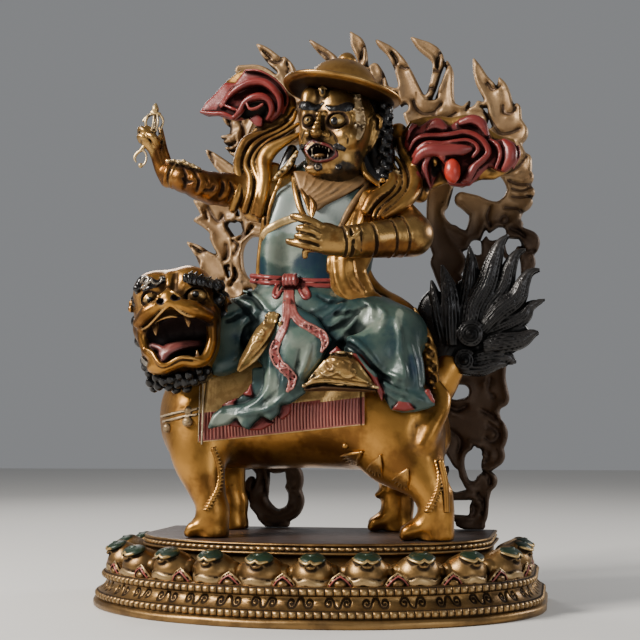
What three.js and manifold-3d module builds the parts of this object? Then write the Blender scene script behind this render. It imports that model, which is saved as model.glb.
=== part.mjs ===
// Gilt and painted statue: a wrathful rider on a snow lion, before a flame aureole, on a lotus plinth.
// Millimetres, +Z up. The front faces -Y and +X is to the viewer's right.
// The origin is the centre of the plinth's underside, below the middle of its front curve.
import * as THREE from 'three';
import { mergeVertices } from 'three/addons/utils/BufferGeometryUtils.js';
import Module from 'manifold-3d';

const wasm = await Module();
wasm.setup();

// Driving dimensions
const GAP = 0.3; // clearance between touching pieces
const PLINTH_HALF_WIDTH = 124;
const PLINTH_HALF_DEPTH = 83; // of the front half-ellipse, at the bottom lip
const PLINTH_BACK = 45; // the flat back face
const PLINTH_HEIGHT = 37.6;
const PETALS = 14;
const AUREOLE_FRONT = 36; // front face of the arch plate
const AUREOLE_DEPTH = 7;
const FOOT_SPREAD = 27; // lion's feet, in front of and behind the middle plane
const HAT_BRIM = 32;
const HAT_TILT = THREE.MathUtils.degToRad(8.6);

// Colours of the castings
const GOLD = 0xa8792f;
const DARK_BRONZE = 0x6a4a22;
const PALE_GOLD = 0xb08a5a;
const TEAL = 0x2f6a62;

// Shapes that the sculpture is joined from

function solidOf(geometry) {
  const bare = geometry.index ? geometry.toNonIndexed() : geometry.clone();
  bare.deleteAttribute('normal');
  bare.deleteAttribute('uv');
  const merged = mergeVertices(bare, 1e-4);
  return new wasm.Manifold(new wasm.Mesh({
    numProp: 3,
    vertProperties: new Float32Array(merged.attributes.position.array),
    triVerts: new Uint32Array(merged.index.array),
  }));
}

function geometryOf(solid) {
  const mesh = solid.getMesh();
  const geometry = new THREE.BufferGeometry();
  geometry.setAttribute('position', new THREE.BufferAttribute(new Float32Array(mesh.vertProperties), 3));
  geometry.setIndex(new THREE.BufferAttribute(new Uint32Array(mesh.triVerts), 1));
  geometry.computeVertexNormals();
  return geometry;
}

function join(...solids) {
  return solids.flat(Infinity).reduce((sum, solid) => sum.add(solid));
}

function ball(centre, radii, segments = 6, turn = [0, 0, 0]) {
  const sphere = new THREE.SphereGeometry(1, segments, Math.max(4, Math.round(segments * 0.6)));
  sphere.rotateX(Math.PI / 2);
  sphere.scale(...radii);
  const matrix = new THREE.Matrix4().makeRotationFromEuler(new THREE.Euler(...turn));
  matrix.setPosition(...centre);
  sphere.applyMatrix4(matrix);
  return solidOf(sphere);
}

function box(low, high) {
  const [x, y, z] = high.map((value, axis) => value - low[axis]);
  const cuboid = new THREE.BoxGeometry(x, y, z);
  cuboid.translate(low[0] + x / 2, low[1] + y / 2, low[2] + z / 2);
  return solidOf(cuboid);
}

// A closed skin over rings that all have the same number of points, with a pole at each end
function skin(rings, firstPole, lastPole) {
  const sides = rings[0].length;
  const positions = [];
  const faces = [];
  rings.flat().forEach((point) => positions.push(point.x, point.y, point.z));
  positions.push(firstPole.x, firstPole.y, firstPole.z, lastPole.x, lastPole.y, lastPole.z);
  const first = rings.length * sides;
  for (let side = 0; side < sides; side += 1) {
    const next = (side + 1) % sides;
    faces.push(first, next, side);
    for (let ring = 0; ring + 1 < rings.length; ring += 1) {
      const near = ring * sides;
      const far = near + sides;
      faces.push(near + side, near + next, far + side, near + next, far + next, far + side);
    }
    const last = (rings.length - 1) * sides;
    faces.push(first + 1, last + side, last + next);
  }
  const geometry = new THREE.BufferGeometry();
  geometry.setAttribute('position', new THREE.Float32BufferAttribute(positions, 3));
  geometry.setIndex(faces);
  return solidOf(geometry);
}

// A rounded limb along a smooth curve. Each station is [x, y, z, half width, half depth],
// and the depth lies towards the facing direction.
function limb(stations, { sides = 6, steps = 1, facing = [0, -1, 0] } = {}) {
  const curve = new THREE.CatmullRomCurve3(stations.map(([x, y, z]) => new THREE.Vector3(x, y, z)),
    false, 'centripetal');
  const front = new THREE.Vector3(...facing);
  const count = (stations.length - 1) * steps;
  const rings = [];
  const ringAt = (t, push = 0) => {
    const place = t * (stations.length - 1);
    const index = Math.min(stations.length - 2, Math.floor(place));
    const mix = place - index;
    const [wide, deep] = [3, 4].map((part) => {
      const from = stations[index][part] ?? stations[index][3];
      const to = stations[index + 1][part] ?? stations[index + 1][3];
      return THREE.MathUtils.lerp(from, to, mix);
    });
    const along = curve.getTangent(t);
    const depth = front.clone().addScaledVector(along, -front.dot(along)).normalize();
    const across = new THREE.Vector3().crossVectors(depth, along);
    const centre = curve.getPoint(t).addScaledVector(along, push * Math.min(wide, deep));
    const ring = Array.from({ length: sides }, (_, side) => {
      const angle = (2 * Math.PI * side) / sides;
      return centre.clone()
        .addScaledVector(across, Math.cos(angle) * wide)
        .addScaledVector(depth, Math.sin(angle) * deep);
    });
    return { ring, centre };
  };
  for (let step = 0; step <= count; step += 1) rings.push(ringAt(step / count).ring);
  return skin(rings, ringAt(0, -0.6).centre, ringAt(1, 0.6).centre);
}

// A flat plate cut from an outline in the X-Z plane, between two depths in Y
function plate(shape, front, back, curveSegments = 6) {
  const extruded = new THREE.ExtrudeGeometry(shape, { depth: back - front, bevelEnabled: false,
    curveSegments });
  extruded.rotateX(Math.PI / 2);
  extruded.translate(0, back, 0);
  return solidOf(extruded);
}

// A leaf-like tongue in the X-Z plane that swells from its base and hooks over at its tip
function tongue([baseX, baseZ], [tipX, tipZ], width, hook, front, back, steps = 4) {
  const base = new THREE.Vector2(baseX, baseZ);
  const tip = new THREE.Vector2(tipX, tipZ);
  const reach = tip.clone().sub(base);
  const side = new THREE.Vector2(-reach.y, reach.x).normalize();
  const bend = base.clone().addScaledVector(reach, 0.55).addScaledVector(side, -hook * reach.length());
  const spine = new THREE.QuadraticBezierCurve(base, bend, tip);
  const edge = (sign) => Array.from({ length: steps + 1 }, (_, step) => {
    const t = step / steps;
    const along = spine.getTangent(t);
    const half = (width / 2) * (1 - t ** 1.7) * (0.85 + 0.5 * Math.sin(Math.PI * Math.min(1, t * 1.3)));
    return spine.getPoint(t).add(new THREE.Vector2(-along.y, along.x).multiplyScalar(sign * half));
  });
  const outline = [...edge(-1), ...edge(1).reverse().slice(1)];
  return plate(new THREE.Shape(outline), front, back);
}

// An oval plate, with an oval hole if a wall is given
function oval([x, z], [radiusX, radiusZ], turn, front, back, wall = 0) {
  const shape = new THREE.Shape();
  shape.absellipse(x, z, radiusX, radiusZ, 0, 2 * Math.PI, false, turn);
  if (wall) {
    const hole = new THREE.Path();
    hole.absellipse(x, z, radiusX - wall, radiusZ - wall, 0, 2 * Math.PI, true, turn);
    shape.holes.push(hole);
  }
  return plate(shape, front, back, 5);
}

// Lotus plinth

// Walks round the plan at one inset and returns the place and outward direction at a distance
// from the middle of the front
function plinthPath(inset) {
  const halfWidth = PLINTH_HALF_WIDTH - inset;
  const halfDepth = PLINTH_HALF_DEPTH - inset;
  const front = new THREE.EllipseCurve(0, 0, halfWidth, halfDepth, 1.5 * Math.PI, 2 * Math.PI, false, 0);
  const curveLength = front.getLength();
  const halfLength = curveLength + PLINTH_BACK;
  const at = (distance) => {
    const side = Math.sign(distance);
    const along = Math.abs(distance);
    if (along >= curveLength) {
      return { x: side * halfWidth, y: along - curveLength, outX: side, outY: 0 };
    }
    const point = front.getPointAt(along / curveLength);
    const out = new THREE.Vector2(point.x / halfWidth ** 2, point.y / halfDepth ** 2).normalize();
    return { x: side * point.x, y: point.y, outX: side * out.x, outY: out.y };
  };
  return { at, halfLength };
}

// One level of the plinth: the plan at an inset, swollen outward at each petal
function plinthRing(inset, swell, height) {
  const path = plinthPath(inset);
  const columnsPerPetal = 4;
  const columns = PETALS * columnsPerPetal;
  return Array.from({ length: columns + 1 }, (_, column) => {
    const place = path.at(((2 * column) / columns - 1) * path.halfLength);
    const bulge = swell * Math.abs(Math.sin((Math.PI * column) / columnsPerPetal)) ** 0.7;
    return new THREE.Vector3(place.x + place.outX * bulge, place.y + place.outY * bulge, height);
  });
}

function lotusPlinth() {
  // Rows of [inset from the outer lip, swell of the petals, height]: lip, lower bead row, hollow band,
  // upper bead row, plump petals, throat, then the edge and bead row of the top
  const profile = [
    [0.6, 0, 0], [0, 0, 3.4], [2.6, 0, 4.8], [2.6, 0, 8.4], [7.6, 0, 12.6], [5.6, 0, 15], [5.6, 0, 18.2],
    [15, 9.5, 21], [16.5, 10.5, 25.5], [21, 8.5, 29.5], [30, 2, 31.6], [27, 0, 33], [28.4, 0, PLINTH_HEIGHT],
  ];
  const rings = profile.map(([inset, swell, height]) => plinthRing(inset, swell, height));
  const core = skin(rings, new THREE.Vector3(0, 0, 0), new THREE.Vector3(0, 0, PLINTH_HEIGHT));
  const path = plinthPath(17);
  const pitch = (2 * path.halfLength) / PETALS;
  // Each petal ends in an upturned tip
  const tips = Array.from({ length: PETALS }, (_, petal) => {
    const place = path.at((petal + 0.5) * pitch - path.halfLength);
    const yaw = Math.atan2(place.outX, -place.outY);
    return ball([place.x + place.outX * 3, place.y + place.outY * 3, 31.6], [8.6, 9, 3.4],
      6, [-0.15, 0, yaw]);
  });
  const reach = PLINTH_HALF_WIDTH + 20;
  const behindBack = box([-reach, PLINTH_BACK, -1], [reach, PLINTH_BACK + 60, PLINTH_HEIGHT + 10]);
  return join(core, tips).subtract(behindBack);
}

// Flame aureole

const ARCH = { x: 21, z: 205, radiusX: 84, radiusZ: 102, halfWidth: 19 };
// Tongues of flame round the arch: base, tip, width and hook
const FLAMES = [
  [[-30, 296], [-43, 329.5], 17, -0.28],
  [[-3, 308], [-11, 330], 10, -0.2],
  [[22, 306], [13.5, 333], 14, -0.3],
  [[44, 296], [29.5, 327], 16, -0.28],
  [[68, 286], [51, 327], 19, -0.3],
  [[94, 262], [88, 311], 22, -0.12],
  [[107, 244], [107.5, 296], 16, -0.1],
  [[109, 236], [115, 281], 16, 0.1],
  [[-58, 262], [-66, 284], 12, 0.25],
  [[-56, 246], [-75, 265], 14, -0.1],
  [[-64, 226], [-83, 233], 13, 0.2],
  [[-62, 210], [-79, 222], 9, 0.2],
  [[-64, 194], [-87, 208], 18, 0.2],
];
// Rounded lobes of the band: centre, radii and turn
const LOBES = [
  [[113, 240], [10, 9], 0], [[113, 225], [10, 8], 0], [[109, 212], [8, 7], 0], [[116, 196], [8, 9], 0],
  [[113, 182], [6, 8], 0], [[96, 128], [9, 12], 0.3], [[96, 116], [9, 9], 0], [[94, 96], [9, 10], 0],
  [[93, 80], [9, 9], 0], [[88, 64], [7, 8], 0], [[-61, 196], [13, 15], 0.3],
];
// Pierced ovals: centre, radii and turn
const PIERCINGS = [
  [[-44, 196], [7, 13.5], 0.1], [[-56, 214], [2.6, 7], 0.5], [[101, 233], [12, 6.4], 0.25],
  [[76, 218], [6.5, 5.5], 0.4], [[49.5, 288], [2.6, 3.2], 0], [[78, 106.5], [7, 5.2], 0],
  [[86, 76], [4.6, 9.5], 0.25], [[72, 71], [6.4, 8], 0], [[73, 52.5], [8, 6.4], 0],
  [[96, 190], [7, 9], 0.4], [[-50, 150], [6, 12], 0], [[-52, 112], [6, 10], 0], [[60, 270], [9, 4.5], 0.8],
  [[92, 160], [6, 11], 0],
];

function flameAureole() {
  const front = AUREOLE_FRONT;
  const back = AUREOLE_FRONT + AUREOLE_DEPTH;
  const stand = PLINTH_HEIGHT + GAP;
  const shoulder = ARCH.z;
  const arch = new THREE.Shape();
  const half = ARCH.halfWidth;
  arch.absellipse(ARCH.x, ARCH.z, ARCH.radiusX + half, ARCH.radiusZ + half - 8, 0, Math.PI, false, 0);
  arch.lineTo(-40 - half, 68);
  arch.lineTo(-46 + half, 68);
  arch.absellipse(ARCH.x, ARCH.z, ARCH.radiusX - half, ARCH.radiusZ - half, Math.PI, 0, true, 0);
  arch.lineTo(66, stand);
  arch.lineTo(92, stand);
  arch.lineTo(94, 100);
  arch.lineTo(ARCH.x + ARCH.radiusX + half - 6, shoulder - 24);
  const leftFoot = [
    oval([-27, 61], [29, 22], -0.2, front, back, 11),
    oval([-24, 45], [19, 9], 0, front, back),
  ];
  const rightCurl = oval([71, 50], [16, 14], 0, front, back);
  const flames = FLAMES.map(([base, tip, width, hook]) => tongue(base, tip, width, hook, front + 1,
    back - 0.6));
  const lobes = LOBES.map(([centre, radii, turn]) => oval(centre, radii, turn, front - 0.8, back - 1));
  const holes = PIERCINGS.map(([centre, radii, turn]) => oval(centre, radii, turn, front - 3, back + 3));
  const belowFeet = box([-200, front - 5, -10], [200, back + 5, stand]);
  return join(plate(arch, front, back, 12), leftFoot, rightCurl, flames, lobes)
    .subtract(join(holes)).subtract(belowFeet);
}

// Snow lion

function lionLeg(hip, knee, ankle, toeX) {
  const [x, y] = ankle;
  return limb([hip, knee, ankle, [x - 4, y, 43, 7.5, 7.5], [toeX + 4, y, 41, 4.6, 8.8]], { sides: 8 });
}

const LION_HEAD = [-68.5, -30, 153];

function lionHeadMasses(clearance = 0) {
  const [x, y, z] = LION_HEAD;
  const grown = (centre, radii, segments) => ball(centre, radii.map((radius) => radius + clearance),
    segments);
  const skull = grown([x, y + 2, z + 8], [25, 22, 24], 10);
  const cheeks = [-1, 1].map((side) => grown([x + side * 14, y - 6, z - 6], [13, 15, 16], 6));
  const ears = [-1, 1].map((side) => grown([x + side * 25, y + 1, z + 6], [5, 6, 8], 6));
  const beard = [[-22, -8, -20], [-13, -13, -31], [3, -9, -31], [17, -9, -28], [26, 0, -14]]
    .map(([right, ahead, up]) => grown([x + right, y + ahead + 6, z + up], [8.6, 8.6, 8], 5));
  return join(skull, cheeks, ears, beard);
}

function lionHead() {
  const [x, y, z] = LION_HEAD;
  const mirrored = (make) => [-1, 1].map(make);
  const upperLip = ball([x + 1, y - 15, z - 1], [20, 13, 7.5], 8);
  const nose = ball([x + 0.5, y - 24, z + 6], [10, 6.5, 6], 6);
  const mouth = ball([x + 1, y - 22, z - 14], [14.5, 16, 9], 8);
  const jaw = limb([[x - 19, y - 8, z - 14, 5, 6], [x - 10, y - 20, z - 25, 5, 5.5],
    [x + 6, y - 22, z - 27, 5, 6],
    [x + 19, y - 8, z - 14, 5, 6]], { sides: 6 });
  const tongueLump = ball([x + 1, y - 14, z - 20], [9, 11, 4], 6);
  const fangs = mirrored((side) => limb([[x + side * 11, y - 20, z - 1, 2.8, 2.6],
    [x + side * 11, y - 23, z - 13, 1, 1]],
    { sides: 4 }));
  const eyes = mirrored((side) => ball([x + side * 13.5, y - 16.5, z + 7.5], [6.8, 5, 6.2], 6));
  const brows = mirrored((side) => [0, 1].map((step) => ball(
    [x + side * (7 + step * 9), y - 16.5 + step * 3.5, z + 17.5], [6.4, 4.6, 4.8], 5)));
  return join(lionHeadMasses(), upperLip, nose, brows).subtract(mouth)
    .add(join(jaw, tongueLump, fangs, eyes));
}

function lionTail() {
  const root = [66, 3, 116];
  const heart = [80, 3, 143];
  const stem = limb([[58, 0, 104, 11, 11], [...root, 10, 9], [...heart, 15, 8]], { sides: 6 });
  // Locks of hair that fan out from the stem: tip in X and Z, width and hook
  const locks = [
    [[64, 183], 9, 0.12], [[75, 190], 10, 0.14], [[90, 199], 12, 0.16], [[107.5, 199], 14, 0.16],
    [[118.5, 191], 13, 0.14], [[125.5, 178], 14, 0.12], [[127, 162], 14, 0.1], [[123.5, 145], 14, 0.08],
    [[119, 131], 12, 0.06],
  ].map(([tip, width, hook], lock) => {
    const reach = new THREE.Vector2(tip[0] - heart[0], tip[1] - heart[2]);
    const bend = new THREE.Vector2(reach.y, -reach.x).multiplyScalar(hook);
    const middle = [heart[0] + reach.x * 0.5 + bend.x, 3, heart[2] + reach.y * 0.5 + bend.y];
    const layer = lock % 2 === 0 ? 1.2 : -1.2;
    return limb([[heart[0], 3, heart[2], width * 0.75, 7], [...middle, width * 0.62, 6.4],
      [heart[0] + reach.x * 0.97, 3 + layer, heart[2] + reach.y * 0.97, 1.6, 2]], { sides: 4 });
  });
  const spirals = [[82, 146], [80, 131]].map(([x, z]) => ball([x, -4, z], [8, 4.5, 8], 8));
  return join(stem, locks, spirals);
}

const TRUNK = [[-62, 0, 103, 29, 26], [-34, 0, 104, 31, 28.5], [0, 0, 105, 31.5, 30], [34, 0, 106, 34, 31],
  [52, 0, 109, 33, 28]];

// The smooth masses that the rider sits on, grown by a clearance when they are cut from the rider
function lionMasses(clearance = 0) {
  const grow = (stations, high, wide) => stations.map(([x, y, z, tall, broad]) => [x, y, z, tall + high,
    broad + wide]);
  const trunk = limb(grow(TRUNK, clearance, clearance), { sides: 12 });
  const chest = ball([-62, -3, 104], [20, 25, 27].map((radius) => radius + clearance), 10);
  const neck = limb(grow([[-52, 2, 118, 20, 20], [-66, -16, 140, 20, 19]], clearance, clearance),
    { sides: 8 });
  const haunches = [9 - FOOT_SPREAD, FOOT_SPREAD - 9]
    .map((y) => ball([50, y, 95], [25, 16, 30].map((radius) => radius + clearance), 10));
  // The saddlecloth lies on the barrel and hangs down both flanks to a slanting edge
  const blanket = limb(grow(TRUNK, 2.6 + clearance, 3.4 + clearance), { sides: 12 });
  const cut = new THREE.BoxGeometry(89 + 2 * clearance, 90, 70 + 2 * clearance);
  cut.rotateY(-0.1);
  cut.translate(-11.5, 0, 126);
  return join(trunk, chest, neck, haunches, blanket.intersect(solidOf(cut)));
}

function snowLion() {
  const near = -FOOT_SPREAD;
  const far = FOOT_SPREAD - 1.5; // clear of the arch behind
  const legs = [
    lionLeg([-60, near + 8, 98, 17, 14], [-57, near + 1, 72, 11, 9.5], [-50, near, 50, 7.5, 7.5], -63),
    lionLeg([-60, far - 8, 98, 17, 14], [-58, far - 1, 72, 11, 9.5], [-54, far, 50, 7.5, 7.5], -67),
    lionLeg([51, near + 10, 92, 22, 15], [67, near, 67, 10, 9], [68.5, near, 50, 8, 8], 52),
    lionLeg([50, far - 10, 92, 22, 15], [42, far - 1, 67, 11, 9], [42, far, 50, 8, 8], 27),
  ];
  const tufts = [0, 1, 2].map((step) => limb([[24 + step * 10, near + 7, 84 - step * 8, 4.5, 6],
    [36 + step * 10, near + 4, 76 - step * 7, 2.4, 6]], { sides: 4, steps: 2 }));
  const harness = limb([[-83, 0, 103, 1.6, 3.2], [-76, -19, 104, 1.6, 3.2], [-60, -29.5, 106, 1.6, 3.2],
    [-50, -31.5, 108, 1.6, 3]], { sides: 4, facing: [0, 0, 1] });
  const belowFeet = box([-200, -100, -10], [200, 100, PLINTH_HEIGHT + GAP]);
  return join(lionMasses(), legs, tufts, harness, lionHead(), lionTail())
    .subtract(belowFeet);
}

// Rider

function riderHead() {
  const [x, y, z] = [16, -6, 260];
  const mirrored = (make) => [-1, 1].map(make);
  const skull = ball([x + 1, y, z + 2], [21.5, 20, 24], 10);
  const jaw = ball([x - 1, y - 5, z - 13], [15.5, 15, 15], 8);
  const brows = mirrored((side) => limb([[x + side * 2.5 - 2, y - 20.5, z + 3.5, 1.6, 2],
    [x + side * 9 - 2, y - 20, z + 7, 2.2, 2.2],
    [x + side * 16 - 1, y - 14, z + 4.5, 1.2, 1.6]], { sides: 4 }));
  const thirdEye = ball([x - 2, y - 17.6, z + 13], [2.2, 4, 4], 5);
  const eyes = mirrored((side) => ball([x + side * 8 - 2, y - 18.5, z + 0.5], [4, 3, 3.2], 6));
  const nose = limb([[x - 2, y - 18, z + 3, 2.4, 3], [x - 2.5, y - 21, z - 6, 4.6, 4.6]], { sides: 4 });
  const lips = ball([x - 2, y - 15, z - 15], [10, 7, 7.4], 8);
  const mouth = ball([x - 2, y - 22, z - 15], [6.4, 5, 4.6], 6);
  const ears = mirrored((side) => limb([[x + 1 + side * 21, y + 2, z + 4, 3.5, 5],
    [x + 1 + side * 21, y + 1, z - 14, 2.2, 3]],
    { sides: 4 }));
  const locks = mirrored((side) => limb([[x + 1 + side * 19, y + 4, z - 12, 4, 4.5],
    [x + 2 + side * 24, y + 3, z - 24, 3, 3.2],
    [x + 2 + side * 29, y + 1, z - 30, 2.4, 2.6]], { sides: 4 }));
  const curls = [-1, 0, 1].map((step) => ball([x - 2 + step * 7, y - 16 + Math.abs(step) * 3,
    z - 25 + Math.abs(step) * 2],
    [3.6, 4, 3.4], 4));
  const neck = limb([[12, 0, 226, 15, 14], [x, y + 2, z - 16, 14, 14]], { sides: 6 });
  return join(skull, jaw, brows, thirdEye, nose, lips, ears, locks, curls,
    neck).subtract(mouth).add(join(eyes));
}

function hat() {
  const brim = HAT_BRIM;
  const crown = 18.5;
  const profile = [[0, -1], [brim, -3.4], [brim + 0.6, -1.8], [crown + 4, 2.6], [crown, 6.5],
    [crown - 3, 12.5], [crown - 8, 16.5], [4.4, 18.4], [0, 22.5]];
  const lathe = new THREE.LatheGeometry(profile.map(([radius, height]) => new THREE.Vector2(radius,
    height)), 18);
  lathe.rotateX(Math.PI / 2);
  lathe.rotateY(HAT_TILT);
  lathe.rotateX(-0.04);
  lathe.translate(17.5, -8, 281);
  return solidOf(lathe);
}

function hand(palm, fingerStart, fingerEnd, spread, thickness = 2.5) {
  const fingers = [0, 1, 2, 3].map((finger) => {
    const shift = spread.map((part) => part * (finger - 1.5));
    const from = fingerStart.map((value, axis) => value + shift[axis]);
    const to = fingerEnd.map((value, axis) => value + shift[axis]);
    const middle = from.map((value, axis) => (value + to[axis]) / 2);
    middle[1] -= 2.5;
    return limb([[...from, thickness], [...middle, thickness], [...to, thickness * 0.9]], { sides: 4 });
  });
  return join(palm, fingers);
}

function riderArms() {
  const rightSleeve = limb([[-14, 0, 229, 15, 14], [-30, -5, 229, 12.4, 12], [-41, -10, 228.4, 11, 11],
    [-46, -13, 228.6, 11, 11], [-47, -13.6, 228.8, 9.8, 10], [-54, -17, 229.6, 9.8, 10],
      [-55, -17.6, 230, 8.8, 9],
    [-64, -20.5, 232.4, 9, 9.2], [-65, -21, 232.8, 8, 8.2], [-76, -22, 236.8, 8, 8.2]], { sides: 8 });
  const rightWrist = limb([[-66, -22, 239, 7, 7], [-76, -23, 243, 5.4, 5.4]], { sides: 6 });
  const rightHand = hand(limb([[-74, -23, 243, 6.5, 5], [-84, -24, 246, 7.5, 5.5]], { sides: 6 }),
    [-84, -26, 247], [-93, -27, 245], [-1, 0.4, 4.2], 2);
  const rightGrip = ball([-91, -27, 246], [5.6, 5.6, 7.4], 8);
  const rightFinger = limb([[-80, -23, 248, 2.6], [-79, -22, 258, 2.2], [-80, -22, 263, 1.6]], { sides: 4 });
  const leftSleeve = limb([[28, 0, 225, 14, 14], [45, -5, 217, 12.6, 13], [55, -12, 207, 12, 12.6],
    [56, -19, 199, 11.8, 12],
    [51, -24, 196.4, 11.4, 11.4], [50, -24.5, 196.2, 10.4, 10.4], [43, -29, 195.2, 10.4, 10.6],
      [42, -29.5, 195, 9.6, 9.8],
    [32, -34, 194.6, 9.4, 9.6]], { sides: 8 });
  const leftHand = hand(limb([[32, -33, 196, 8, 7], [20, -37, 197, 9.5, 6.5]], { sides: 6 }),
    [17, -39, 197], [3, -37, 195.5], [0.6, 0, 4.8], 2.3);
  const stalk = limb([[12, -40, 184, 1.8], [11, -41, 200, 1.8], [8, -40, 212, 2.4], [3, -37, 222, 1]],
    { sides: 4 });
  const thumb = limb([[18, -40, 203, 2.6], [10, -42, 207, 2.4]], { sides: 4 });
  return join(rightSleeve, rightWrist, rightHand, rightGrip, rightFinger, leftSleeve, leftHand, stalk, thumb);
}

// Rows of parallel ribs, each shifted from the one before
function ribs(stations, shift, count, radius) {
  return Array.from({ length: count }, (_, rib) => limb(
    stations.map(([x, y, z]) => [x + shift[0] * rib, y + shift[1] * rib, z + shift[2] * rib, radius,
      radius * 1.4]), { sides: 4 }));
}

function riderScarf() {
  const left = ribs([[-15, 6, 285], [-24, 4, 264], [-38, 0, 250], [-41, -4, 234], [-43, -4, 217]],
    [7, -2.8, -4], 3, 3.8);
  const right = ribs([[52, 8, 258], [56, 6, 246], [62, 3, 232], [56, -3, 221], [44, -8, 210]],
    [-6, -3, -1.6], 3, 3.8);
  const leftBillow = [
    limb([[-68, 3, 279, 3, 2.5], [-52, 2, 283, 12, 5.5], [-34, 2, 288, 15, 6.5], [-21, 4, 284, 12, 6]],
      { sides: 6 }),
    limb([[-58, 4, 287, 6, 3], [-44, 5, 297, 7, 4], [-30, 5, 300, 6, 4], [-18, 6, 288, 5, 4]], { sides: 6 }),
    limb([[-56, -2, 278, 3, 3.4], [-44, -4, 284, 4, 4.4], [-31, -4, 287, 4, 4.6], [-24, -2, 276, 4, 4]],
      { sides: 4 }),
  ];
  const rightBillow = [
    limb([[52, 4, 250, 8, 5], [62, 4, 258, 12, 6], [78, 4, 259, 13, 6.5], [94, 3, 252, 12, 6],
      [110, 3, 244, 9, 5]], { sides: 6 }),
    limb([[60, 6, 262, 5, 4], [80, 6, 267, 7, 4], [92, 5, 262, 6, 4]], { sides: 6 }),
    limb([[56, -3, 252, 4, 4], [70, -5, 255, 4, 4.6], [84, -5, 253, 4.4, 4.6], [90, -3, 246, 4, 4]],
      { sides: 4 }),
    limb([[94, 2, 250, 8, 5], [94, 2, 238, 6, 4.6], [84, 2, 229, 3, 3]], { sides: 6 }),
    limb([[58, 2, 248, 5, 4.6], [62, 1, 238, 5, 4.6], [63, 1, 230, 2, 2.4]], { sides: 4 }),
    ball([80, -1, 241], [6.6, 6.6, 9], 6),
  ];
  return join(left, right, leftBillow, rightBillow);
}

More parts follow.
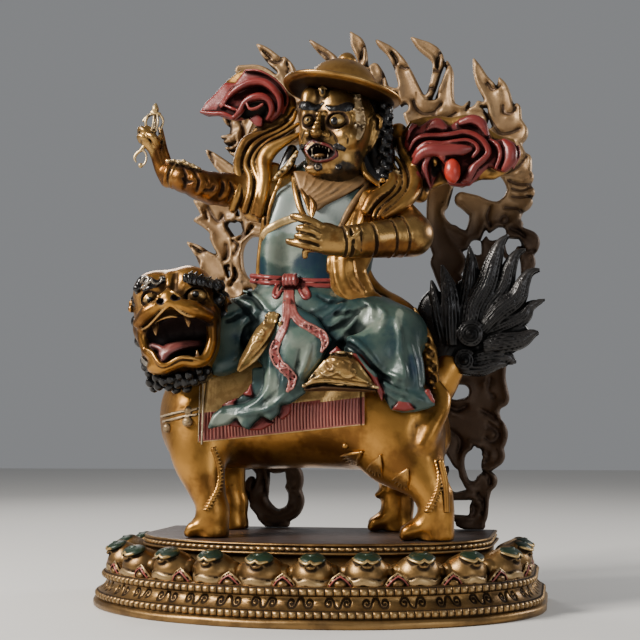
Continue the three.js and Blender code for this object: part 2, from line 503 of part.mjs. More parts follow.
function riderRobes() {
  const torso = limb([[3, 0, 164, 30, 21], [3, 0, 169.6, 29.4, 20.4], [3, 0, 170.4, 31.4, 22.4],
    [3, 0, 176, 31, 22],
    [3, 0, 176.8, 28.6, 20], [4, 0, 190, 29, 21], [6, 0, 210, 32, 22], [9, 1, 226, 33, 18],
    [11, 1, 234, 24, 14]], { sides: 10 });
  const bow = [-1, 1].map((side) => limb([[-4 + side * 2, -25, 171.5, 2, 2],
    [-4 + side * 9, -25, 167, 4, 2.4],
    [-4 + side * 12, -24, 163, 2, 2]], { sides: 4 }));
  const knot = ball([-4, -25.5, 171.5], [4, 3.4, 4.4], 6);
  const ribbons = [
    limb([[-5, -27, 166, 3, 1.8], [-9, -33, 150, 3.4, 1.8], [-12, -37, 136, 3.6, 1.8],
      [-5, -40, 121, 3.4, 1.8], [-6, -41, 115, 2, 1.6]], { sides: 4 }),
    limb([[0, -27, 164, 3, 1.8], [4, -32, 150, 3.4, 1.8], [14, -35, 140, 3.4, 1.8],
      [16, -37, 130, 2, 1.6]], { sides: 4 }),
  ];
  const lap = limb([[-43, -15, 150, 13, 14], [-28, -12, 154, 17, 18], [4, -4, 157, 18, 24],
    [34, -10, 152, 16, 20],
    [53, -19, 144, 13, 15]], { sides: 8 });
  const nearShin = limb([[-44, -18, 152, 13, 12], [-44, -26, 142, 13, 9], [-34, -32, 128, 11, 6]],
    { sides: 8 });
  const nearBoot = join(
    limb([[-15, -34, 152, 5, 6], [-21, -38, 141, 8, 6], [-29, -41, 130, 5.5, 5], [-32, -41, 127, 3, 3]],
      { sides: 8 }),
    limb([[-12, -35, 151, 4, 4], [-19, -37, 155, 3, 4]], { sides: 4 }));
  const farShin = limb([[53, -19, 143, 13, 14], [50, -30, 136, 13, 10], [36, -36, 132, 12, 8]], { sides: 8 });
  const farBoot = join(
    limb([[25, -38, 134, 9, 6], [25, -42, 126, 14, 6.5], [24, -44, 118, 18.5, 6.5]], { sides: 8 }),
    limb([[7, -44, 116.4, 3, 5.4], [24, -46, 114.4, 3, 6], [42, -44, 116.4, 3, 5.4]], { sides: 6 }));
  // The front of the skirt falls over the near flank to a ruffled hem
  const apron = [
    limb([[4, -24, 158, 26, 8], [-4, -31, 140, 25, 7], [-14, -35, 122, 22, 5], [-32, -37, 106, 18, 4],
      [-44, -38, 100, 10, 3.4]], { sides: 8 }),
    limb([[16, -26, 150, 12, 7], [10, -34, 132, 12, 5], [-4, -37, 112, 12, 4], [-12, -38, 102, 8, 3]],
      { sides: 6 }),
  ];
  const hemRuffles = [0, 1, 2, 3].map((step) => limb([[-44 + step * 10, -37, 103 + step * 1.2, 3.6, 3.4],
    [-47 + step * 10, -38.5, 94.5 + step * 1.8, 4.6, 3.2]], { sides: 4 }));
  const sideFlap = limb([[54, -18, 143, 12, 12], [57, -27, 132, 12, 8], [58, -32, 117, 11, 5],
    [61, -34, 109, 8, 3.4]], { sides: 8 });
  const folds = [
    limb([[-8, -27, 160, 2, 2.6], [-20, -30, 156, 2, 2.6], [-34, -31, 150, 1.6, 2.2]], { sides: 4 }),
    limb([[28, -28, 158, 2, 2.6], [38, -30, 150, 2, 2.6], [50, -34, 142, 1.6, 2.2]], { sides: 4 }),
  ];
  // The gold coat hangs open, and lies over the lion's back behind the rider
  const coatBack = limb([[6, 8, 228, 35, 14], [4, 10, 200, 34, 15], [4, 12, 176, 36, 15],
    [10, 16, 156, 46, 15], [14, 17, 140, 50, 13],
    [16, 17, 124, 50, 13]], { sides: 8 });
  const coatEdges = [
    limb([[-18, -16, 224, 4, 4], [-25, -19, 205, 4, 4], [-28, -16, 186, 3.6, 4], [-31, -10, 168, 4, 4]],
      { sides: 4 }),
    limb([[33, -15, 222, 4, 4], [32, -20, 202, 4, 4], [33, -19, 184, 4, 4], [35, -18, 168, 5, 4],
      [47, -12, 160, 6, 4], [58, -11, 149, 6, 4],
      [65, -12, 138, 5, 4], [66, -16, 124, 4, 4], [66, -22, 112, 3, 3]], { sides: 4 }),
  ];
  const collar = [
    limb([[2, -14, 236, 3, 2.6], [4, -21, 222, 3, 2.4], [12, -23, 212, 2.6, 2.2]], { sides: 4 }),
    limb([[26, -13, 234, 3, 2.6], [20, -20, 222, 3, 2.4], [10, -23.5, 211, 2.6, 2.2]], { sides: 4 }),
  ];
  const strap = limb([[-27, -14, 199, 2.6, 1.6], [-14, -22, 206, 2.6, 1.6], [2, -23.5, 210, 2.6, 1.6]],
    { sides: 4, facing: [0, -1, 0] });
  return join(torso, bow, knot, ribbons, lap, nearShin, nearBoot, farShin, farBoot, apron, hemRuffles,
    sideFlap, folds,
    coatBack, coatEdges, collar, strap);
}

// Hand implement

function vajra(clearance = 0) {
  const axis = new THREE.Vector3(-90, -27, 259);
  const prongs = [0, 1].map((prong) => {
    const angle = Math.PI * prong + 0.3;
    const side = [Math.cos(angle), Math.sin(angle)];
    const at = (out, up) => [axis.x + side[0] * out, axis.y + side[1] * out, axis.z + up, 1.5 + clearance];
    return limb([at(0, -3), at(6, 2), at(6, 9), at(0.5, 14)], { sides: 4, facing: [-side[1], side[0], 0] });
  });
  const shaft = limb([[axis.x - 2, axis.y, axis.z - 25, 1.4 + clearance],
    [axis.x, axis.y, axis.z, 1.4 + clearance],
    [axis.x + 1, axis.y, axis.z + 16, 1.2 + clearance]], { sides: 6 });
  const lowerHooks = [-1, 1].map((side) => limb([[axis.x - 2, axis.y, axis.z - 25, 1.6 + clearance],
    [axis.x - 2 + side * 5, axis.y, axis.z - 26, 1.5 + clearance],
      [axis.x - 2 + side * 7, axis.y, axis.z - 22, 1 + clearance]], { sides: 4 }));
  return join(prongs, shaft, lowerHooks);
}

// Assembly

const statue = new THREE.Group();

function addPiece(name, solid, color, roughness, metalness) {
  const material = new THREE.MeshStandardMaterial({ color, roughness, metalness });
  const mesh = new THREE.Mesh(geometryOf(solid), material);
  mesh.name = name;
  statue.add(mesh);
}

const lionSolid = snowLion();
const vajraSolid = vajra();
const riderWhole = join(riderRobes(), riderHead(), hat(), riderArms(), riderScarf());

addPiece('lotus_plinth', lotusPlinth(), DARK_BRONZE, 0.45, 0.9);
addPiece('snow_lion', lionSolid, GOLD, 0.4, 0.9);
addPiece('rider', riderWhole.subtract(join(lionMasses(GAP), lionHeadMasses(GAP))).subtract(vajra(GAP)),
  TEAL, 0.5, 0.5);
addPiece('flame_aureole', flameAureole(), PALE_GOLD, 0.55, 0.8);
addPiece('vajra', vajraSolid, GOLD, 0.4, 0.9);

export default statue;
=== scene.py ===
"""Gilt and painted statue: a wrathful rider on a snow lion, before a flame aureole, on a lotus plinth.

The sculpture is modelled as clay: signed distances on a grid, to which rounded limbs, balls, ribs and
curls are added and from which grooves are cut. Only the plinth's mouldings, the hat and the saddlecloth
are nets of points. Sizes are millimetres in the frame of the part: +Z up,
the front faces -Y and +X is to the viewer's right. Meshes are scaled to metres when they are made.
"""
import math

import bpy
import numpy as np
import openvdb
from mathutils import Euler, Matrix, Vector


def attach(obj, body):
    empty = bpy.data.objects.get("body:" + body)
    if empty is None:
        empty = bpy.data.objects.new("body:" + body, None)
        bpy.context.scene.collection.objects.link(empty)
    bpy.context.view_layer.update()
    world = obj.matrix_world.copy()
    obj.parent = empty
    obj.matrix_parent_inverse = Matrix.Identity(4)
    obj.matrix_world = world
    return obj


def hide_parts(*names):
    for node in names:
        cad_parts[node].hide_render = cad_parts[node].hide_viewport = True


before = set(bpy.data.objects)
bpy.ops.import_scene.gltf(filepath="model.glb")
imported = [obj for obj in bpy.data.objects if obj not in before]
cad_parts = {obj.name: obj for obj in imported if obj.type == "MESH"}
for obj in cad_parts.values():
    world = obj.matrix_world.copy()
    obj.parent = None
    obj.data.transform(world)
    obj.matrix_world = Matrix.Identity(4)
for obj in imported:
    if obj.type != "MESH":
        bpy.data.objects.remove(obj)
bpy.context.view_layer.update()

MM = 0.001
FAR = 12.0  # distance given to cells far from the clay
PLINTH_HALF_WIDTH = 124.0
PLINTH_HALF_DEPTH = 83.0
PLINTH_BACK = 45.0
PLINTH_TOP = 37.6
PETALS = 14
GAP = 0.3
LIGHT_MESH = 40000  # triangles that a piece may have before it is thinned
DENSE_SHARE = 0.28  # share of the triangles past that number that are kept
EYE = np.array([133.06, -626.01, 93.5])  # where the camera stands; details are laid on as seen from here


# Curves

def unit(vector):
    """The vector at length one."""
    vector = np.asarray(vector, float)
    return vector / max(1e-9, np.linalg.norm(vector))


def smooth_path(stations, per_span):
    """Resamples rows of numbers along a smooth curve through them."""
    rows = np.asarray(stations, float)
    if len(rows) == 2:
        mix = np.linspace(0, 1, per_span + 1)[:, None]
        return rows[0] * (1 - mix) + rows[1] * mix
    padded = np.vstack([2 * rows[0] - rows[1], rows, 2 * rows[-1] - rows[-2]])
    result = []
    for before, start, end, after in zip(padded, padded[1:], padded[2:], padded[3:]):
        for t in np.arange(per_span) / per_span:
            bend = (2 * before - 5 * start + 4 * end - after) * t**2
            curl = (3 * start - before - 3 * end + after) * t**3
            result.append(0.5 * (2 * start + (end - before) * t + bend + curl))
    result.append(rows[-1])
    return np.array(result)


def full_station(station):
    """A station is x, y, z, half width and half depth; a missing depth equals the width."""
    station = list(station)
    return station if len(station) == 5 else station + [station[3]]


def sized(points, wide, deep=None):
    """Gives every point of a line the same half width and half depth."""
    return [(*point[:3], wide, wide if deep is None else deep) for point in points]


def ringed(line, rings, swell):
    """Stations of a gathered sleeve, which swells and shrinks along its line."""
    rows = smooth_path([full_station(s) for s in line], 9)
    place = np.linspace(0, 1, len(rows))
    wave = np.sin(place * rings * 2 * math.pi) * (0.7 + 0.3 * np.sin(place * 17.0))
    rows[:, 3:] += (swell * wave)[:, None]
    return [tuple(row) for row in rows]


def ring(centre, axis, radius, thick, count=22):
    """Stations of a hoop round an axis."""
    axis = unit(axis)
    side = unit(np.cross(axis, (0.1, 1, 0.3)))
    other = np.cross(axis, side)
    turns = np.linspace(0, 2 * math.pi, count + 1)
    return sized([np.asarray(centre) + radius * (side * math.cos(a) + other * math.sin(a)) for a in turns],
        thick)


def arc(centre, radius, start, end, count):
    """Points on an arc in the X-Z plane about a centre; radius may be two numbers, first and last."""
    first, last = (radius, radius) if np.isscalar(radius) else radius
    points = []
    for t in np.linspace(0, 1, count):
        angle = math.radians(start + (end - start) * t)
        reach = first + (last - first) * t
        points.append((centre[0] + reach * math.cos(angle), centre[1], centre[2] + reach * math.sin(angle)))
    return points


def polygon_distance(x, z, corners):
    """Signed distance in the plane to a closed outline, negative inside, for all pairs of x and z."""
    nearest = np.full((len(x), len(z)), 1e9)
    inside = np.zeros((len(x), len(z)), bool)
    px, pz = x[:, None], z[None, :]
    for a, b in zip(corners, np.roll(corners, -1, 0)):
        way = b - a
        t = np.clip(((px - a[0]) * way[0] + (pz - a[1]) * way[1]) / max(1e-9, way @ way), 0, 1)
        nearest = np.minimum(nearest, np.hypot(px - a[0] - way[0] * t, pz - a[1] - way[1] * t))
        if a[1] != b[1]:
            crosses = ((a[1] > pz) != (b[1] > pz)) & (px < a[0] + (pz - a[1]) * way[0] / way[1])
            inside ^= crosses
    return np.where(inside, -nearest, nearest)


def smooth_ring(points, per_span=4):
    """Resamples a closed outline along a smooth curve."""
    rows = np.asarray(points, float)
    wrapped = np.vstack([rows[-2:], rows, rows[:2]])
    return smooth_path(wrapped, per_span)[2 * per_span:-2 * per_span]


def smoothstep(values, low, high):
    """Rises smoothly from 0 at low to 1 at high."""
    t = np.clip((values - low) / (high - low), 0, 1)
    return t * t * (3 - 2 * t)


# Clay

class Clay:
    """Signed distances in millimetres on a grid, with one more grid for each coat of paint."""

    def __init__(self, low, high, step, base=None):
        self.low = np.array(low, float)
        self.step = step
        self.size = [int(math.ceil((b - a) / step)) + 1 for a, b in zip(low, high)]
        self.field = np.full(self.size, FAR, np.float32)
        self.coats = {}
        self.base = base
        self.frame = np.eye(4)

    def window(self, low, high):
        """The cells inside a box, and their coordinates as three open arrays."""
        first = np.maximum(0, np.floor((np.asarray(low) - self.low) / self.step).astype(int))
        last = np.minimum(self.size, np.ceil((np.asarray(high) - self.low) / self.step).astype(int) + 1)
        if (last <= first).any():
            return None
        cells = tuple(slice(a, b) for a, b in zip(first, last))
        axes = [(self.low[i] + self.step * np.arange(first[i], last[i])).astype(np.float32)
            for i in range(3)]
        return cells, (axes[0][:, None, None], axes[1][None, :, None], axes[2][None, None, :])

    def coat(self, cells, distance, paint):
        """Lays paint where its distance is the nearest so far."""
        if paint not in self.coats:
            self.coats[paint] = np.full(self.size, FAR, np.float32)
        self.coats[paint][cells] = np.minimum(self.coats[paint][cells], distance)

    def press(self, made, blend, paint=None):
        """Adds clay where the distance is negative, with a rounded join of the given size."""
        if not made:
            return
        cells, distance = made
        old = self.field[cells]
        swell = 0.0
        if blend > 0:
            near = np.clip(1 - np.abs(old - distance) / blend, 0, None) * (np.maximum(old, distance) < FAR)
            swell = near * near * (blend * 0.25)
        self.field[cells] = np.minimum(old, distance) - swell
        if paint or self.base:
            self.coat(cells, distance if paint else distance - swell, paint or self.base)

    def scrape(self, made, blend, paint=None):
        """Removes clay where the distance is negative, and may paint what is bared."""
        if not made:
            return
        cells, distance = made
        old = self.field[cells]
        near = np.clip(1 - np.abs(old + distance) / max(blend, 1e-6), 0, None) * (distance < FAR)
        self.field[cells] = np.maximum(old, -distance) + near * near * (blend * 0.25)
        if paint:
            for other in self.coats.values():
                other[cells] = np.maximum(other[cells], -distance)
            self.coat(cells, np.maximum(np.abs(distance) - 0.9, old - 0.6), paint)

    def stain(self, made, paint):
        """Paints what lies inside without changing the shape."""
        if made:
            self.coat(made[0], made[1], paint)

    def moved(self, points):
        """Points in the frame of the grid, from the frame that is being worked in."""
        return np.asarray(points, float) @ self.frame[:3, :3].T + self.frame[:3, 3]

    def shape_limb(self, stations, facing=(0, -1, 0), per_span=5, margin=2.0):
        """The distance to a rounded limb through the stations, in the window that holds it."""
        rows = smooth_path([full_station(s) for s in stations], per_span)
        rows[:, :3] = self.moved(rows[:, :3])
        rows[:, 3:] = np.maximum(rows[:, 3:], 0.15)
        margin += 2 * self.step
        reach = rows[:, 3:].max() + margin
        found = self.window(rows[:, :3].min(0) - reach, rows[:, :3].max(0) + reach)
        if found is None:
            return None
        cells, _ = found
        distance = np.full([s.stop - s.start for s in cells], FAR, np.float32)
        origin = [s.start for s in cells]
        front = unit(self.frame[:3, :3] @ np.asarray(facing, float))
        for start, end in zip(rows, rows[1:]):
            reach = max(start[3:].max(), end[3:].max()) + margin
            part = self.window(np.minimum(start[:3], end[:3]) - reach,
                np.maximum(start[:3], end[:3]) + reach)
            if part is None:
                continue
            part_cells, (x, y, z) = part
            along = end[:3] - start[:3]
            length = max(1e-6, np.linalg.norm(along))
            along = along / length
            depth = unit(front - along * front.dot(along))
            across = np.cross(depth, along)
            dx, dy, dz = x - start[0], y - start[1], z - start[2]
            travel = dx * along[0] + dy * along[1] + dz * along[2]
            t = np.clip(travel / length, 0, 1)
            wide = start[3] + (end[3] - start[3]) * t
            deep = start[4] + (end[4] - start[4]) * t
            beyond = travel - t * length
            u = dx * across[0] + dy * across[1] + dz * across[2]
            w = dx * depth[0] + dy * depth[1] + dz * depth[2]
            thin = np.minimum(wide, deep)
            near = np.sqrt((u / wide) ** 2 + (w / deep) ** 2 + (beyond / thin) ** 2) + 1e-6
            slope = np.sqrt((u / wide**2) ** 2 + (w / deep**2) ** 2 + (beyond / thin**2) ** 2) + 1e-6
            inner = tuple(slice(s.start - o, s.stop - o) for s, o in zip(part_cells, origin))
            distance[inner] = np.minimum(distance[inner], near * (near - 1) / slope)
        return cells, distance

    def shape_ball(self, centre, radii, turn=(0, 0, 0), margin=2.0):
        """The distance to an ellipsoid, in the window that holds it."""
        radii = np.array([radii] * 3 if np.isscalar(radii) else radii, float)
        centre = self.moved([centre[:3]])[0]
        reach = radii.max() + margin + 2 * self.step
        found = self.window(centre - reach, centre + reach)
        if found is None:
            return None
        cells, (x, y, z) = found
        back = (self.frame[:3, :3] @ np.array(Euler(turn).to_matrix())).T
        dx, dy, dz = x - centre[0], y - centre[1], z - centre[2]
        local = [back[i, 0] * dx + back[i, 1] * dy + back[i, 2] * dz for i in range(3)]
        near = np.sqrt(sum((local[i] / radii[i]) ** 2 for i in range(3))) + 1e-6
        slope = np.sqrt(sum((local[i] / radii[i] ** 2) ** 2 for i in range(3))) + 1e-6
        return cells, near * (near - 1) / slope

    def shape_sheet(self, outline, half_thick, bulge=0.0, margin=2.0, smooth=False):
        """The distance to a slab seen from the front, on the plane that fits its corners best."""
        corners = np.array([corner[:3] for corner in outline], float)
        terms = np.column_stack([np.ones(len(corners)), corners[:, 0], corners[:, 2]])
        fit = np.linalg.lstsq(terms, corners[:, 1], rcond=None)[0]
        reach = half_thick + bulge + margin + 2 * self.step
        found = self.window(corners.min(0) - reach, corners.max(0) + reach)
        if found is None:
            return None
        cells, (x, y, z) = found
        outline = smooth_ring(corners) if smooth else corners
        flat = polygon_distance(x[:, 0, 0], z[0, 0, :], outline[:, [0, 2]]).astype(np.float32)[:, None, :]
        swell = bulge * smoothstep(-flat, 0, max(1.0, -flat.min()))
        offset = y - (fit[0] + fit[1] * x + fit[2] * z) + swell * 0.5
        round_edge = half_thick * 0.85
        a, b = flat + round_edge, np.abs(offset) - half_thick - swell * 0.5 + round_edge
        outside = np.hypot(np.maximum(a, 0), np.maximum(b, 0))
        return cells, (np.minimum(np.maximum(a, b), 0) + outside - round_edge).astype(np.float32)

    def sheet(self, outline, half_thick, blend=1.0, paint=None, bulge=0.0, smooth=False):
        """Adds a slab of cloth with the given outline."""
        self.press(self.shape_sheet(outline, half_thick, bulge, blend, smooth), blend, paint)

    def on_surface(self, rows, lift=0.0, reach=50.0):
        """Moves rows along the line of sight until they lie on the clay, then a little towards the eye."""
        rows = np.array(rows, float)
        ways = rows[:, :3] - EYE
        ways /= np.linalg.norm(ways, axis=1, keepdims=True)
        steps = np.arange(-reach, reach, 0.4)
        places = rows[:, None, :3] + steps[None, :, None] * ways[:, None, :]
        depth = self.sample(self.field, places.reshape(-1, 3)).reshape(len(rows), len(steps))
        hit = depth < 0
        first = np.argmax(hit, axis=1)
        for index in np.nonzero(hit.any(axis=1))[0]:
            rows[index, :3] = places[index, first[index]] - ways[index] * lift
        return [tuple(row) for row in rows]

    def settle(self, stations, lift=0.0, per_span=4):
        """Stations of a smooth line, laid on the clay."""
        return self.on_surface(smooth_path([full_station(s) for s in stations], per_span), lift)

    def spot(self, point, lift=0.0):
        """One place, laid on the clay."""
        return np.array(self.on_surface([point], lift)[0][:3])

    def fold(self, stations, blend=1.5, paint=None, on=None, lift=0.0):
        """Lays a ridge on the clay along a line seen from the front."""
        self.limb((on or self).settle(stations, lift), blend, paint, per_span=1)

    def stud(self, point, radii, blend=0.5, paint=None, lift=0.0):
        """Sets a ball on the clay at a place seen from the front."""
        self.ball(self.spot(point, lift), radii, blend=blend, paint=paint)

    def crease(self, stations, blend=1.0, paint=None):
        """Cuts a furrow along a line seen from the front."""
        self.groove(self.settle(stations), blend, paint, per_span=1)

    def limb(self, stations, blend=1.0, paint=None, facing=(0, -1, 0), per_span=5):
        """Adds a rounded limb through stations of x, y, z, half width and half depth."""
        self.press(self.shape_limb(stations, facing, per_span, blend), blend, paint)

    def groove(self, stations, blend=0.4, paint=None, facing=(0, -1, 0), per_span=5):
        """Cuts a groove with the section of a limb."""
        self.scrape(self.shape_limb(stations, facing, per_span, blend), blend, paint)

    def ball(self, centre, radii, turn=(0, 0, 0), blend=1.0, paint=None):
        self.press(self.shape_ball(centre, radii, turn, blend), blend, paint)

    def dent(self, centre, radii, turn=(0, 0, 0), blend=0.5, paint=None):
        self.scrape(self.shape_ball(centre, radii, turn, blend), blend, paint)

    def strands(self, stations, count, blend=0.3, paint=None, arch=0.6, fill=1.15, facing=(0, -1, 0),
            per_span=5):
        """Adds a lock of parallel strands that run together at its tip; the middle ones stand forward."""
        rows = smooth_path([full_station(s) for s in stations], per_span)
        along = np.gradient(rows[:, :3], axis=0)
        front = np.asarray(facing, float)
        for strand in range(count):
            share = 0 if count == 1 else 2 * strand / (count - 1) - 1
            line = []
            for row, way in zip(rows, along):
                way = unit(way)
                depth = unit(front - way * front.dot(way))
                across = np.cross(depth, way)
                inset = row[3] * (1 - 1 / count)
                place = row[:3] + across * inset * share + depth * row[4] * arch * (1 - share * share)
                radius = row[3] / count * fill
                line.append((*place, radius, max(radius, row[4] * 0.55)))
            self.limb(line, blend, paint, facing, per_span=1)

    def keep_above(self, height):
        """Cuts the clay off flat below a height."""
        z = (self.low[2] + self.step * np.arange(self.size[2])).astype(np.float32)
        self.field = np.maximum(self.field, (height - z)[None, None, :])

    def sample(self, grid, points):
        """Reads a grid at points by weighting the eight cells round each."""
        place = np.clip((points - self.low) / self.step, 0, np.array(self.size) - 1.001)
        base = place.astype(int)
        part = place - base
        total = np.zeros(len(points))
        for corner in range(8):
            shift = np.array([corner >> 2 & 1, corner >> 1 & 1, corner & 1])
            weight = np.prod(np.where(shift, part, 1 - part), axis=1)
            index = base + shift
            total += weight * grid[index[:, 0], index[:, 1], index[:, 2]]
        return total

    def mesh(self, name, adaptivity=0.0, soften=0.0):
        """Turns the clay into a smooth mesh object with its paint and hollow attributes."""
        field = self.field
        if soften:
            for axis in range(3):
                inner = [slice(None)] * 3
                inner[axis] = slice(1, -1)
                inner = tuple(inner)
                shifted = np.roll(field, 1, axis) + np.roll(field, -1, axis)
                blurred = field.copy()
                blurred[inner] = (field * (1 - soften) + shifted * (soften / 2))[inner]
                field = blurred
        for axis in range(3):
            for end in (0, -1):
                edge = [slice(None)] * 3
                edge[axis] = end
                field[tuple(edge)] = np.maximum(field[tuple(edge)], 0.5)
        grid = openvdb.FloatGrid(FAR)
        grid.copyFromArray(np.ascontiguousarray(field, dtype=np.float32))
        points, triangles, quads = grid.convertToPolygons(isovalue=0.0, adaptivity=adaptivity)
        points = points * self.step + self.low
        thing = mesh_object(name, points, triangles, quads)
        normals = np.zeros(len(points) * 3)
        thing.data.vertex_normals.foreach_get("vector", normals)
        normals = normals.reshape(-1, 3)
        # Hollow, shade and deep tell how closed in each point is at three reaches; the material darkens
        # such places with grime and with painted shade
        for attribute, reach in (("hollow", 1.3), ("shade", 3.4), ("deep", 9.0)):
            outside = self.sample(field, points + normals * reach)
            set_attribute(thing, attribute, np.clip(1 - outside / reach, 0, 1))
        inside = self.sample(field, points - normals * 1.2)
        set_attribute(thing, "edge", np.clip(1 + inside / 1.2, 0, 1))
        for paint, coat in self.coats.items():
            others = [self.sample(other, points) for key, other in self.coats.items() if key != paint]
            rest = np.min(others, axis=0) if others else np.full(len(points), 0.8)
            set_attribute(thing, "paint_" + paint, np.clip(rest - self.sample(coat, points), -FAR, FAR))
        return thing


# Meshes

def mesh_object(name, points, triangles, quads):
    """Makes a smooth mesh object from millimetre points and faces, with its faces outward."""
    triangles = np.asarray(triangles, np.int32).reshape(-1, 3)
    quads = np.asarray(quads, np.int32).reshape(-1, 4)
    parts = [(triangles, 0, 1, 2), (quads, 0, 1, 2), (quads, 0, 2, 3)]
    volume = sum(np.einsum("ij,ij->i", points[faces[:, a]], np.cross(points[faces[:, b]],
        points[faces[:, c]])).sum() for faces, a, b, c in parts)
    if volume < 0:
        triangles, quads = triangles[:, ::-1], quads[:, ::-1]
    loops = np.concatenate([triangles.ravel(), quads.ravel()])
    starts = np.concatenate([np.arange(len(triangles)) * 3, len(triangles) * 3 + np.arange(len(quads)) * 4])
    mesh = bpy.data.meshes.new(name)
    mesh.vertices.add(len(points))
    mesh.vertices.foreach_set("co", (np.asarray(points) * MM).astype(np.float32).ravel())
    mesh.loops.add(len(loops))
    mesh.loops.foreach_set("vertex_index", loops.astype(np.int32))
    mesh.polygons.add(len(starts))
    mesh.polygons.foreach_set("loop_start", starts.astype(np.int32))
    mesh.update(calc_edges=True)
    mesh.validate()
    mesh.shade_smooth()
    thing = bpy.data.objects.new(name, mesh)
    bpy.context.scene.collection.objects.link(thing)
    return thing


def vertex_points(thing):
    """The points of a mesh in millimetres."""
    points = np.zeros(len(thing.data.vertices) * 3)
    thing.data.vertices.foreach_get("co", points)
    return points.reshape(-1, 3) / MM


def tint(thing, name, *patches):
    """Marks soft patches, each a centre and three radii, that take another colour; some are painted sheen
    or painted shade.
    """
    points = vertex_points(thing)
    share = np.zeros(len(points))
    for centre, radii in patches:
        near = np.sqrt((((points - centre) / radii) ** 2).sum(1))
        share = np.maximum(share, smoothstep(near, 1.35, 0.55))
    set_attribute(thing, "tint_" + name, share)


def set_attribute(thing, name, values):
    """Stores one number for each point of a mesh."""
    attribute = thing.data.attributes.new(name, "FLOAT", "POINT")
    attribute.data.foreach_set("value", np.asarray(values, np.float32).ravel())


def thin(thing):
    """Merges the flattest faces of a dense mesh; its attributes stay with the points that are left."""
    dense = thing.data
    dense.calc_loop_triangles()
    count = len(dense.loop_triangles)
    if count <= LIGHT_MESH:
        return
    modifier = thing.modifiers.new("thin", "DECIMATE")
    modifier.ratio = (LIGHT_MESH + DENSE_SHARE * (count - LIGHT_MESH)) / count
    bpy.context.view_layer.update()
    view = bpy.context.evaluated_depsgraph_get()
    thing.data = bpy.data.meshes.new_from_object(thing.evaluated_get(view), preserve_all_data_layers=True,
        depsgraph=view)
    thing.modifiers.clear()
    thing.data.name = thing.name
    bpy.data.meshes.remove(dense)


def finish_piece(thing, material, node):
    """Gives a piece its material and its place in the frame."""
    thin(thing)
    thing.data.materials.clear()
    thing.data.materials.append(material)
    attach(thing, "root")
    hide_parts(node)
    return thing


class Patchwork:
    """Collects closed surfaces with their attributes into one mesh."""

    def __init__(self):
        self.points, self.quads, self.triangles, self.values = [], [], [], {}
        self.count = 0

    def add(self, points, quads, triangles, values):
        self.points.append(points)
        self.quads.append(np.asarray(quads, int).reshape(-1, 4) + self.count)
        self.triangles.append(np.asarray(triangles, int).reshape(-1, 3) + self.count)
        for key in set(self.values) | set(values):
            if key not in self.values:
                self.values[key] = [np.zeros(self.count)]
            value = np.asarray(values.get(key, 0.0), float).reshape(-1)
            self.values[key].append(np.broadcast_to(value, (len(points),)))
        self.count += len(points)

    def grid(self, points, wrap_rows=False, wrap_columns=False, **values):
        """Adds a rectangular net of points."""
        rows, columns = points.shape[:2]
        index = np.arange(rows * columns).reshape(rows, columns)
        here = index if wrap_rows else index[:-1]
        down = np.roll(index, -1, 0) if wrap_rows else index[1:]
        if wrap_columns:
            net = [here, np.roll(here, -1, 1), np.roll(down, -1, 1), down]
        else:
            net = [here[:, :-1], here[:, 1:], down[:, 1:], down[:, :-1]]
        self.add(points.reshape(-1, 3), np.stack(net, -1), [], values)

    def build(self, name):
        points = np.concatenate(self.points)
        thing = mesh_object(name, points, np.concatenate(self.triangles), np.concatenate(self.quads))
        for key, parts in self.values.items():
            set_attribute(thing, key, np.concatenate(parts))
        return thing


# Materials

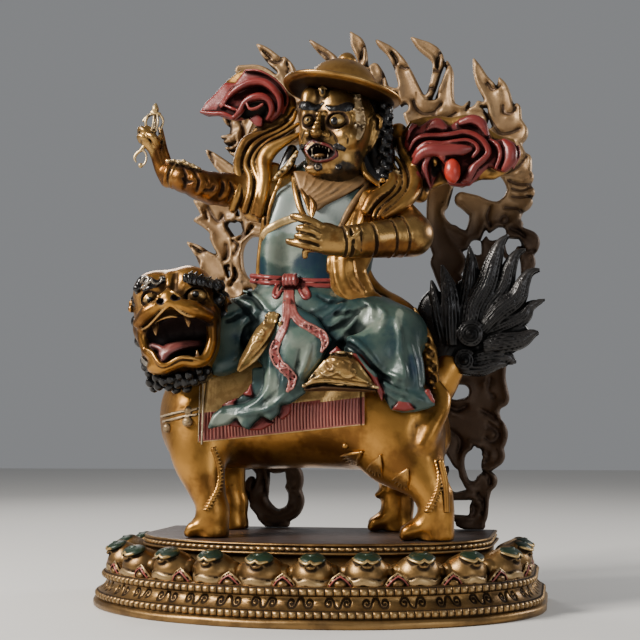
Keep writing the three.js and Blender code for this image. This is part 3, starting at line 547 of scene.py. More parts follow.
class Shader:
    """A short way to wire the nodes of one material."""

    def __init__(self, name):
        self.material = bpy.data.materials.new(name)
        self.material.use_nodes = True
        self.tree = self.material.node_tree
        self.tree.nodes.clear()
        self.output = self.tree.nodes.new("ShaderNodeOutputMaterial")
        self.surface = self.tree.nodes.new("ShaderNodeBsdfPrincipled")
        self.tree.links.new(self.surface.outputs[0], self.output.inputs[0])
        self.place = self.tree.nodes.new("ShaderNodeTexCoord").outputs["Object"]

    def put(self, socket, value):
        if isinstance(value, bpy.types.NodeSocket):
            self.tree.links.new(value, socket)
        elif isinstance(value, tuple) and len(value) == 3 and socket.type == "RGBA":
            socket.default_value = (*value, 1)
        else:
            socket.default_value = value

    def value_of(self, attribute):
        """The value of a mesh attribute."""
        node = self.tree.nodes.new("ShaderNodeAttribute")
        node.attribute_name = attribute
        return node.outputs["Fac"]

    def math(self, operation, a, b=0.0, clamp=False):
        node = self.tree.nodes.new("ShaderNodeMath")
        node.operation = operation
        node.use_clamp = clamp
        self.put(node.inputs[0], a)
        self.put(node.inputs[1], b)
        return node.outputs[0]

    def ramp(self, value, low, high, to_low=0.0, to_high=1.0):
        """A smooth ramp between two values."""
        node = self.tree.nodes.new("ShaderNodeMapRange")
        node.interpolation_type = "SMOOTHSTEP"
        for index, part in enumerate((value, low, high, to_low, to_high)):
            self.put(node.inputs[index], part)
        return node.outputs[0]

    def noise(self, scale, detail=3.0, rough=0.6, stretch=None):
        """Noise in the space of the piece."""
        node = self.tree.nodes.new("ShaderNodeTexNoise")
        node.inputs["Scale"].default_value = scale
        node.inputs["Detail"].default_value = detail
        node.inputs["Roughness"].default_value = rough
        place = self.place
        if stretch:
            mapping = self.tree.nodes.new("ShaderNodeMapping")
            mapping.inputs["Scale"].default_value = stretch
            self.tree.links.new(place, mapping.inputs["Vector"])
            place = mapping.outputs[0]
        self.tree.links.new(place, node.inputs["Vector"])
        return node.outputs["Fac"]

    def mix(self, factor, a, b):
        """A mix of two colours."""
        node = self.tree.nodes.new("ShaderNodeMix")
        node.data_type = "RGBA"
        self.put(node.inputs[0], factor)
        self.put(node.inputs[6], a)
        self.put(node.inputs[7], b)
        return node.outputs[2]

    def blend(self, factor, a, b):
        """A mix of two numbers."""
        node = self.tree.nodes.new("ShaderNodeMix")
        self.put(node.inputs[0], factor)
        self.put(node.inputs[2], a)
        self.put(node.inputs[3], b)
        return node.outputs[0]

    def bump(self, height, strength, distance):
        node = self.tree.nodes.new("ShaderNodeBump")
        node.inputs["Strength"].default_value = strength
        node.inputs["Distance"].default_value = distance
        self.tree.links.new(height, node.inputs["Height"])
        self.tree.links.new(node.outputs[0], self.surface.inputs["Normal"])


class Finish:
    """How one coat looks: its colour, a second one in blotches, the colour of grime and painted shade in
    its hollows, and its shine.
    """

    def __init__(self, colour, blotch, grime_and_shade, metallic, roughness, rub=None, blotch_size=70.0,
            blotch_share=0.5):
        self.colour, self.blotch, self.grime_and_shade = colour, blotch, grime_and_shade
        self.metallic, self.roughness, self.rub = metallic, roughness, rub or colour
        self.blotch_size, self.blotch_share = blotch_size, blotch_share


RUB_SHARE = 0.42  # how far a rubbed edge takes the colour of wear
GRIME_AND_SHADE_SHARE = 0.92  # how far a hollow or shaded place takes the colour of grime and painted shade
PAINT_EDGE = 0.12  # softness of the line between two paints
# Colour of painted shade where it meets a hollow
SHADE_IN_HOLLOWS = (0.008, 0.005, 0.004)


def make_material(name, base, coats=(), grain=0.25, grime_and_shade_reach=0.55, painted_shade_colour=None, tints=()):
    """A finish for the whole piece, with other finishes where the piece has their paint attribute."""
    shader = Shader(name)
    # Hollow marks small recesses; shade and deep mark wider ones and stand for the shade that falls in them
    hollow = shader.value_of("hollow")
    shade = shader.value_of("shade")
    shade = shader.math("ADD", shade, shader.math("MULTIPLY", shader.value_of("deep"), 0.8))
    edge = shader.value_of("edge")
    fine = shader.noise(900.0, 4.0, 0.7)
    wide = shader.noise(160.0, 5.0, 0.65)
    worn = shader.math("ADD", edge, shader.math("MULTIPLY", shader.math("SUBTRACT", wide, 0.5), 0.7))
    rubbed = shader.ramp(worn, 0.30, 0.95)
    # Grime and painted shade: darker in hollows and in shaded recesses, broken up by noise
    grime_and_shade_amount = shader.math("ADD", hollow, shader.math("MULTIPLY", shade, 0.52))
    grime_and_shade_amount = shader.math("ADD", grime_and_shade_amount, shader.math("MULTIPLY", shader.math("SUBTRACT", wide, 0.5), 0.5))
    grime_and_shade = shader.ramp(grime_and_shade_amount, 0.18, 0.18 + grime_and_shade_reach)

    def look(finish):
        patches = shader.ramp(shader.noise(finish.blotch_size, 4.0, 0.6), 0.42, 0.62, 0.0,
            finish.blotch_share)
        colour = shader.mix(patches, finish.colour, finish.blotch)
        colour = shader.mix(shader.math("MULTIPLY", rubbed, RUB_SHARE), colour, finish.rub)
        return shader.mix(shader.math("MULTIPLY", grime_and_shade, GRIME_AND_SHADE_SHARE), colour, finish.grime_and_shade)

    colour, metallic, roughness = look(base), base.metallic, base.roughness
    for name_of_tint, finish in tints:
        ragged = shader.math("MULTIPLY", shader.math("SUBTRACT", wide, 0.5), 1.1)
        mask = shader.ramp(shader.math("ADD", shader.value_of("tint_" + name_of_tint), ragged), 0.25, 0.75)
        colour = shader.mix(mask, colour, look(finish))
        metallic = shader.blend(mask, metallic, finish.metallic)
        roughness = shader.blend(mask, roughness, finish.roughness)
    for paint, finish in coats:
        mask = shader.ramp(shader.value_of("paint_" + paint), -PAINT_EDGE, PAINT_EDGE)
        colour = shader.mix(mask, colour, look(finish))
        metallic = shader.blend(mask, metallic, finish.metallic)
        roughness = shader.blend(mask, roughness, finish.roughness)
    # Painted shade on the parts of the piece that are marked as shaded
    if painted_shade_colour:
        soot = shader.value_of("soot")
        colour = shader.mix(soot, colour, shader.mix(shader.math("MULTIPLY", grime_and_shade, 0.8), painted_shade_colour,
            SHADE_IN_HOLLOWS))
        roughness = shader.blend(soot, roughness, 0.6)
    shader.put(shader.surface.inputs["Base Color"], colour)
    keep = shader.math("SUBTRACT", 1.0, shader.math("MULTIPLY", grime_and_shade, 0.75))
    shader.put(shader.surface.inputs["Metallic"], shader.math("MULTIPLY", metallic, keep))
    dull = shader.math("SUBTRACT", 0.5, shader.math("MULTIPLY", grime_and_shade, 0.42))
    shader.put(shader.surface.inputs["Specular IOR Level"], dull)
    rough = shader.math("ADD", roughness, shader.math("MULTIPLY", grime_and_shade, 0.25))
    rough = shader.math("ADD", rough, shader.math("MULTIPLY", shader.math("SUBTRACT", wide, 0.5), 0.22))
    shader.put(shader.surface.inputs["Roughness"], shader.math("MAXIMUM", rough, 0.12))
    height = shader.math("ADD", shader.math("MULTIPLY", fine, 0.4), wide)
    shader.bump(height, grain, 0.0006)
    return shader.material


PALE_GOLD = Finish((0.52, 0.36, 0.16), (0.34, 0.21, 0.08), (0.03, 0.017, 0.009), 0.85, 0.36,
    (0.82, 0.66, 0.42))
LION_GOLD = Finish((0.42, 0.205, 0.046), (0.115, 0.046, 0.011), (0.009, 0.004, 0.002), 0.93, 0.32,
    (0.74, 0.48, 0.19), 38.0, 0.85)
PLINTH_GOLD = Finish((0.25, 0.145, 0.052), (0.105, 0.058, 0.024), (0.007, 0.004, 0.003), 0.9, 0.38,
    (0.60, 0.43, 0.22), 60.0, 0.7)
TAN = Finish((0.33, 0.205, 0.098), (0.17, 0.095, 0.042), (0.012, 0.007, 0.004), 0.5, 0.48,
    (0.58, 0.41, 0.25))
RED = Finish((0.17, 0.016, 0.012), (0.09, 0.008, 0.008), (0.010, 0.003, 0.003), 0.1, 0.36,
    (0.42, 0.12, 0.09))
PINK = Finish((0.17, 0.024, 0.021), (0.13, 0.016, 0.015), (0.012, 0.002, 0.002), 0.1, 0.36,
    (0.55, 0.25, 0.20))
BLACK = Finish((0.009, 0.008, 0.008), (0.006, 0.005, 0.005), (0.001, 0.001, 0.001), 0.35, 0.27,
    (0.065, 0.058, 0.054))
GREEN = Finish((0.011, 0.027, 0.013), (0.007, 0.015, 0.008), (0.003, 0.005, 0.003), 0.2, 0.36,
    (0.08, 0.13, 0.07))
TOP_BROWN = Finish((0.060, 0.038, 0.030), (0.038, 0.024, 0.020), (0.008, 0.006, 0.005), 0.3, 0.42,
    (0.14, 0.10, 0.08))
BONE = Finish((0.44, 0.35, 0.24), (0.34, 0.26, 0.16), (0.04, 0.025, 0.015), 0.1, 0.38, (0.65, 0.57, 0.42))


# Lotus plinth

def plan(distance, inset):
    """Places and outward directions round the plinth, at distances from the middle of its front."""
    half_width, half_depth = PLINTH_HALF_WIDTH - inset, PLINTH_HALF_DEPTH - inset
    angles = np.linspace(0, math.pi / 2, 400)
    curve = np.stack([half_width * np.sin(angles), -half_depth * np.cos(angles)], 1)
    steps = np.concatenate([[0], np.cumsum(np.linalg.norm(np.diff(curve, axis=0), axis=1))])
    along = np.abs(distance)
    x = np.interp(along, steps, curve[:, 0])
    y = np.interp(along, steps, curve[:, 1])
    straight = along > steps[-1]
    y = np.where(straight, along - steps[-1], y)
    out = np.stack([x / half_width**2, y / half_depth**2], -1)
    out[straight] = (1, 0)
    out /= np.linalg.norm(out, axis=-1, keepdims=True)
    side = np.where(distance < 0, -1.0, 1.0)
    return x * side, y, out[..., 0] * side, out[..., 1]


def half_length(inset):
    """Half the way round the plinth, from the middle of its front to the end of its side."""
    angles = np.linspace(0, math.pi / 2, 400)
    curve = np.stack([(PLINTH_HALF_WIDTH - inset) * np.sin(angles),
        -(PLINTH_HALF_DEPTH - inset) * np.cos(angles)], 1)
    return np.linalg.norm(np.diff(curve, axis=0), axis=1).sum() + PLINTH_BACK


def spiral(centre, radius, start, turns, hand, count=26):
    """Points of a flat spiral that winds inward."""
    points = []
    for t in np.linspace(0, 1, count):
        angle = start + hand * turns * 2 * math.pi * t
        reach = radius * (1 - 0.78 * t)
        points.append((centre[0] + reach * math.cos(angle), centre[1] + reach * math.sin(angle)))
    return points


def line_distance(u, v, points):
    """Distance in the plane to a broken line."""
    nearest = np.full(np.broadcast(u, v).shape, 9.0)
    points = np.asarray(points, float)
    for a, b in zip(points, points[1:]):
        way = b - a
        t = np.clip(((u - a[0]) * way[0] + (v - a[1]) * way[1]) / max(1e-9, way @ way), 0, 1)
        nearest = np.minimum(nearest, np.hypot(u - a[0] - way[0] * t, v - a[1] - way[1] * t))
    return nearest


def scroll_depth(along, height, length):
    """Engraved pairs of scrolls round the hollow band: 1 in the groove, 0 outside."""
    pairs = round(2 * length / 19.0)
    pitch = 2 * length / pairs
    cell = np.mod(along + length, pitch) - pitch / 2
    flip = np.where(np.mod(np.floor((along + length) / pitch), 2) > 0, -1.0, 1.0)
    v = (height - 11.55) * flip
    u = np.abs(cell) - 0.2
    horn = [(0.0, -2.3), (1.0, -1.6), (1.9, 0.4)] + spiral((4.3, 0.0), 2.5, math.pi * 0.95, 1.35, -1)
    near = line_distance(u, v, horn)
    return smoothstep(near, 0.85, 0.3)


def beads(along, length, pitch):
    """A row of beads along the plinth, 1 on each and 0 between them."""
    count = round(2 * length / pitch)
    phase = (along + length) / (2 * length) * count
    return np.abs(np.sin(math.pi * phase)) ** 0.45


def build_plinth_base(material):
    """The moulded foot: lip, bead row, hollow band with scrolls and the upper bead row."""
    columns = 1500
    length = half_length(0)
    along = np.linspace(-length, length, columns)
    profile = [(3, 0), (0.9, 0), (0.2, 0.6), (0, 1.6), (0.1, 2.8), (0.7, 3.8), (1.6, 4.2), (2.5, 4.5)]
    profile += [(2.6 - 1.1 * math.sin(math.pi * t) ** 0.6, 4.6 + 3.9 * t) for t in np.linspace(0, 1, 7)]
    profile += [(3.1, 8.6)]
    profile += [(3.4 + 4.0 * math.sin(math.pi * 0.5 * t) ** 0.8, 8.8 + 5.5 * t)
        for t in np.linspace(0, 1, 17)]
    profile += [(7.2, 14.6)]
    profile += [(6.2 - 1.2 * math.sin(math.pi * t) ** 0.6, 14.8 + 3.9 * t) for t in np.linspace(0, 1, 7)]
    profile += [(6.4, 19.0), (9, 19.4), (14, 19.6), (30, 19.7)]
    rows, hollow, edge, dark = [], [], [], []
    waver = 0.35 * np.sin(along * 0.11) + 0.25 * np.sin(along * 0.043 + 1)
    for inset, height in profile:
        x, y, out_x, out_y = plan(along * half_length(inset) / length, inset)
        push, lift = np.zeros(columns), np.zeros(columns)
        worn, cut = np.zeros(columns), np.zeros(columns)
        # The hollow values, darkened with grime and painted shade, lie between the beads, in the engraved
        # scrolls and towards the edges of the hollow band
        for low, high, pitch in ((4.6, 8.5, 4.1), (14.8, 18.7, 4.35)):
            if low <= height <= high:
                middle = math.sin(math.pi * (height - low) / (high - low)) ** 0.5
                row_beads = beads(along, length, pitch)
                push = (row_beads * 1.5 - 0.9) * middle
                worn = smoothstep(row_beads, 0.75, 1.0) * middle * 0.9
                cut = np.maximum(smoothstep(row_beads, 0.72, 0.3), 1 - middle)
        if 8.8 < height < 14.3:
            groove = scroll_depth(along, height, length)
            push = -0.75 * groove
            cut = np.maximum(groove, 0.35 * abs(height - 11.5) / 2.7)
        if height < 4.3:
            lift = waver * smoothstep(np.float64(height), 0.0, 1.0) * 0.5
            worn = np.full(columns, 0.35 if 1 < height < 3.9 else 0.0)
        rows.append(np.stack([x + out_x * push, y + out_y * push, np.full(columns, height) + lift], -1))
        hollow.append(cut)
        edge.append(worn)
        dark.append(np.zeros(columns))
    body = Patchwork()
    points = np.array(rows)
    body.grid(points, hollow=np.array(hollow).reshape(-1), edge=np.array(edge).reshape(-1))
    # Back wall and underside close the body
    for index in (0, -1):
        row = points[index]
        fan = np.stack([row, np.stack([row[:, 0], np.full(columns, PLINTH_BACK), row[:, 2]], -1)])
        body.grid(fan[::-1] if index == 0 else fan, hollow=0.2)
    left, right = points[:, 0], points[:, -1]
    body.grid(np.stack([right, left], 1)[:, ::-1], hollow=0.3)
    return finish_piece(body.build("plinth_foot"), material, "lotus_plinth")


def petal_clay():
    """One lotus bulb at the origin: +X along the rim, -Y outward, Z up from the underside of the plinth."""
    clay = Clay((-15, -17, 17.5), (15, 9, 36.8), 0.46, "bulb")
    clay.ball((0, 0, 24.8), (11.4, 9.6, 7.4), blend=0)
    clay.ball((0, -3.2, 23.6), (9.6, 8.8, 6.2), blend=3)
    clay.limb([(0, -3, 27, 7.6, 6), (0, -4.6, 30.6, 5.8, 4.4)], 3.5)
    for side in (-1, 1):
        clay.ball((side * 10.2, 0.5, 24.6), (3.4, 5.2, 4.2), blend=0.6)
        clay.ball((side * 11.8, -1.6, 23.2), (1.4, 2.4, 1.9), blend=0.4)
    # Thin curled lip at the foot
    clay.limb([(-9.8, -6.6, 21.9, 0.5, 1.4), (-6.4, -10.4, 20.2, 0.7, 1.8), (-2.4, -12.0, 21.2, 0.6, 1.8),
        (2.6, -11.8, 20.2, 0.7, 1.8), (6.4, -10.0, 19.8, 0.6, 1.8), (9.8, -6.4, 21.4, 0.5, 1.4)], 0.5,
        facing=(0, 0, 1))
    # Small green leaf folded over the top, its gilt edge turned up in front
    clay.ball((0.6, -7.0, 32.0), (6.6, 5.6, 2.2), turn=(0.3, 0.05, 0), blend=0.5, paint="leaf")
    clay.ball((3.0, -5.6, 33.0), (3.4, 3.4, 1.4), turn=(0.2, 0.3, 0), blend=0.4, paint="leaf")
    for side in (-1, 1):
        clay.limb([(0, -12.2, 31.4, 0.55), (side * 1.7, -12.6, 30.2, 0.7), (side * 3.8, -11.4, 30.4, 0.75),
            (side * 5.8, -8.8, 31.2, 0.7), (side * 6.6, -6.0, 32.0, 0.5)], 0.25, "lip")
        clay.limb([(side * 2.0, -11.4, 29.4, 0.7, 0.8), (side * 3.4, -9.0, 28.6, 0.6, 0.8)], 0.6)
    # Painted shade: a dark ball under the tip of the leaf, between its rims
    clay.ball((0, -9.4, 29.6), (2.7, 2.6, 1.9), blend=0.3, paint="dark")
    clay.ball((0, -11.4, 28.2), (2.2, 1.4, 1.0), blend=0.6)
    clay.limb([(-2.2, -7.6, 34.0, 0.4), (0.4, -8.8, 33.9, 0.55), (2.6, -7.4, 34.2, 0.4)], 0.3, "leaf")
    return clay.mesh("petal")


def chevron_clay():
    """The pointed leaf that shows between two bulbs."""
    clay = Clay((-9, -8, 17.5), (9, 6, 29), 0.46, "bulb")
    clay.limb([(0, 0, 19, 5.6, 3.0), (0, -1.0, 21.4, 3.8, 2.4), (0, -1.4, 23.6, 1.0, 1.4)], 0)
    clay.ball((0, -3.0, 20.2), (3.0, 2.4, 2.0), blend=1.0)
    for side in (-1, 1):
        clay.limb([(side * 5.9, -1.8, 19.4, 0.5), (side * 3.4, -3.2, 22.8, 0.65), (0, -3.0, 25.2, 0.6)],
            0.3)
        clay.limb([(side * 5.0, -3.2, 19.2, 0.5), (side * 2.8, -4.2, 21.8, 0.55), (0, -3.8, 23.8, 0.5)],
            0.2, "rim")
    return clay.mesh("chevron")


def repeat_round(name, source, count, offset, inset):
    """Copies a small mesh round the plinth into one mesh."""
    mesh = source.data
    points = np.zeros(len(mesh.vertices) * 3, np.float32)
    mesh.vertices.foreach_get("co", points)
    points = points.reshape(-1, 3) / MM
    sides = np.zeros(len(mesh.polygons), np.int32)
    mesh.polygons.foreach_get("loop_total", sides)
    corners = np.zeros(len(mesh.loops), np.int32)
    mesh.loops.foreach_get("vertex_index", corners)
    firsts = np.concatenate([[0], np.cumsum(sides)[:-1]])
    quads = corners[firsts[sides == 4][:, None] + np.arange(4)]
    triangles = corners[firsts[sides == 3][:, None] + np.arange(3)]
    values = {}
    for attribute in mesh.attributes:
        if attribute.data_type == "FLOAT" and attribute.domain == "POINT":
            read = np.zeros(len(points), np.float32)
            attribute.data.foreach_get("value", read)
            values[attribute.name] = read
    whole = Patchwork()
    length = half_length(inset)
    pitch = 2 * length / count
    for copy in range(count):
        distance = (copy + offset) * pitch - length
        x, y, out_x, out_y = (float(v[0]) for v in plan(np.array([distance]), inset))
        grow = 1 + 0.05 * math.sin(copy * 2.4)
        local = points * (grow, 1, 1)
        across = x - local[:, 1] * out_x - local[:, 0] * out_y
        inward = y - local[:, 1] * out_y + local[:, 0] * out_x
        placed = np.stack([across, inward, local[:, 2] + 0.35 * math.sin(copy * 1.7)], -1)
        placed[:, 1] = np.minimum(placed[:, 1], PLINTH_BACK - 0.05)
        whole.add(placed, quads, triangles, values)
    bpy.data.objects.remove(source)
    return whole.build(name)


def build_plinth_top(material):
    """The throat above the petals and the top, with its bead row."""
    columns = 900
    length = half_length(27)
    along = np.linspace(-length, length, columns)
    # The third number in each row is a hollow value, darkened with grime and painted shade under the
    # overhanging mouldings
    profile = [(24, 19.5, 0.3), (27.5, 22, 0.3), (29.5, 26, 0.3), (29.5, 30, 0.5), (28.6, 31.6, 0.9),
        (27.4, 32.0, 0.2), (26.9, 32.5, 0.0), (27.2, 33.1, 0.3), (28.2, 33.4, 1.0)]
    profile += [(28.6 - 0.6 * math.sin(math.pi * t) ** 0.6, 33.5 + 2.4 * t, 0.0)
        for t in np.linspace(0, 1, 6)]
    profile += [(28.7, 36.1, 0.9), (27.9, 36.5, 0.2), (27.7, 37.0, 0.0), (28.3, 37.5, 0.1),
        (29.6, PLINTH_TOP, 0.5)]
    body = Patchwork()
    rows, hollow, edge, ground = [], [], [], []
    waver = 0.3 * np.sin(along * 0.09) + 0.2 * np.sin(along * 0.031 + 2)
    for inset, height, cut in profile:
        x, y, out_x, out_y = plan(along * half_length(inset) / length, inset)
        push, worn, deep = np.zeros(columns), np.zeros(columns), np.full(columns, cut)
        if 33.45 <= height <= 35.95:
            middle = math.sin(math.pi * (height - 33.5) / 2.4) ** 0.5 if 33.5 < height < 35.9 else 0
            row_beads = beads(along, length, 3.9)
            push = (row_beads * 1.3 - 0.7) * middle
            worn = smoothstep(row_beads, 0.7, 1.0) * middle
            deep = np.maximum(smoothstep(row_beads, 0.62, 0.2), 1 - middle)
        if 36.3 < height < 37.55 or 31.9 < height < 33.2:
            push = waver
            worn = np.full(columns, 0.4)
        rows.append(np.stack([x + out_x * push, y + out_y * push, np.full(columns, height)], -1))
        hollow.append(deep)
        edge.append(worn)
        ground.append(np.full(columns, 1.0 if height > 37.55 else -1.0))
    points = np.array(rows)
    body.grid(points, hollow=np.array(hollow).reshape(-1), edge=np.array(edge).reshape(-1),
        paint_ground=np.array(ground).reshape(-1))
    last = points[-1]
    # The flat top, slightly uneven, in strips from the rim to the back
    shares = np.linspace(0, 1, 26)[:, None]
    end_y = PLINTH_BACK
    strip = np.stack([np.broadcast_to(last[:, 0], (26, columns)),
        last[:, 1] + (end_y - last[:, 1]) * shares, np.full((26, columns), PLINTH_TOP)], -1)
    body.grid(strip, hollow=0.1, paint_ground=1.0)
    first = points[0]
    under = np.stack([first, np.stack([first[:, 0], np.full(columns, end_y), first[:, 2]], -1)])
    body.grid(under[::-1], hollow=0.3, paint_ground=-1.0)
    body.grid(np.stack([points[:, 0], points[:, -1]], 1), hollow=0.3, paint_ground=-1.0)
    return finish_piece(body.build("plinth_top"), material, "lotus_plinth")


# Near black, for painted shade under the leaves and inside the billows
SHADE_BLACK = Finish((0.012, 0.008, 0.006), (0.01, 0.006, 0.005), (0.004, 0.003, 0.002), 0.3, 0.6)
GOLD_LIP = Finish((0.46, 0.31, 0.12), (0.28, 0.17, 0.06), (0.012, 0.007, 0.003), 0.92, 0.36,
    (0.66, 0.48, 0.24))


def build_plinth():
    """The foot, the two rows of the lotus and the top."""
    foot = make_material("foot_gilt", PLINTH_GOLD)
    build_plinth_base(foot)
    lotus = make_material("lotus_gilt", PLINTH_GOLD, [("lip", GOLD_LIP), ("leaf", GREEN), ("dark", SHADE_BLACK)])
    petals = repeat_round("plinth_petals", petal_clay(), PETALS, 0.5, 19.5)
    finish_piece(petals, lotus, "lotus_plinth")
    leaves = make_material("leaf_gilt", PLINTH_GOLD, [("rim", RED)])
    chevrons = repeat_round("plinth_leaves", chevron_clay(), PETALS, 0.0, 11.5)
    finish_piece(chevrons, leaves, "lotus_plinth")
    build_plinth_top(make_material("top_gilt", PLINTH_GOLD, [("ground", TOP_BROWN)]))


# Flame aureole

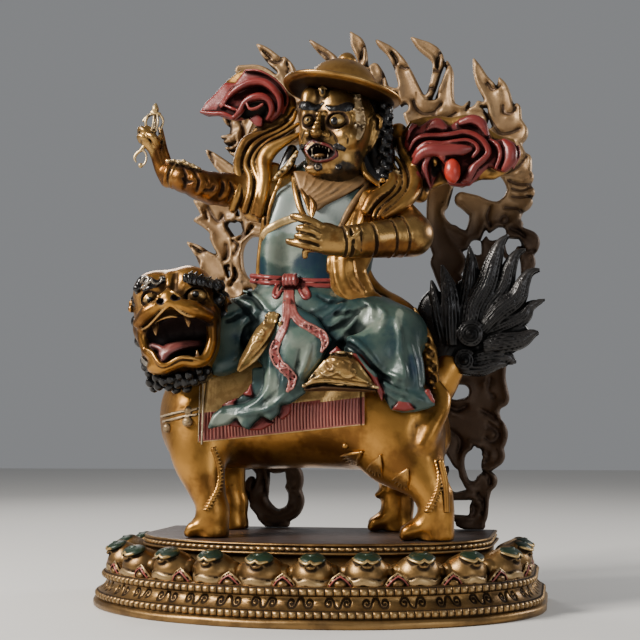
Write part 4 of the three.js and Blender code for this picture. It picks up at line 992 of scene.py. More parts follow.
# Strokes are lines of x, z and half width; the band and its tongues are made from them
FLAMES = [[(-18.6, 295.1, 5.9), (-22.3, 305.2, 5.3), (-26.6, 313, 4.4), (-31.6, 317.7, 4.1),
    (-36.6, 322.7, 3.5), (-40.4, 326.7, 2.1), (-43.6, 329.5, 0.5)],
    [(-19.8, 302.6, 4.1), (-22.9, 312.7, 3.2), (-25.4, 317.8, 1.8), (-26.6, 320.4, 0.5)],
    [(-27.9, 313, 1.2), (-29.1, 308.8, 1.5), (-32.2, 306.5, 1.2), (-36, 308, 0.8)],
    [(8.5, 303.1, 4.1), (4.9, 315.1, 2.9), (0.6, 319.4, 2.9), (-4.3, 323.8, 2.3), (-8.6, 327.8, 1.3),
    (-11.1, 330.1, 0.4)], [(21.8, 301, 4.1), (21.9, 314.5, 3.2), (20.8, 320.1, 3.8), (19, 325.2, 4.1),
    (16.6, 329.7, 2), (14.5, 333.2, 0.4)], [(35.6, 289.2, 4.7), (32.7, 297.9, 4.7), (30.9, 305.3, 4.1),
    (29.2, 309.1, 3.5)], [(56.3, 277, 8.8), (51.1, 289.4, 7.6), (48.8, 299.2, 5.6), (45.9, 307.3, 4.7),
    (42.4, 314.3, 3.6), (37.7, 320.1, 2.7), (32.9, 323.9, 1.9), (29.9, 327.1, 0.4)],
    [(48.2, 298.1, 2.3), (45.8, 296.4, 1.8), (42.2, 294.8, 1.5), (37.5, 296.6, 1.1)],
    [(71.6, 276.1, 7), (70.6, 287, 5.9), (72.4, 296.5, 3.8), (73.7, 303.6, 2.6), (72.6, 310.3, 0.9)],
    [(61.2, 290, 2.3), (64.2, 297, 2.3), (66.1, 304.1, 2.6), (67.3, 310.1, 3.5), (65.6, 315.1, 4.1),
    (61, 319.1, 3.9), (56.2, 322.4, 2.7), (50.9, 327.1, 0.4)], [(56.3, 280.6, 7), (68.1, 279.9, 8.2),
    (78.6, 276.9, 6.5), (89, 275.1, 7)], [(80.9, 276.7, 2.9), (82.7, 281.4, 1.9), (85.7, 286.3, 0.6)],
    [(87.9, 278.7, 2.9), (90.3, 283.3, 1.5), (91.5, 285, 0.6)], [(111.8, 265.4, 7), (105.7, 272.9, 8.2),
    (101.3, 282.6, 5.9), (96.8, 291.3, 5), (92.9, 297.5, 4.1), (90.1, 304.9, 2.7), (87.9, 311.7, 0.4)],
    [(106.9, 277.5, 4.7), (105.4, 287.1, 4.1), (104.4, 293.2, 2.9), (102.7, 298.6, 0.6)],
    [(109.6, 266.7, 5.9), (111.5, 274.9, 3.8), (112.7, 279.6, 2.3), (112.2, 282.6, 0.7)],
    [(95.1, 290.2, 2.3), (95.9, 286.6, 1.5), (93.8, 283.1, 1.4), (89.8, 285.2, 0.8)],
    [(102.6, 261.2, 9.4), (109.3, 253.8, 7), (114.8, 244.1, 5.3), (117.8, 249.8, 2.6), (117.3, 252.2, 0.9)],
    [(109.2, 244.4, 8.2), (115.9, 239.4, 5.3), (119.2, 238, 1.8)], [(110.1, 233.8, 7.6),
    (116.8, 230.6, 4.7), (119.6, 229.8, 2.1)], [(108.8, 225.7, 8.2), (114.4, 224.2, 5.3),
    (118.4, 224.7, 2.3)], [(101.7, 213.1, 8.8), (108.6, 217.5, 5.3), (112.6, 218.5, 2)],
    [(105.1, 210.7, 5.9), (110.8, 211.6, 3.5), (113.6, 212.1, 1.4)],
    [(102.5, 255.3, 7), (110.2, 242, 5.9), (111.7, 231.4, 5.9), (107.6, 222.2, 7), (100.7, 217.8, 7),
    (89.3, 223, 7), (82.5, 226.8, 5.3)], [(108.5, 208.2, 4.7), (114.1, 206.2, 3.5), (118.5, 202, 5.3),
    (119, 198, 4.1)], [(116.1, 193.5, 4.1), (117.1, 188.8, 4.3), (115.3, 183.7, 2.6), (114.1, 180.8, 0.7)],
    [(103.2, 200.3, 1.3), (103.7, 195.6, 1.4), (105.9, 192.4, 1.4), (109.3, 193.7, 1.3),
    (112.2, 197.6, 1.8)], [(104.5, 211.3, 5.3), (95.8, 200, 5.3), (89.9, 190.3, 5.9)],
    [(65.5, 257.3, 10.6), (67.6, 239.4, 8.2), (64.9, 218.8, 5.9), (67.1, 204, 7), (73.8, 190.8, 8.2)],
    [(79.8, 203.5, 5.9), (74.1, 208.4, 4.7), (67.3, 220.4, 3.5)], [(80.2, 227.5, 4.7), (88.2, 224.8, 4.7),
    (89.2, 216, 5.3), (85.6, 204.4, 4.7)], [(66.9, 191.1, 5.9), (75.3, 174.5, 8.2), (86.5, 156.8, 11.7),
    (89.1, 139.5, 12.9)], [(92.4, 133.8, 11.7), (96.7, 123.4, 6.5), (98.8, 113.2, 6.2), (101, 111.5, 4.1)],
    [(88.9, 130.4, 10.6), (83.1, 122.5, 8.2), (87.5, 113.3, 8.2), (94.2, 108.7, 6.5)],
    [(73, 130.6, 4.7), (69.4, 120.3, 2.3), (69.2, 110.1, 3.5), (74.9, 106.6, 4.7), (82.8, 104.2, 8.2),
    (92.9, 100.8, 7)], [(90.6, 97.4, 8.2), (96.1, 92.9, 7.6), (97.7, 87.8, 5.3)],
    [(88.3, 92.9, 8.2), (81.5, 95.2, 8.2), (73.6, 98.6, 6.5)], [(70.2, 99.8, 4.7), (68.4, 88.4, 5.9),
    (74.6, 88.4, 9.4), (76.7, 76, 4.7)], [(91.5, 85, 5.9), (95.9, 81.6, 5.6), (97.6, 78.2, 4.1),
    (93.6, 76, 4.7), (91.3, 72.6, 2.9)], [(76.8, 85, 3.5), (78.4, 76, 2.6), (79.4, 68.1, 3.5),
    (84.4, 62.5, 4.1), (91.2, 64.8, 5.6), (93.4, 65.9, 4.1)], [(68.7, 72.5, 1.5), (68.6, 62.4, 1.8),
    (71.9, 57.1, 1.8), (77.6, 57.4, 2.3), (84.3, 58, 3.5), (88.8, 60.3, 4.7), (89.9, 54.7, 2.7),
    (87.6, 50.2, 4.7), (86.4, 45.7, 5.3)], [(86.4, 50.2, 5), (86.3, 44.6, 4.7), (81.8, 41.8, 3.5),
    (76.2, 41.7, 2.3)], [(69.6, 54.5, 1.5), (68.4, 47.8, 1.2), (70.6, 45, 1.8), (75.1, 44.5, 1.8),
    (80.7, 43.4, 2.3)], [(59.4, 55.6, 1.8), (68.5, 56.2, 2.1), (82, 56.3, 2)],
    [(75, 41.1, 1.8), (79.5, 40.1, 2.3), (87.4, 40.2, 2.9)], [(-53.6, 313.6, 3.5), (-42.3, 309, 7),
    (-33.5, 298.5, 9.4), (-26, 285.6, 9.4), (-22.3, 273.1, 8.2)], [(-44.8, 290.5, 4.7), (-48.5, 280.8, 4.7),
    (-52.2, 271.1, 4.4), (-53.5, 260, 3.5), (-52.2, 247.6, 4.7)], [(-54.8, 281.2, 4.1), (-59.9, 282.1, 3.2),
    (-63, 284.5, 2), (-64.3, 286.7, 0.7)], [(-56, 277.5, 4.7), (-58.6, 273.9, 2.3), (-61.7, 272.6, 1.4),
    (-65.5, 272.7, 0.9)], [(-58.5, 270.8, 2.9), (-61.7, 269.1, 1.5), (-64.2, 269.9, 0.7)],
    [(-56, 267, 2.6), (-59.8, 264.7, 1.5), (-62.9, 266.1, 0.8)], [(-53.5, 263.7, 2.3), (-57.2, 261.5, 1.2),
    (-60.4, 262.9, 0.7)], [(-49.6, 238.9, 7), (-55.9, 245.3, 5), (-61, 251.1, 4.7), (-66.7, 256.4, 3.9),
    (-71.2, 260.9, 2.7), (-75.3, 265.2, 0.7)], [(-62.1, 224.7, 7), (-71, 226.3, 6.5), (-77.3, 230.3, 3.5),
    (-81.2, 232.9, 1.5), (-82.8, 234.5, 0.6)], [(-64.6, 216.2, 7.6), (-72.2, 220.2, 5.3),
    (-78.5, 221.7, 2.9), (-82.7, 221.9, 0.7)], [(-64.6, 213.8, 5.3), (-69.6, 211.5, 2.9),
    (-71.5, 209.8, 1.3)], [(-49.6, 229.7, 4.7), (-50.9, 223.6, 2.9), (-50.8, 215.7, 2.6),
    (-53.3, 209.7, 2.3), (-58.3, 208, 2.9)], [(-64.6, 208.9, 7), (-62, 200.3, 5), (-61.4, 195.4, 2.3)],
    [(-63.4, 222.3, 2.3), (-58.4, 223.3, 1.4), (-53.3, 220.7, 1.4)],
    [(-39.6, 210.4, 1.5), (-45.8, 212.1, 1.4), (-51.4, 208.4, 1.8), (-53.9, 202.4, 1.9), (-54.1, 196.3, 2),
    (-53.2, 190.2, 2), (-50.1, 184.7, 1.8), (-45.8, 182.1, 1.6)], [(-39.6, 215.2, 4.7),
    (-45.8, 216.7, 4.1)], [(-58.3, 205, 4.1), (-57, 195.2, 2.9), (-56.4, 189.1, 2.9), (-53.2, 183, 2.9)],
    [(-68.2, 182.2, 8.2), (-70.8, 192, 7.6), (-75.9, 198.3, 5), (-81, 204, 2.9), (-86.7, 208.2, 0.9)],
    [(-55.7, 178.2, 5.9), (-64.5, 183.3, 3.5), (-69.5, 187.1, 4.7)],
    [(-60.7, 182.6, 1.4), (-58.2, 186.2, 1.4), (-58.9, 190.4, 1.2), (-60.7, 191.7, 0.8)],
    [(-39.6, 181.4, 2.3), (-53.2, 180.6, 2.3), (-65.7, 177.3, 5.9), (-61.8, 160.3, 8.2), (-61.7, 136.2, 7),
    (-64.1, 112.4, 7), (-61.5, 88.7, 7), (-49.2, 76.9, 5.9)], [(-39.6, 177.7, 5.9), (-43.2, 153.8, 8.2),
    (-46.9, 124.1, 7), (-49.3, 94.5, 8.2), (-45.5, 79.3, 7)], [(-43.1, 75.7, 4.7), (-39.4, 68.7, 3.8),
    (-40.6, 59.4, 4.7), (-42.5, 53.6, 5.9), (-38.2, 47.8, 5.3), (-31, 44.4, 4.1), (-22.6, 46.8, 4.7),
    (-19.6, 52.6, 5), (-20.1, 57.2, 4.4)], [(-23.7, 72.3, 3.5), (-20.7, 68.8, 5), (-20.1, 63, 4.7),
    (-22.5, 60.7, 3.5)], [(-46.7, 65.2, 2.3), (-49.2, 59.4, 2.9), (-51.6, 54.7, 1.8), (-52.5, 52.9, 0.7)],
    [(-39.4, 44.3, 3.5), (-34.6, 39.7, 2.9), (-26.2, 39.9, 2.9)], [(-31, 75.8, 7), (-22.5, 75.8, 4.7)],
    [(-43.1, 81.6, 7), (-28.6, 79.3, 5.9)],]
PIERCINGS = [[(46.9, 283.6, 2.3), (47.5, 284.8, 2)], [(98.7, 232.6, 7), (91.2, 233.8, 4.7),
    (83.1, 233.3, 2)], [(76, 218, 5.3), (71.9, 220.2, 2.6)], [(101.6, 207.3, 3.5), (97, 205.2, 2.6)],
    [(87.2, 200.3, 3.5), (88.9, 196.1, 1.8)], [(78.5, 116, 3.9), (74.5, 116.3, 3.5)],
    [(87, 81.6, 2.1), (83, 78.8, 3.2), (82.3, 73.7, 3.2), (83.3, 67.5, 2.5)],
    [(72, 66.9, 3.2), (74.8, 63, 3.3)], [(72.9, 50.1, 3.8), (77.4, 49.5, 3.5)],
    [(-31.6, 65.3, 3.2), (-33.4, 59.5, 2.7), (-31, 53.1, 2.8)], [(-55.8, 214.7, 3.3), (-60.2, 218.5, 1.8)],
    [(-26.1, 69.4, 0.9), (-28.6, 67, 1.4)],]
STROKES = [[(52.3, 288.1, 0.5), (54, 283.2, 0.6), (58.7, 279.9, 0.6), (64.6, 280.7, 0.6),
    (68.8, 285.3, 0.5)], [(60, 291.9, 0.4), (63, 294.7, 0.5), (66.5, 292, 0.5), (65.9, 288.5, 0.4),
    (62.3, 288.1, 0.4)], [(64.9, 304.8, 0.4), (69.6, 304.5, 0.5), (73.2, 307.9, 0.4)],
    [(44.8, 309.2, 0.4), (48.3, 307.8, 0.4), (51.9, 308.7, 0.4)], [(39.5, 318.2, 0.4), (42.4, 313.1, 0.5),
    (41.2, 307.1, 0.4)], [(22.6, 322.5, 0.4), (21.4, 317, 0.5), (20.1, 312.8, 0.4)],
    [(25.6, 313, 0.4), (23.1, 309.5, 0.4)], [(34, 311.8, 0.5), (34.5, 305.1, 0.5), (33.3, 297.8, 0.4)],
    [(63.4, 279.6, 0.5), (70.4, 276.2, 0.6), (77.5, 279.3, 0.5)], [(68.6, 316.1, 0.4), (66.8, 310.1, 0.5),
    (67.3, 305.3, 0.3)], [(95.8, 296.1, 0.4), (98.6, 291.8, 0.6), (103.2, 293.2, 0.4)],
    [(104.7, 282.4, 0.4), (105.2, 277.7, 0.6), (109.8, 276.8, 0.5), (112.1, 280.2, 0.4)],
    [(93.7, 278.4, 0.5), (98.2, 272.1, 0.5), (102.7, 265.9, 0.6), (108.4, 265.6, 0.6), (114.2, 267.7, 0.5)],
    [(83.3, 280.2, 0.4), (85.7, 283.6, 0.4), (86.3, 285.4, 0.3)], [(105.7, 242.2, 0.4), (112.6, 245.4, 0.5),
    (117.8, 251, 0.4)], [(106.7, 237.5, 0.4), (113.5, 234.8, 0.5), (119.7, 234.5, 0.4)],
    [(108.9, 232.7, 0.4), (114.6, 231.2, 0.4), (119.7, 232.8, 0.4)],
    [(108.8, 228, 0.4), (114.5, 227.2, 0.4), (119, 227.5, 0.4)], [(104.7, 221.8, 0.5), (111, 220.9, 0.5),
    (114.3, 218.4, 0.5)], [(101.8, 214.9, 0.4), (104.1, 217.1, 0.5), (106.3, 214.7, 0.5), (104, 212.5, 0.4),
    (101.7, 213.7, 0.4)], [(96.2, 222.7, 0.4), (94.4, 216.9, 0.5), (96, 211, 0.4)],
    [(107.3, 209.4, 0.5), (111.3, 208.1, 0.5), (115.2, 204.5, 0.5)],
    [(112.9, 202.2, 0.4), (113.9, 197.6, 0.5), (117.2, 195.1, 0.5), (120.6, 196.2, 0.4)],
    [(-42.3, 320.3, 0.4), (-36, 318.6, 0.4), (-31, 317, 0.4), (-27.2, 318, 0.3)],
    [(-39.8, 325.1, 0.2), (-34.7, 320.4, 0.4)], [(-24.1, 316.5, 0.3), (-23.5, 310.3, 0.4)],
    [(-4.9, 322.6, 0.3), (0.6, 318.5, 0.4), (2.4, 314.7, 0.3)], [(-61.1, 284, 0.4), (-59.2, 278.9, 0.5),
    (-59.2, 274, 0.4)], [(-53.5, 282.3, 0.4), (-51.6, 274.8, 0.5), (-52.9, 266.2, 0.4)],
    [(-62.3, 267.9, 0.3), (-58.5, 267.1, 0.4), (-56, 269.4, 0.3)], [(-59.8, 264.1, 0.3),
    (-56.6, 263.9, 0.4), (-55.4, 266.3, 0.3)], [(-72.4, 262.9, 0.4), (-70.5, 256.6, 0.4)],
    [(-74.2, 230.2, 0.4), (-71, 223.9, 0.5), (-67.1, 220.6, 0.5), (-64.6, 224.8, 0.4)],
    [(-76, 227.8, 0.3), (-74.1, 222.8, 0.4)], [(-64.6, 224.8, 0.3), (-62.1, 217.4, 0.5),
    (-58.9, 211.1, 0.5)], [(-52.1, 219.4, 0.4), (-51.4, 213.3, 0.5), (-53.9, 208.5, 0.4)],
    [(-45.8, 216.7, 0.5), (-48.3, 213.2, 0.5), (-52.1, 209.6, 0.4)],
    [(-62.1, 206.4, 0.3), (-61.4, 200.2, 0.4), (-63.3, 196.6, 0.3)],
    [(-80.9, 199.7, 0.4), (-79, 196, 0.4), (-80.9, 192.3, 0.3)], [(-83.5, 205.9, 0.2), (-77.1, 202, 0.4),
    (-73.4, 204.3, 0.4)], [(-57, 191.6, 0.4), (-55.7, 186.7, 0.5), (-59.4, 181.3, 0.5)],
    [(-63.2, 185.7, 0.4), (-65.7, 182.1, 0.5)], [(-58.3, 208.7, 0.3), (-54.5, 204.9, 0.5),
    (-56.4, 200.1, 0.4)], [(-38.8, 65.2, 0.4), (-38.2, 58.3, 0.5), (-35.2, 51.3, 0.5), (-29.2, 47.9, 0.5)],
    [(-24.9, 59.5, 0.4), (-23.7, 54.9, 0.5), (-25.6, 50.2, 0.4)], [(-49.2, 58.2, 0.3), (-46.7, 53.5, 0.5),
    (-49.1, 51.2, 0.4)], [(94.4, 123.5, 0.4), (93.2, 116.7, 0.5), (96.5, 112.1, 0.4)],
    [(89.6, 105.3, 0.4), (95.2, 101.9, 0.5), (99.6, 97.4, 0.4)], [(92.9, 97.4, 0.4), (98.4, 91.7, 0.5),
    (94.9, 87.2, 0.5), (91.6, 89.5, 0.4)], [(89.3, 83.9, 0.4), (92.5, 79.4, 0.5), (90.2, 74.9, 0.4)],
    [(87.9, 71.5, 0.4), (92.3, 68.1, 0.5), (93.4, 63.7, 0.4)], [(86.6, 58, 0.4), (89.8, 52.5, 0.5),
    (88.6, 46.9, 0.4)], [(80.9, 54.6, 0.4), (84.2, 50.2, 0.5), (83, 45.7, 0.4)],
    [(69.2, 108.9, 0.4), (74.9, 105.4, 0.5), (80.6, 107.7, 0.4)], [(71.3, 94.1, 0.4), (76.9, 88.4, 0.5),
    (75.7, 81.6, 0.4)],]
BOSSES = [[(63, 291.7, 2.6)], [(104, 214.8, 2.3)], [(65.6, 265.7, 3.5)], [(30.3, 304.1, 2.9)],
    [(69.9, 281, 3.5)], [(107.5, 275.7, 3.5)], [(113.7, 241.8, 3.5)], [(115.7, 230, 2.3)],
    [(117.3, 199.8, 3.5)], [(116.5, 189.4, 2.9)], [(96.1, 91.7, 3.5)], [(94.2, 79.9, 2.9)],
    [(92.3, 64.8, 3.5)], [(89.2, 50.2, 2.9)], [(-20.1, 65.3, 2.9)], [(-21.4, 52.6, 3.5)],]


def stroke_field(x, z, strokes, per_span=5):
    """Signed distance in the plane to strokes that taper."""
    field = np.full((len(x), len(z)), 6.0, np.float32)
    for stroke in strokes:
        rows = np.asarray(stroke, float)
        rows = smooth_path(rows, per_span) if len(rows) > 1 else np.vstack([rows, rows + (0.01, 0, 0)])
        for start, end in zip(rows, rows[1:]):
            reach = max(start[2], end[2]) + 6
            i = np.searchsorted(x, [min(start[0], end[0]) - reach, max(start[0], end[0]) + reach])
            k = np.searchsorted(z, [min(start[1], end[1]) - reach, max(start[1], end[1]) + reach])
            u, v = x[i[0]:i[1], None], z[None, k[0]:k[1]]
            way = end[:2] - start[:2]
            t = np.clip(((u - start[0]) * way[0] + (v - start[1]) * way[1]) / max(1e-9, way @ way), 0, 1)
            near = np.hypot(u - start[0] - way[0] * t, v - start[1] - way[1] * t)
            part = near - (start[2] + (end[2] - start[2]) * t)
            field[i[0]:i[1], k[0]:k[1]] = np.minimum(field[i[0]:i[1], k[0]:k[1]], part)
    return field


ARCH_MIDDLE = 39.6  # the y from which the arch reaches forward and back by the next two
ARCH_FRONT = 3.6
ARCH_BACK = 3.1
ARCH_ROUNDING = 1.7


def build_aureole():
    """The pierced arch: an outline with grooves and bosses, given thickness."""
    clay = Clay((-106, 32.6, PLINTH_TOP - 1), (128, 46.2, 336), 0.92)
    x = clay.low[0] + clay.step * np.arange(clay.size[0])
    y = clay.low[1] + clay.step * np.arange(clay.size[1])
    z = clay.low[2] + clay.step * np.arange(clay.size[2])
    outline = np.maximum(stroke_field(x, z, FLAMES), -stroke_field(x, z, PIERCINGS))
    grooves = stroke_field(x, z, STROKES, 8)
    bosses = stroke_field(x, z, BOSSES)
    inset = -outline
    relief = 1.2 * np.exp(-(((inset - 1.4) / 0.9) ** 2)) - 1.0 * smoothstep(inset, 2.2, 4.5)
    relief += 1.3 * smoothstep(bosses, 1.0, -3.5)
    relief -= 2.6 * np.exp(-np.clip(grooves - 0.1, 0, None) ** 2 / 0.4) * (grooves < 3)
    front = ARCH_FRONT + relief
    depth = y[None, :, None] - ARCH_MIDDLE
    face = np.where(depth < 0, -depth - front[:, None, :], depth - ARCH_BACK)
    rounding = ARCH_ROUNDING
    a, b = outline[:, None, :] + rounding, face + rounding
    both = np.minimum(np.maximum(a, b), 0) + np.hypot(np.maximum(a, 0), np.maximum(b, 0)) - rounding
    clay.field = np.clip(both, -FAR, FAR).astype(np.float32)
    clay.coats["line"] = np.where(depth < 0, (grooves + 0.4)[:, None, :], FAR).astype(np.float32)
    clay.keep_above(PLINTH_TOP + GAP)
    thing = clay.mesh("aureole", 0.12, soften=0.3)
    points = vertex_points(thing)
    # Painted shade: darker to the lower right, away from the light, and darker towards the bottom
    low_right = smoothstep(points[:, 2], 236, 205) * smoothstep(points[:, 0], 20, 60)
    low = smoothstep(points[:, 2], 120, 95)
    set_attribute(thing, "soot", np.clip(np.maximum(low_right, low), 0, 1) * 0.93)
    material = make_material("aureole_gilt", TAN, [("line", LINE_BROWN)], painted_shade_colour=(0.045, 0.024, 0.014))
    return finish_piece(thing, material, "flame_aureole")


# Snow lion

LION_HEAD = (Matrix.Translation((-68.5, -30, 153)) @ Matrix.Rotation(math.radians(7), 4, "Z")
    @ Matrix.Rotation(math.radians(-8), 4, "Y"))
TRUNK = [(-62, 0, 103, 29, 26), (-34, 0, 104, 31, 28.5), (0, 0, 105, 31.5, 30), (30, 0, 106, 33.5, 31),
    (44, 0, 109, 32, 27)]


def paw(clay, ankle, toe_x, y):
    """A foot with three toes, from the ankle to the toes that point to the left."""
    x = ankle[0]
    clay.limb([(x + 1, y, 52, 8.2, 8), (x, y, 45, 8.6, 8.2), (x + 1, y, 40.5, 8.4, 8.2)], 3)
    clay.limb([(x - 1, y, 47, 6, 7), (toe_x + 8, y, 43.4, 5.2, 8), (toe_x + 4, y, 41.6, 4.6, 8)], 3)
    for toe in (-1, 0, 1):
        clay.limb([(toe_x + 11, y + toe * 4.6, 44, 3.2), (toe_x + 5, y + toe * 5.4, 42.6, 3.5),
            (toe_x + 2.6, y + toe * 5.8, 40.4, 2.7)], 0.8)
        clay.ball((toe_x + 1.4, y + toe * 5.8, 40.2), (1.5, 1.3, 1.9), blend=0.3, paint="nail")


def rope_ridge(clay, line, radius, pitch, lean=0.5):
    """A ridge of short slanting strands, as of hair bound into a cord."""
    rows = smooth_path(line, 12)
    clay.limb([(*row[:3], radius * 0.75) for row in rows[::3]], 0.6, "trim")
    steps = np.concatenate([[0], np.cumsum(np.linalg.norm(np.diff(rows[:, :3], axis=0), axis=1))])
    for place in np.arange(0.5, steps[-1], pitch):
        spot = np.array([np.interp(place, steps, rows[:, axis]) for axis in range(3)])
        ahead = np.array([np.interp(min(place + 1, steps[-1]), steps, rows[:, axis]) for axis in range(3)])
        way = unit(ahead - spot)
        across = unit(np.cross((0, -1, 0), way))
        a = spot + across * radius * 1.15 - way * radius * lean
        b = spot - across * radius * 1.15 + way * radius * lean
        middle = spot + np.array([0, -radius * 0.55, 0])
        clay.limb([(*a, pitch * 0.30), (*middle, pitch * 0.40), (*b, pitch * 0.30)], 0.2, "trim",
            per_span=3)


def tuft(clay, tip, ends, radius=1.0):
    """A tuft of hair: strands that fan from a raised tip."""
    for end in ends:
        middle = [(a + b) / 2 for a, b in zip(tip, end)]
        middle[1] -= 1.4
        clay.limb([(*end, radius * 0.55), (*middle, radius), (*tip, radius * 0.6)], 0.3, "trim")


def build_lion_body(material):
    """The barrel, the legs and their paws."""
    near, far = -27, 25.5
    clay = Clay((-92, -45, 37.2), (86, 39, 152), 1.0, "hide")
    clay.limb(TRUNK, 0, per_span=8)
    clay.ball((-62, -3, 104), (20, 25, 27), blend=8)
    clay.ball((-70, -7, 92), (11, 15, 15), blend=8)
    clay.limb([(-50, 2, 116, 20, 20), (-60, -10, 130, 20, 19), (-66, -18, 144, 19, 18)], 8)
    for y in (-18, 18):
        clay.ball((47, y, 95), (25, 16, 30), blend=9)
        clay.ball((-56, y, 99), (17, 14, 22), blend=8)
    # Near front leg, with the muscle of the forearm
    clay.limb([(-60, near + 8, 98, 18, 14), (-59, near + 3, 82, 15.5, 12), (-55.5, near + 1, 69, 11.5, 10),
        (-51.5, near, 57, 8.6, 8.2), (-50, near, 48, 8, 7.8)], 7)
    paw(clay, (-50.5, near, 50), -64, near)
    clay.limb([(-60, far - 8, 98, 17, 14), (-58, far - 2, 72, 12, 9.8), (-54.5, far, 54, 8, 7.6)], 7)
    paw(clay, (-54, far, 50), -68, far)
    # Near hind leg: thigh, shin and hock
    clay.limb([(50, near + 10, 94, 23, 15), (57, near + 5, 78, 17, 12.5), (65, near + 1, 66, 11, 10),
        (69, near, 56, 8.8, 8.6), (69, near, 48, 8.6, 8.4)], 8)
    clay.limb([(74.5, near, 62, 3.4, 5), (76, near, 50, 2.2, 5), (76, near, 40, 2.4, 5.4)], 3)
    paw(clay, (68, near, 50), 51, near)
    clay.limb([(50, far - 10, 92, 22, 15), (45, far - 3, 74, 14, 11), (42, far - 1, 62, 10, 9),
        (42, far, 50, 8.4, 8)], 8)
    paw(clay, (42, far, 50), 26, far)
    clay.limb([(40, far - 8, 62, 2, 3), (32, far - 2, 58, 2, 3)], 2)
    # Creases where the legs meet the body
    clay.groove([(-63.3, -38, 86.1, 0.9), (-59.5, -38, 87.7, 1), (-56.2, -36, 87.1, 0.8)], 2.0)
    clay.groove([(61, -34, 95.1, 1.5), (60.6, -36, 88, 1.7), (63.1, -36, 81.4, 1.5)], 4)
    clay.limb([(70.1, -20, 117.1, 3), (73.3, -22, 110.7, 4), (72.6, -26, 103.3, 4), (68.2, -30, 94.1, 4),
        (64.2, -32, 86.4, 3)], 5)
    # Stem of the tail
    clay.limb([(56, 0, 108, 14, 13), (66, 3, 116, 11, 10), (74, 3, 128, 9, 8)], 5)
    clay.keep_above(PLINTH_TOP + GAP)
    finish_piece(clay.mesh("lion_body", 0.05), material, "snow_lion")
    return clay


def build_lion_trim(material, body):
    """Corded hair on the legs, tufts of hair and the harness, laid on the body."""
    clay = Clay((-90, -46, 52), (82, 36, 128), 0.52, "trim")
    # Hair on the backs of the legs
    rope_ridge(clay, body.on_surface([(-47.1, -37, 84.5), (-44.8, -37, 78.7), (-43.4, -37, 71.4),
        (-44.5, -36, 64), (-48, -36, 57.2), (-51.8, -36, 50.9)]), 1.7, 1.9)
    rope_ridge(clay, body.on_surface([(70.8, -37, 78.4), (72.3, -37, 72.3), (71.9, -37, 65.3),
        (69.6, -37, 58.8), (66.8, -36, 54.2), (64.5, -36, 50.1)]), 1.7, 1.9)
    clay.limb([(73.1, -34, 77.8, 1.4), (75, -34, 68.7, 1.6), (75.6, -34, 58.7, 1.6), (75.7, -34, 48.6, 1.5),
        (75.8, -34, 39.6, 1.6)], 0.6)
    tuft(clay, body.spot((32.7, -38, 82.9), 1.6), body.on_surface([(21.4, -35, 80.8), (22.4, -35, 79.3),
        (24, -35, 78), (25.9, -35, 77), (27.7, -35, 76.5), (29.8, -35, 76.2)]))
    tuft(clay, body.spot((42.3, -38, 80.9), 1.6), body.on_surface([(34.8, -34, 73.9), (36.1, -34, 72.6),
        (37.7, -34, 71.3), (39.2, -34, 70.6), (41.1, -34, 70.1), (42.6, -34, 70.1)]))
    tuft(clay, body.spot((56.2, -37, 74.1), 1.6), body.on_surface([(48, -34, 68.3), (49.3, -34, 66.8),
        (50.9, -34, 65.3), (52.6, -34, 64.3), (54.4, -34, 63.8), (56, -34, 63.8)]))
    clay.ball(body.spot((23.6, -34, 86)), 2.0, blend=0.4, paint="trim")
    # Chest straps, collar cord and bells
    for strap in ([(-81.9, -20, 102, 0.6, 0.8), (-74.9, -26, 103, 0.8, 0.9), (-67.5, -31, 104.2, 0.8, 0.9),
            (-60.1, -33, 105.2, 0.8, 0.9), (-54.2, -34, 106.5, 0.7, 0.9)],
            [(-81, -20, 99.3, 0.6, 0.8), (-73.7, -26, 100.3, 0.8, 0.9), (-64.9, -32, 101.8, 0.8, 0.9),
            (-59, -33, 102.5, 0.8, 0.9), (-54.2, -34, 103.6, 0.7, 0.9)]):
        clay.fold(strap, 0.15, "strap", body, 0.2)
    clay.limb([(-81.5, 0, 104, 1.0, 0.9), (-84, 8, 105, 1.0, 0.9), (-80, 16, 106, 1.0, 0.9),
        (-66, 26, 108, 1.0, 0.9), (-54, 30, 109, 1.0, 0.9)], 0.3, "strap")
    clay.ball(body.spot((-61.8, -34, 104.7)), (2.2, 1.8, 2.4), blend=0.4, paint="strap")
    clay.ball(body.spot((-62.3, -34, 98.8), 1.0), (2.8, 2.6, 2.8), blend=0.4, paint="strap")
    clay.ball(body.spot((-76.3, -26, 95.7), 1.0), (2.5, 2.6, 2.6), blend=0.4, paint="strap")
    for line in ([(-63.8, -36, 99, 0.2), (-61.3, -37, 98.3, 0.3), (-59.4, -36, 99, 0.2)],
            [(-77.1, -30, 95.7, 0.2), (-74.5, -31, 94.9, 0.3), (-72.9, -30, 95.7, 0.2)]):
        clay.crease(line, 0.2)
    clay.fold([(-54.7, -31, 119.2, 0.6), (-54, -33, 108.4, 0.6), (-54.2, -33, 97.2, 0.6),
        (-55, -32, 87.1, 0.5)], 0.3, "strap", body, 2.6)
    clay.fold([(-56.6, -31, 118.1, 0.4), (-55.9, -33, 108.4, 0.5), (-56.2, -33, 97.2, 0.5),
        (-56.7, -32, 88.1, 0.4)], 0.3, "strap", body, 2.2)
    return finish_piece(clay.mesh("lion_trim"), material, "snow_lion")


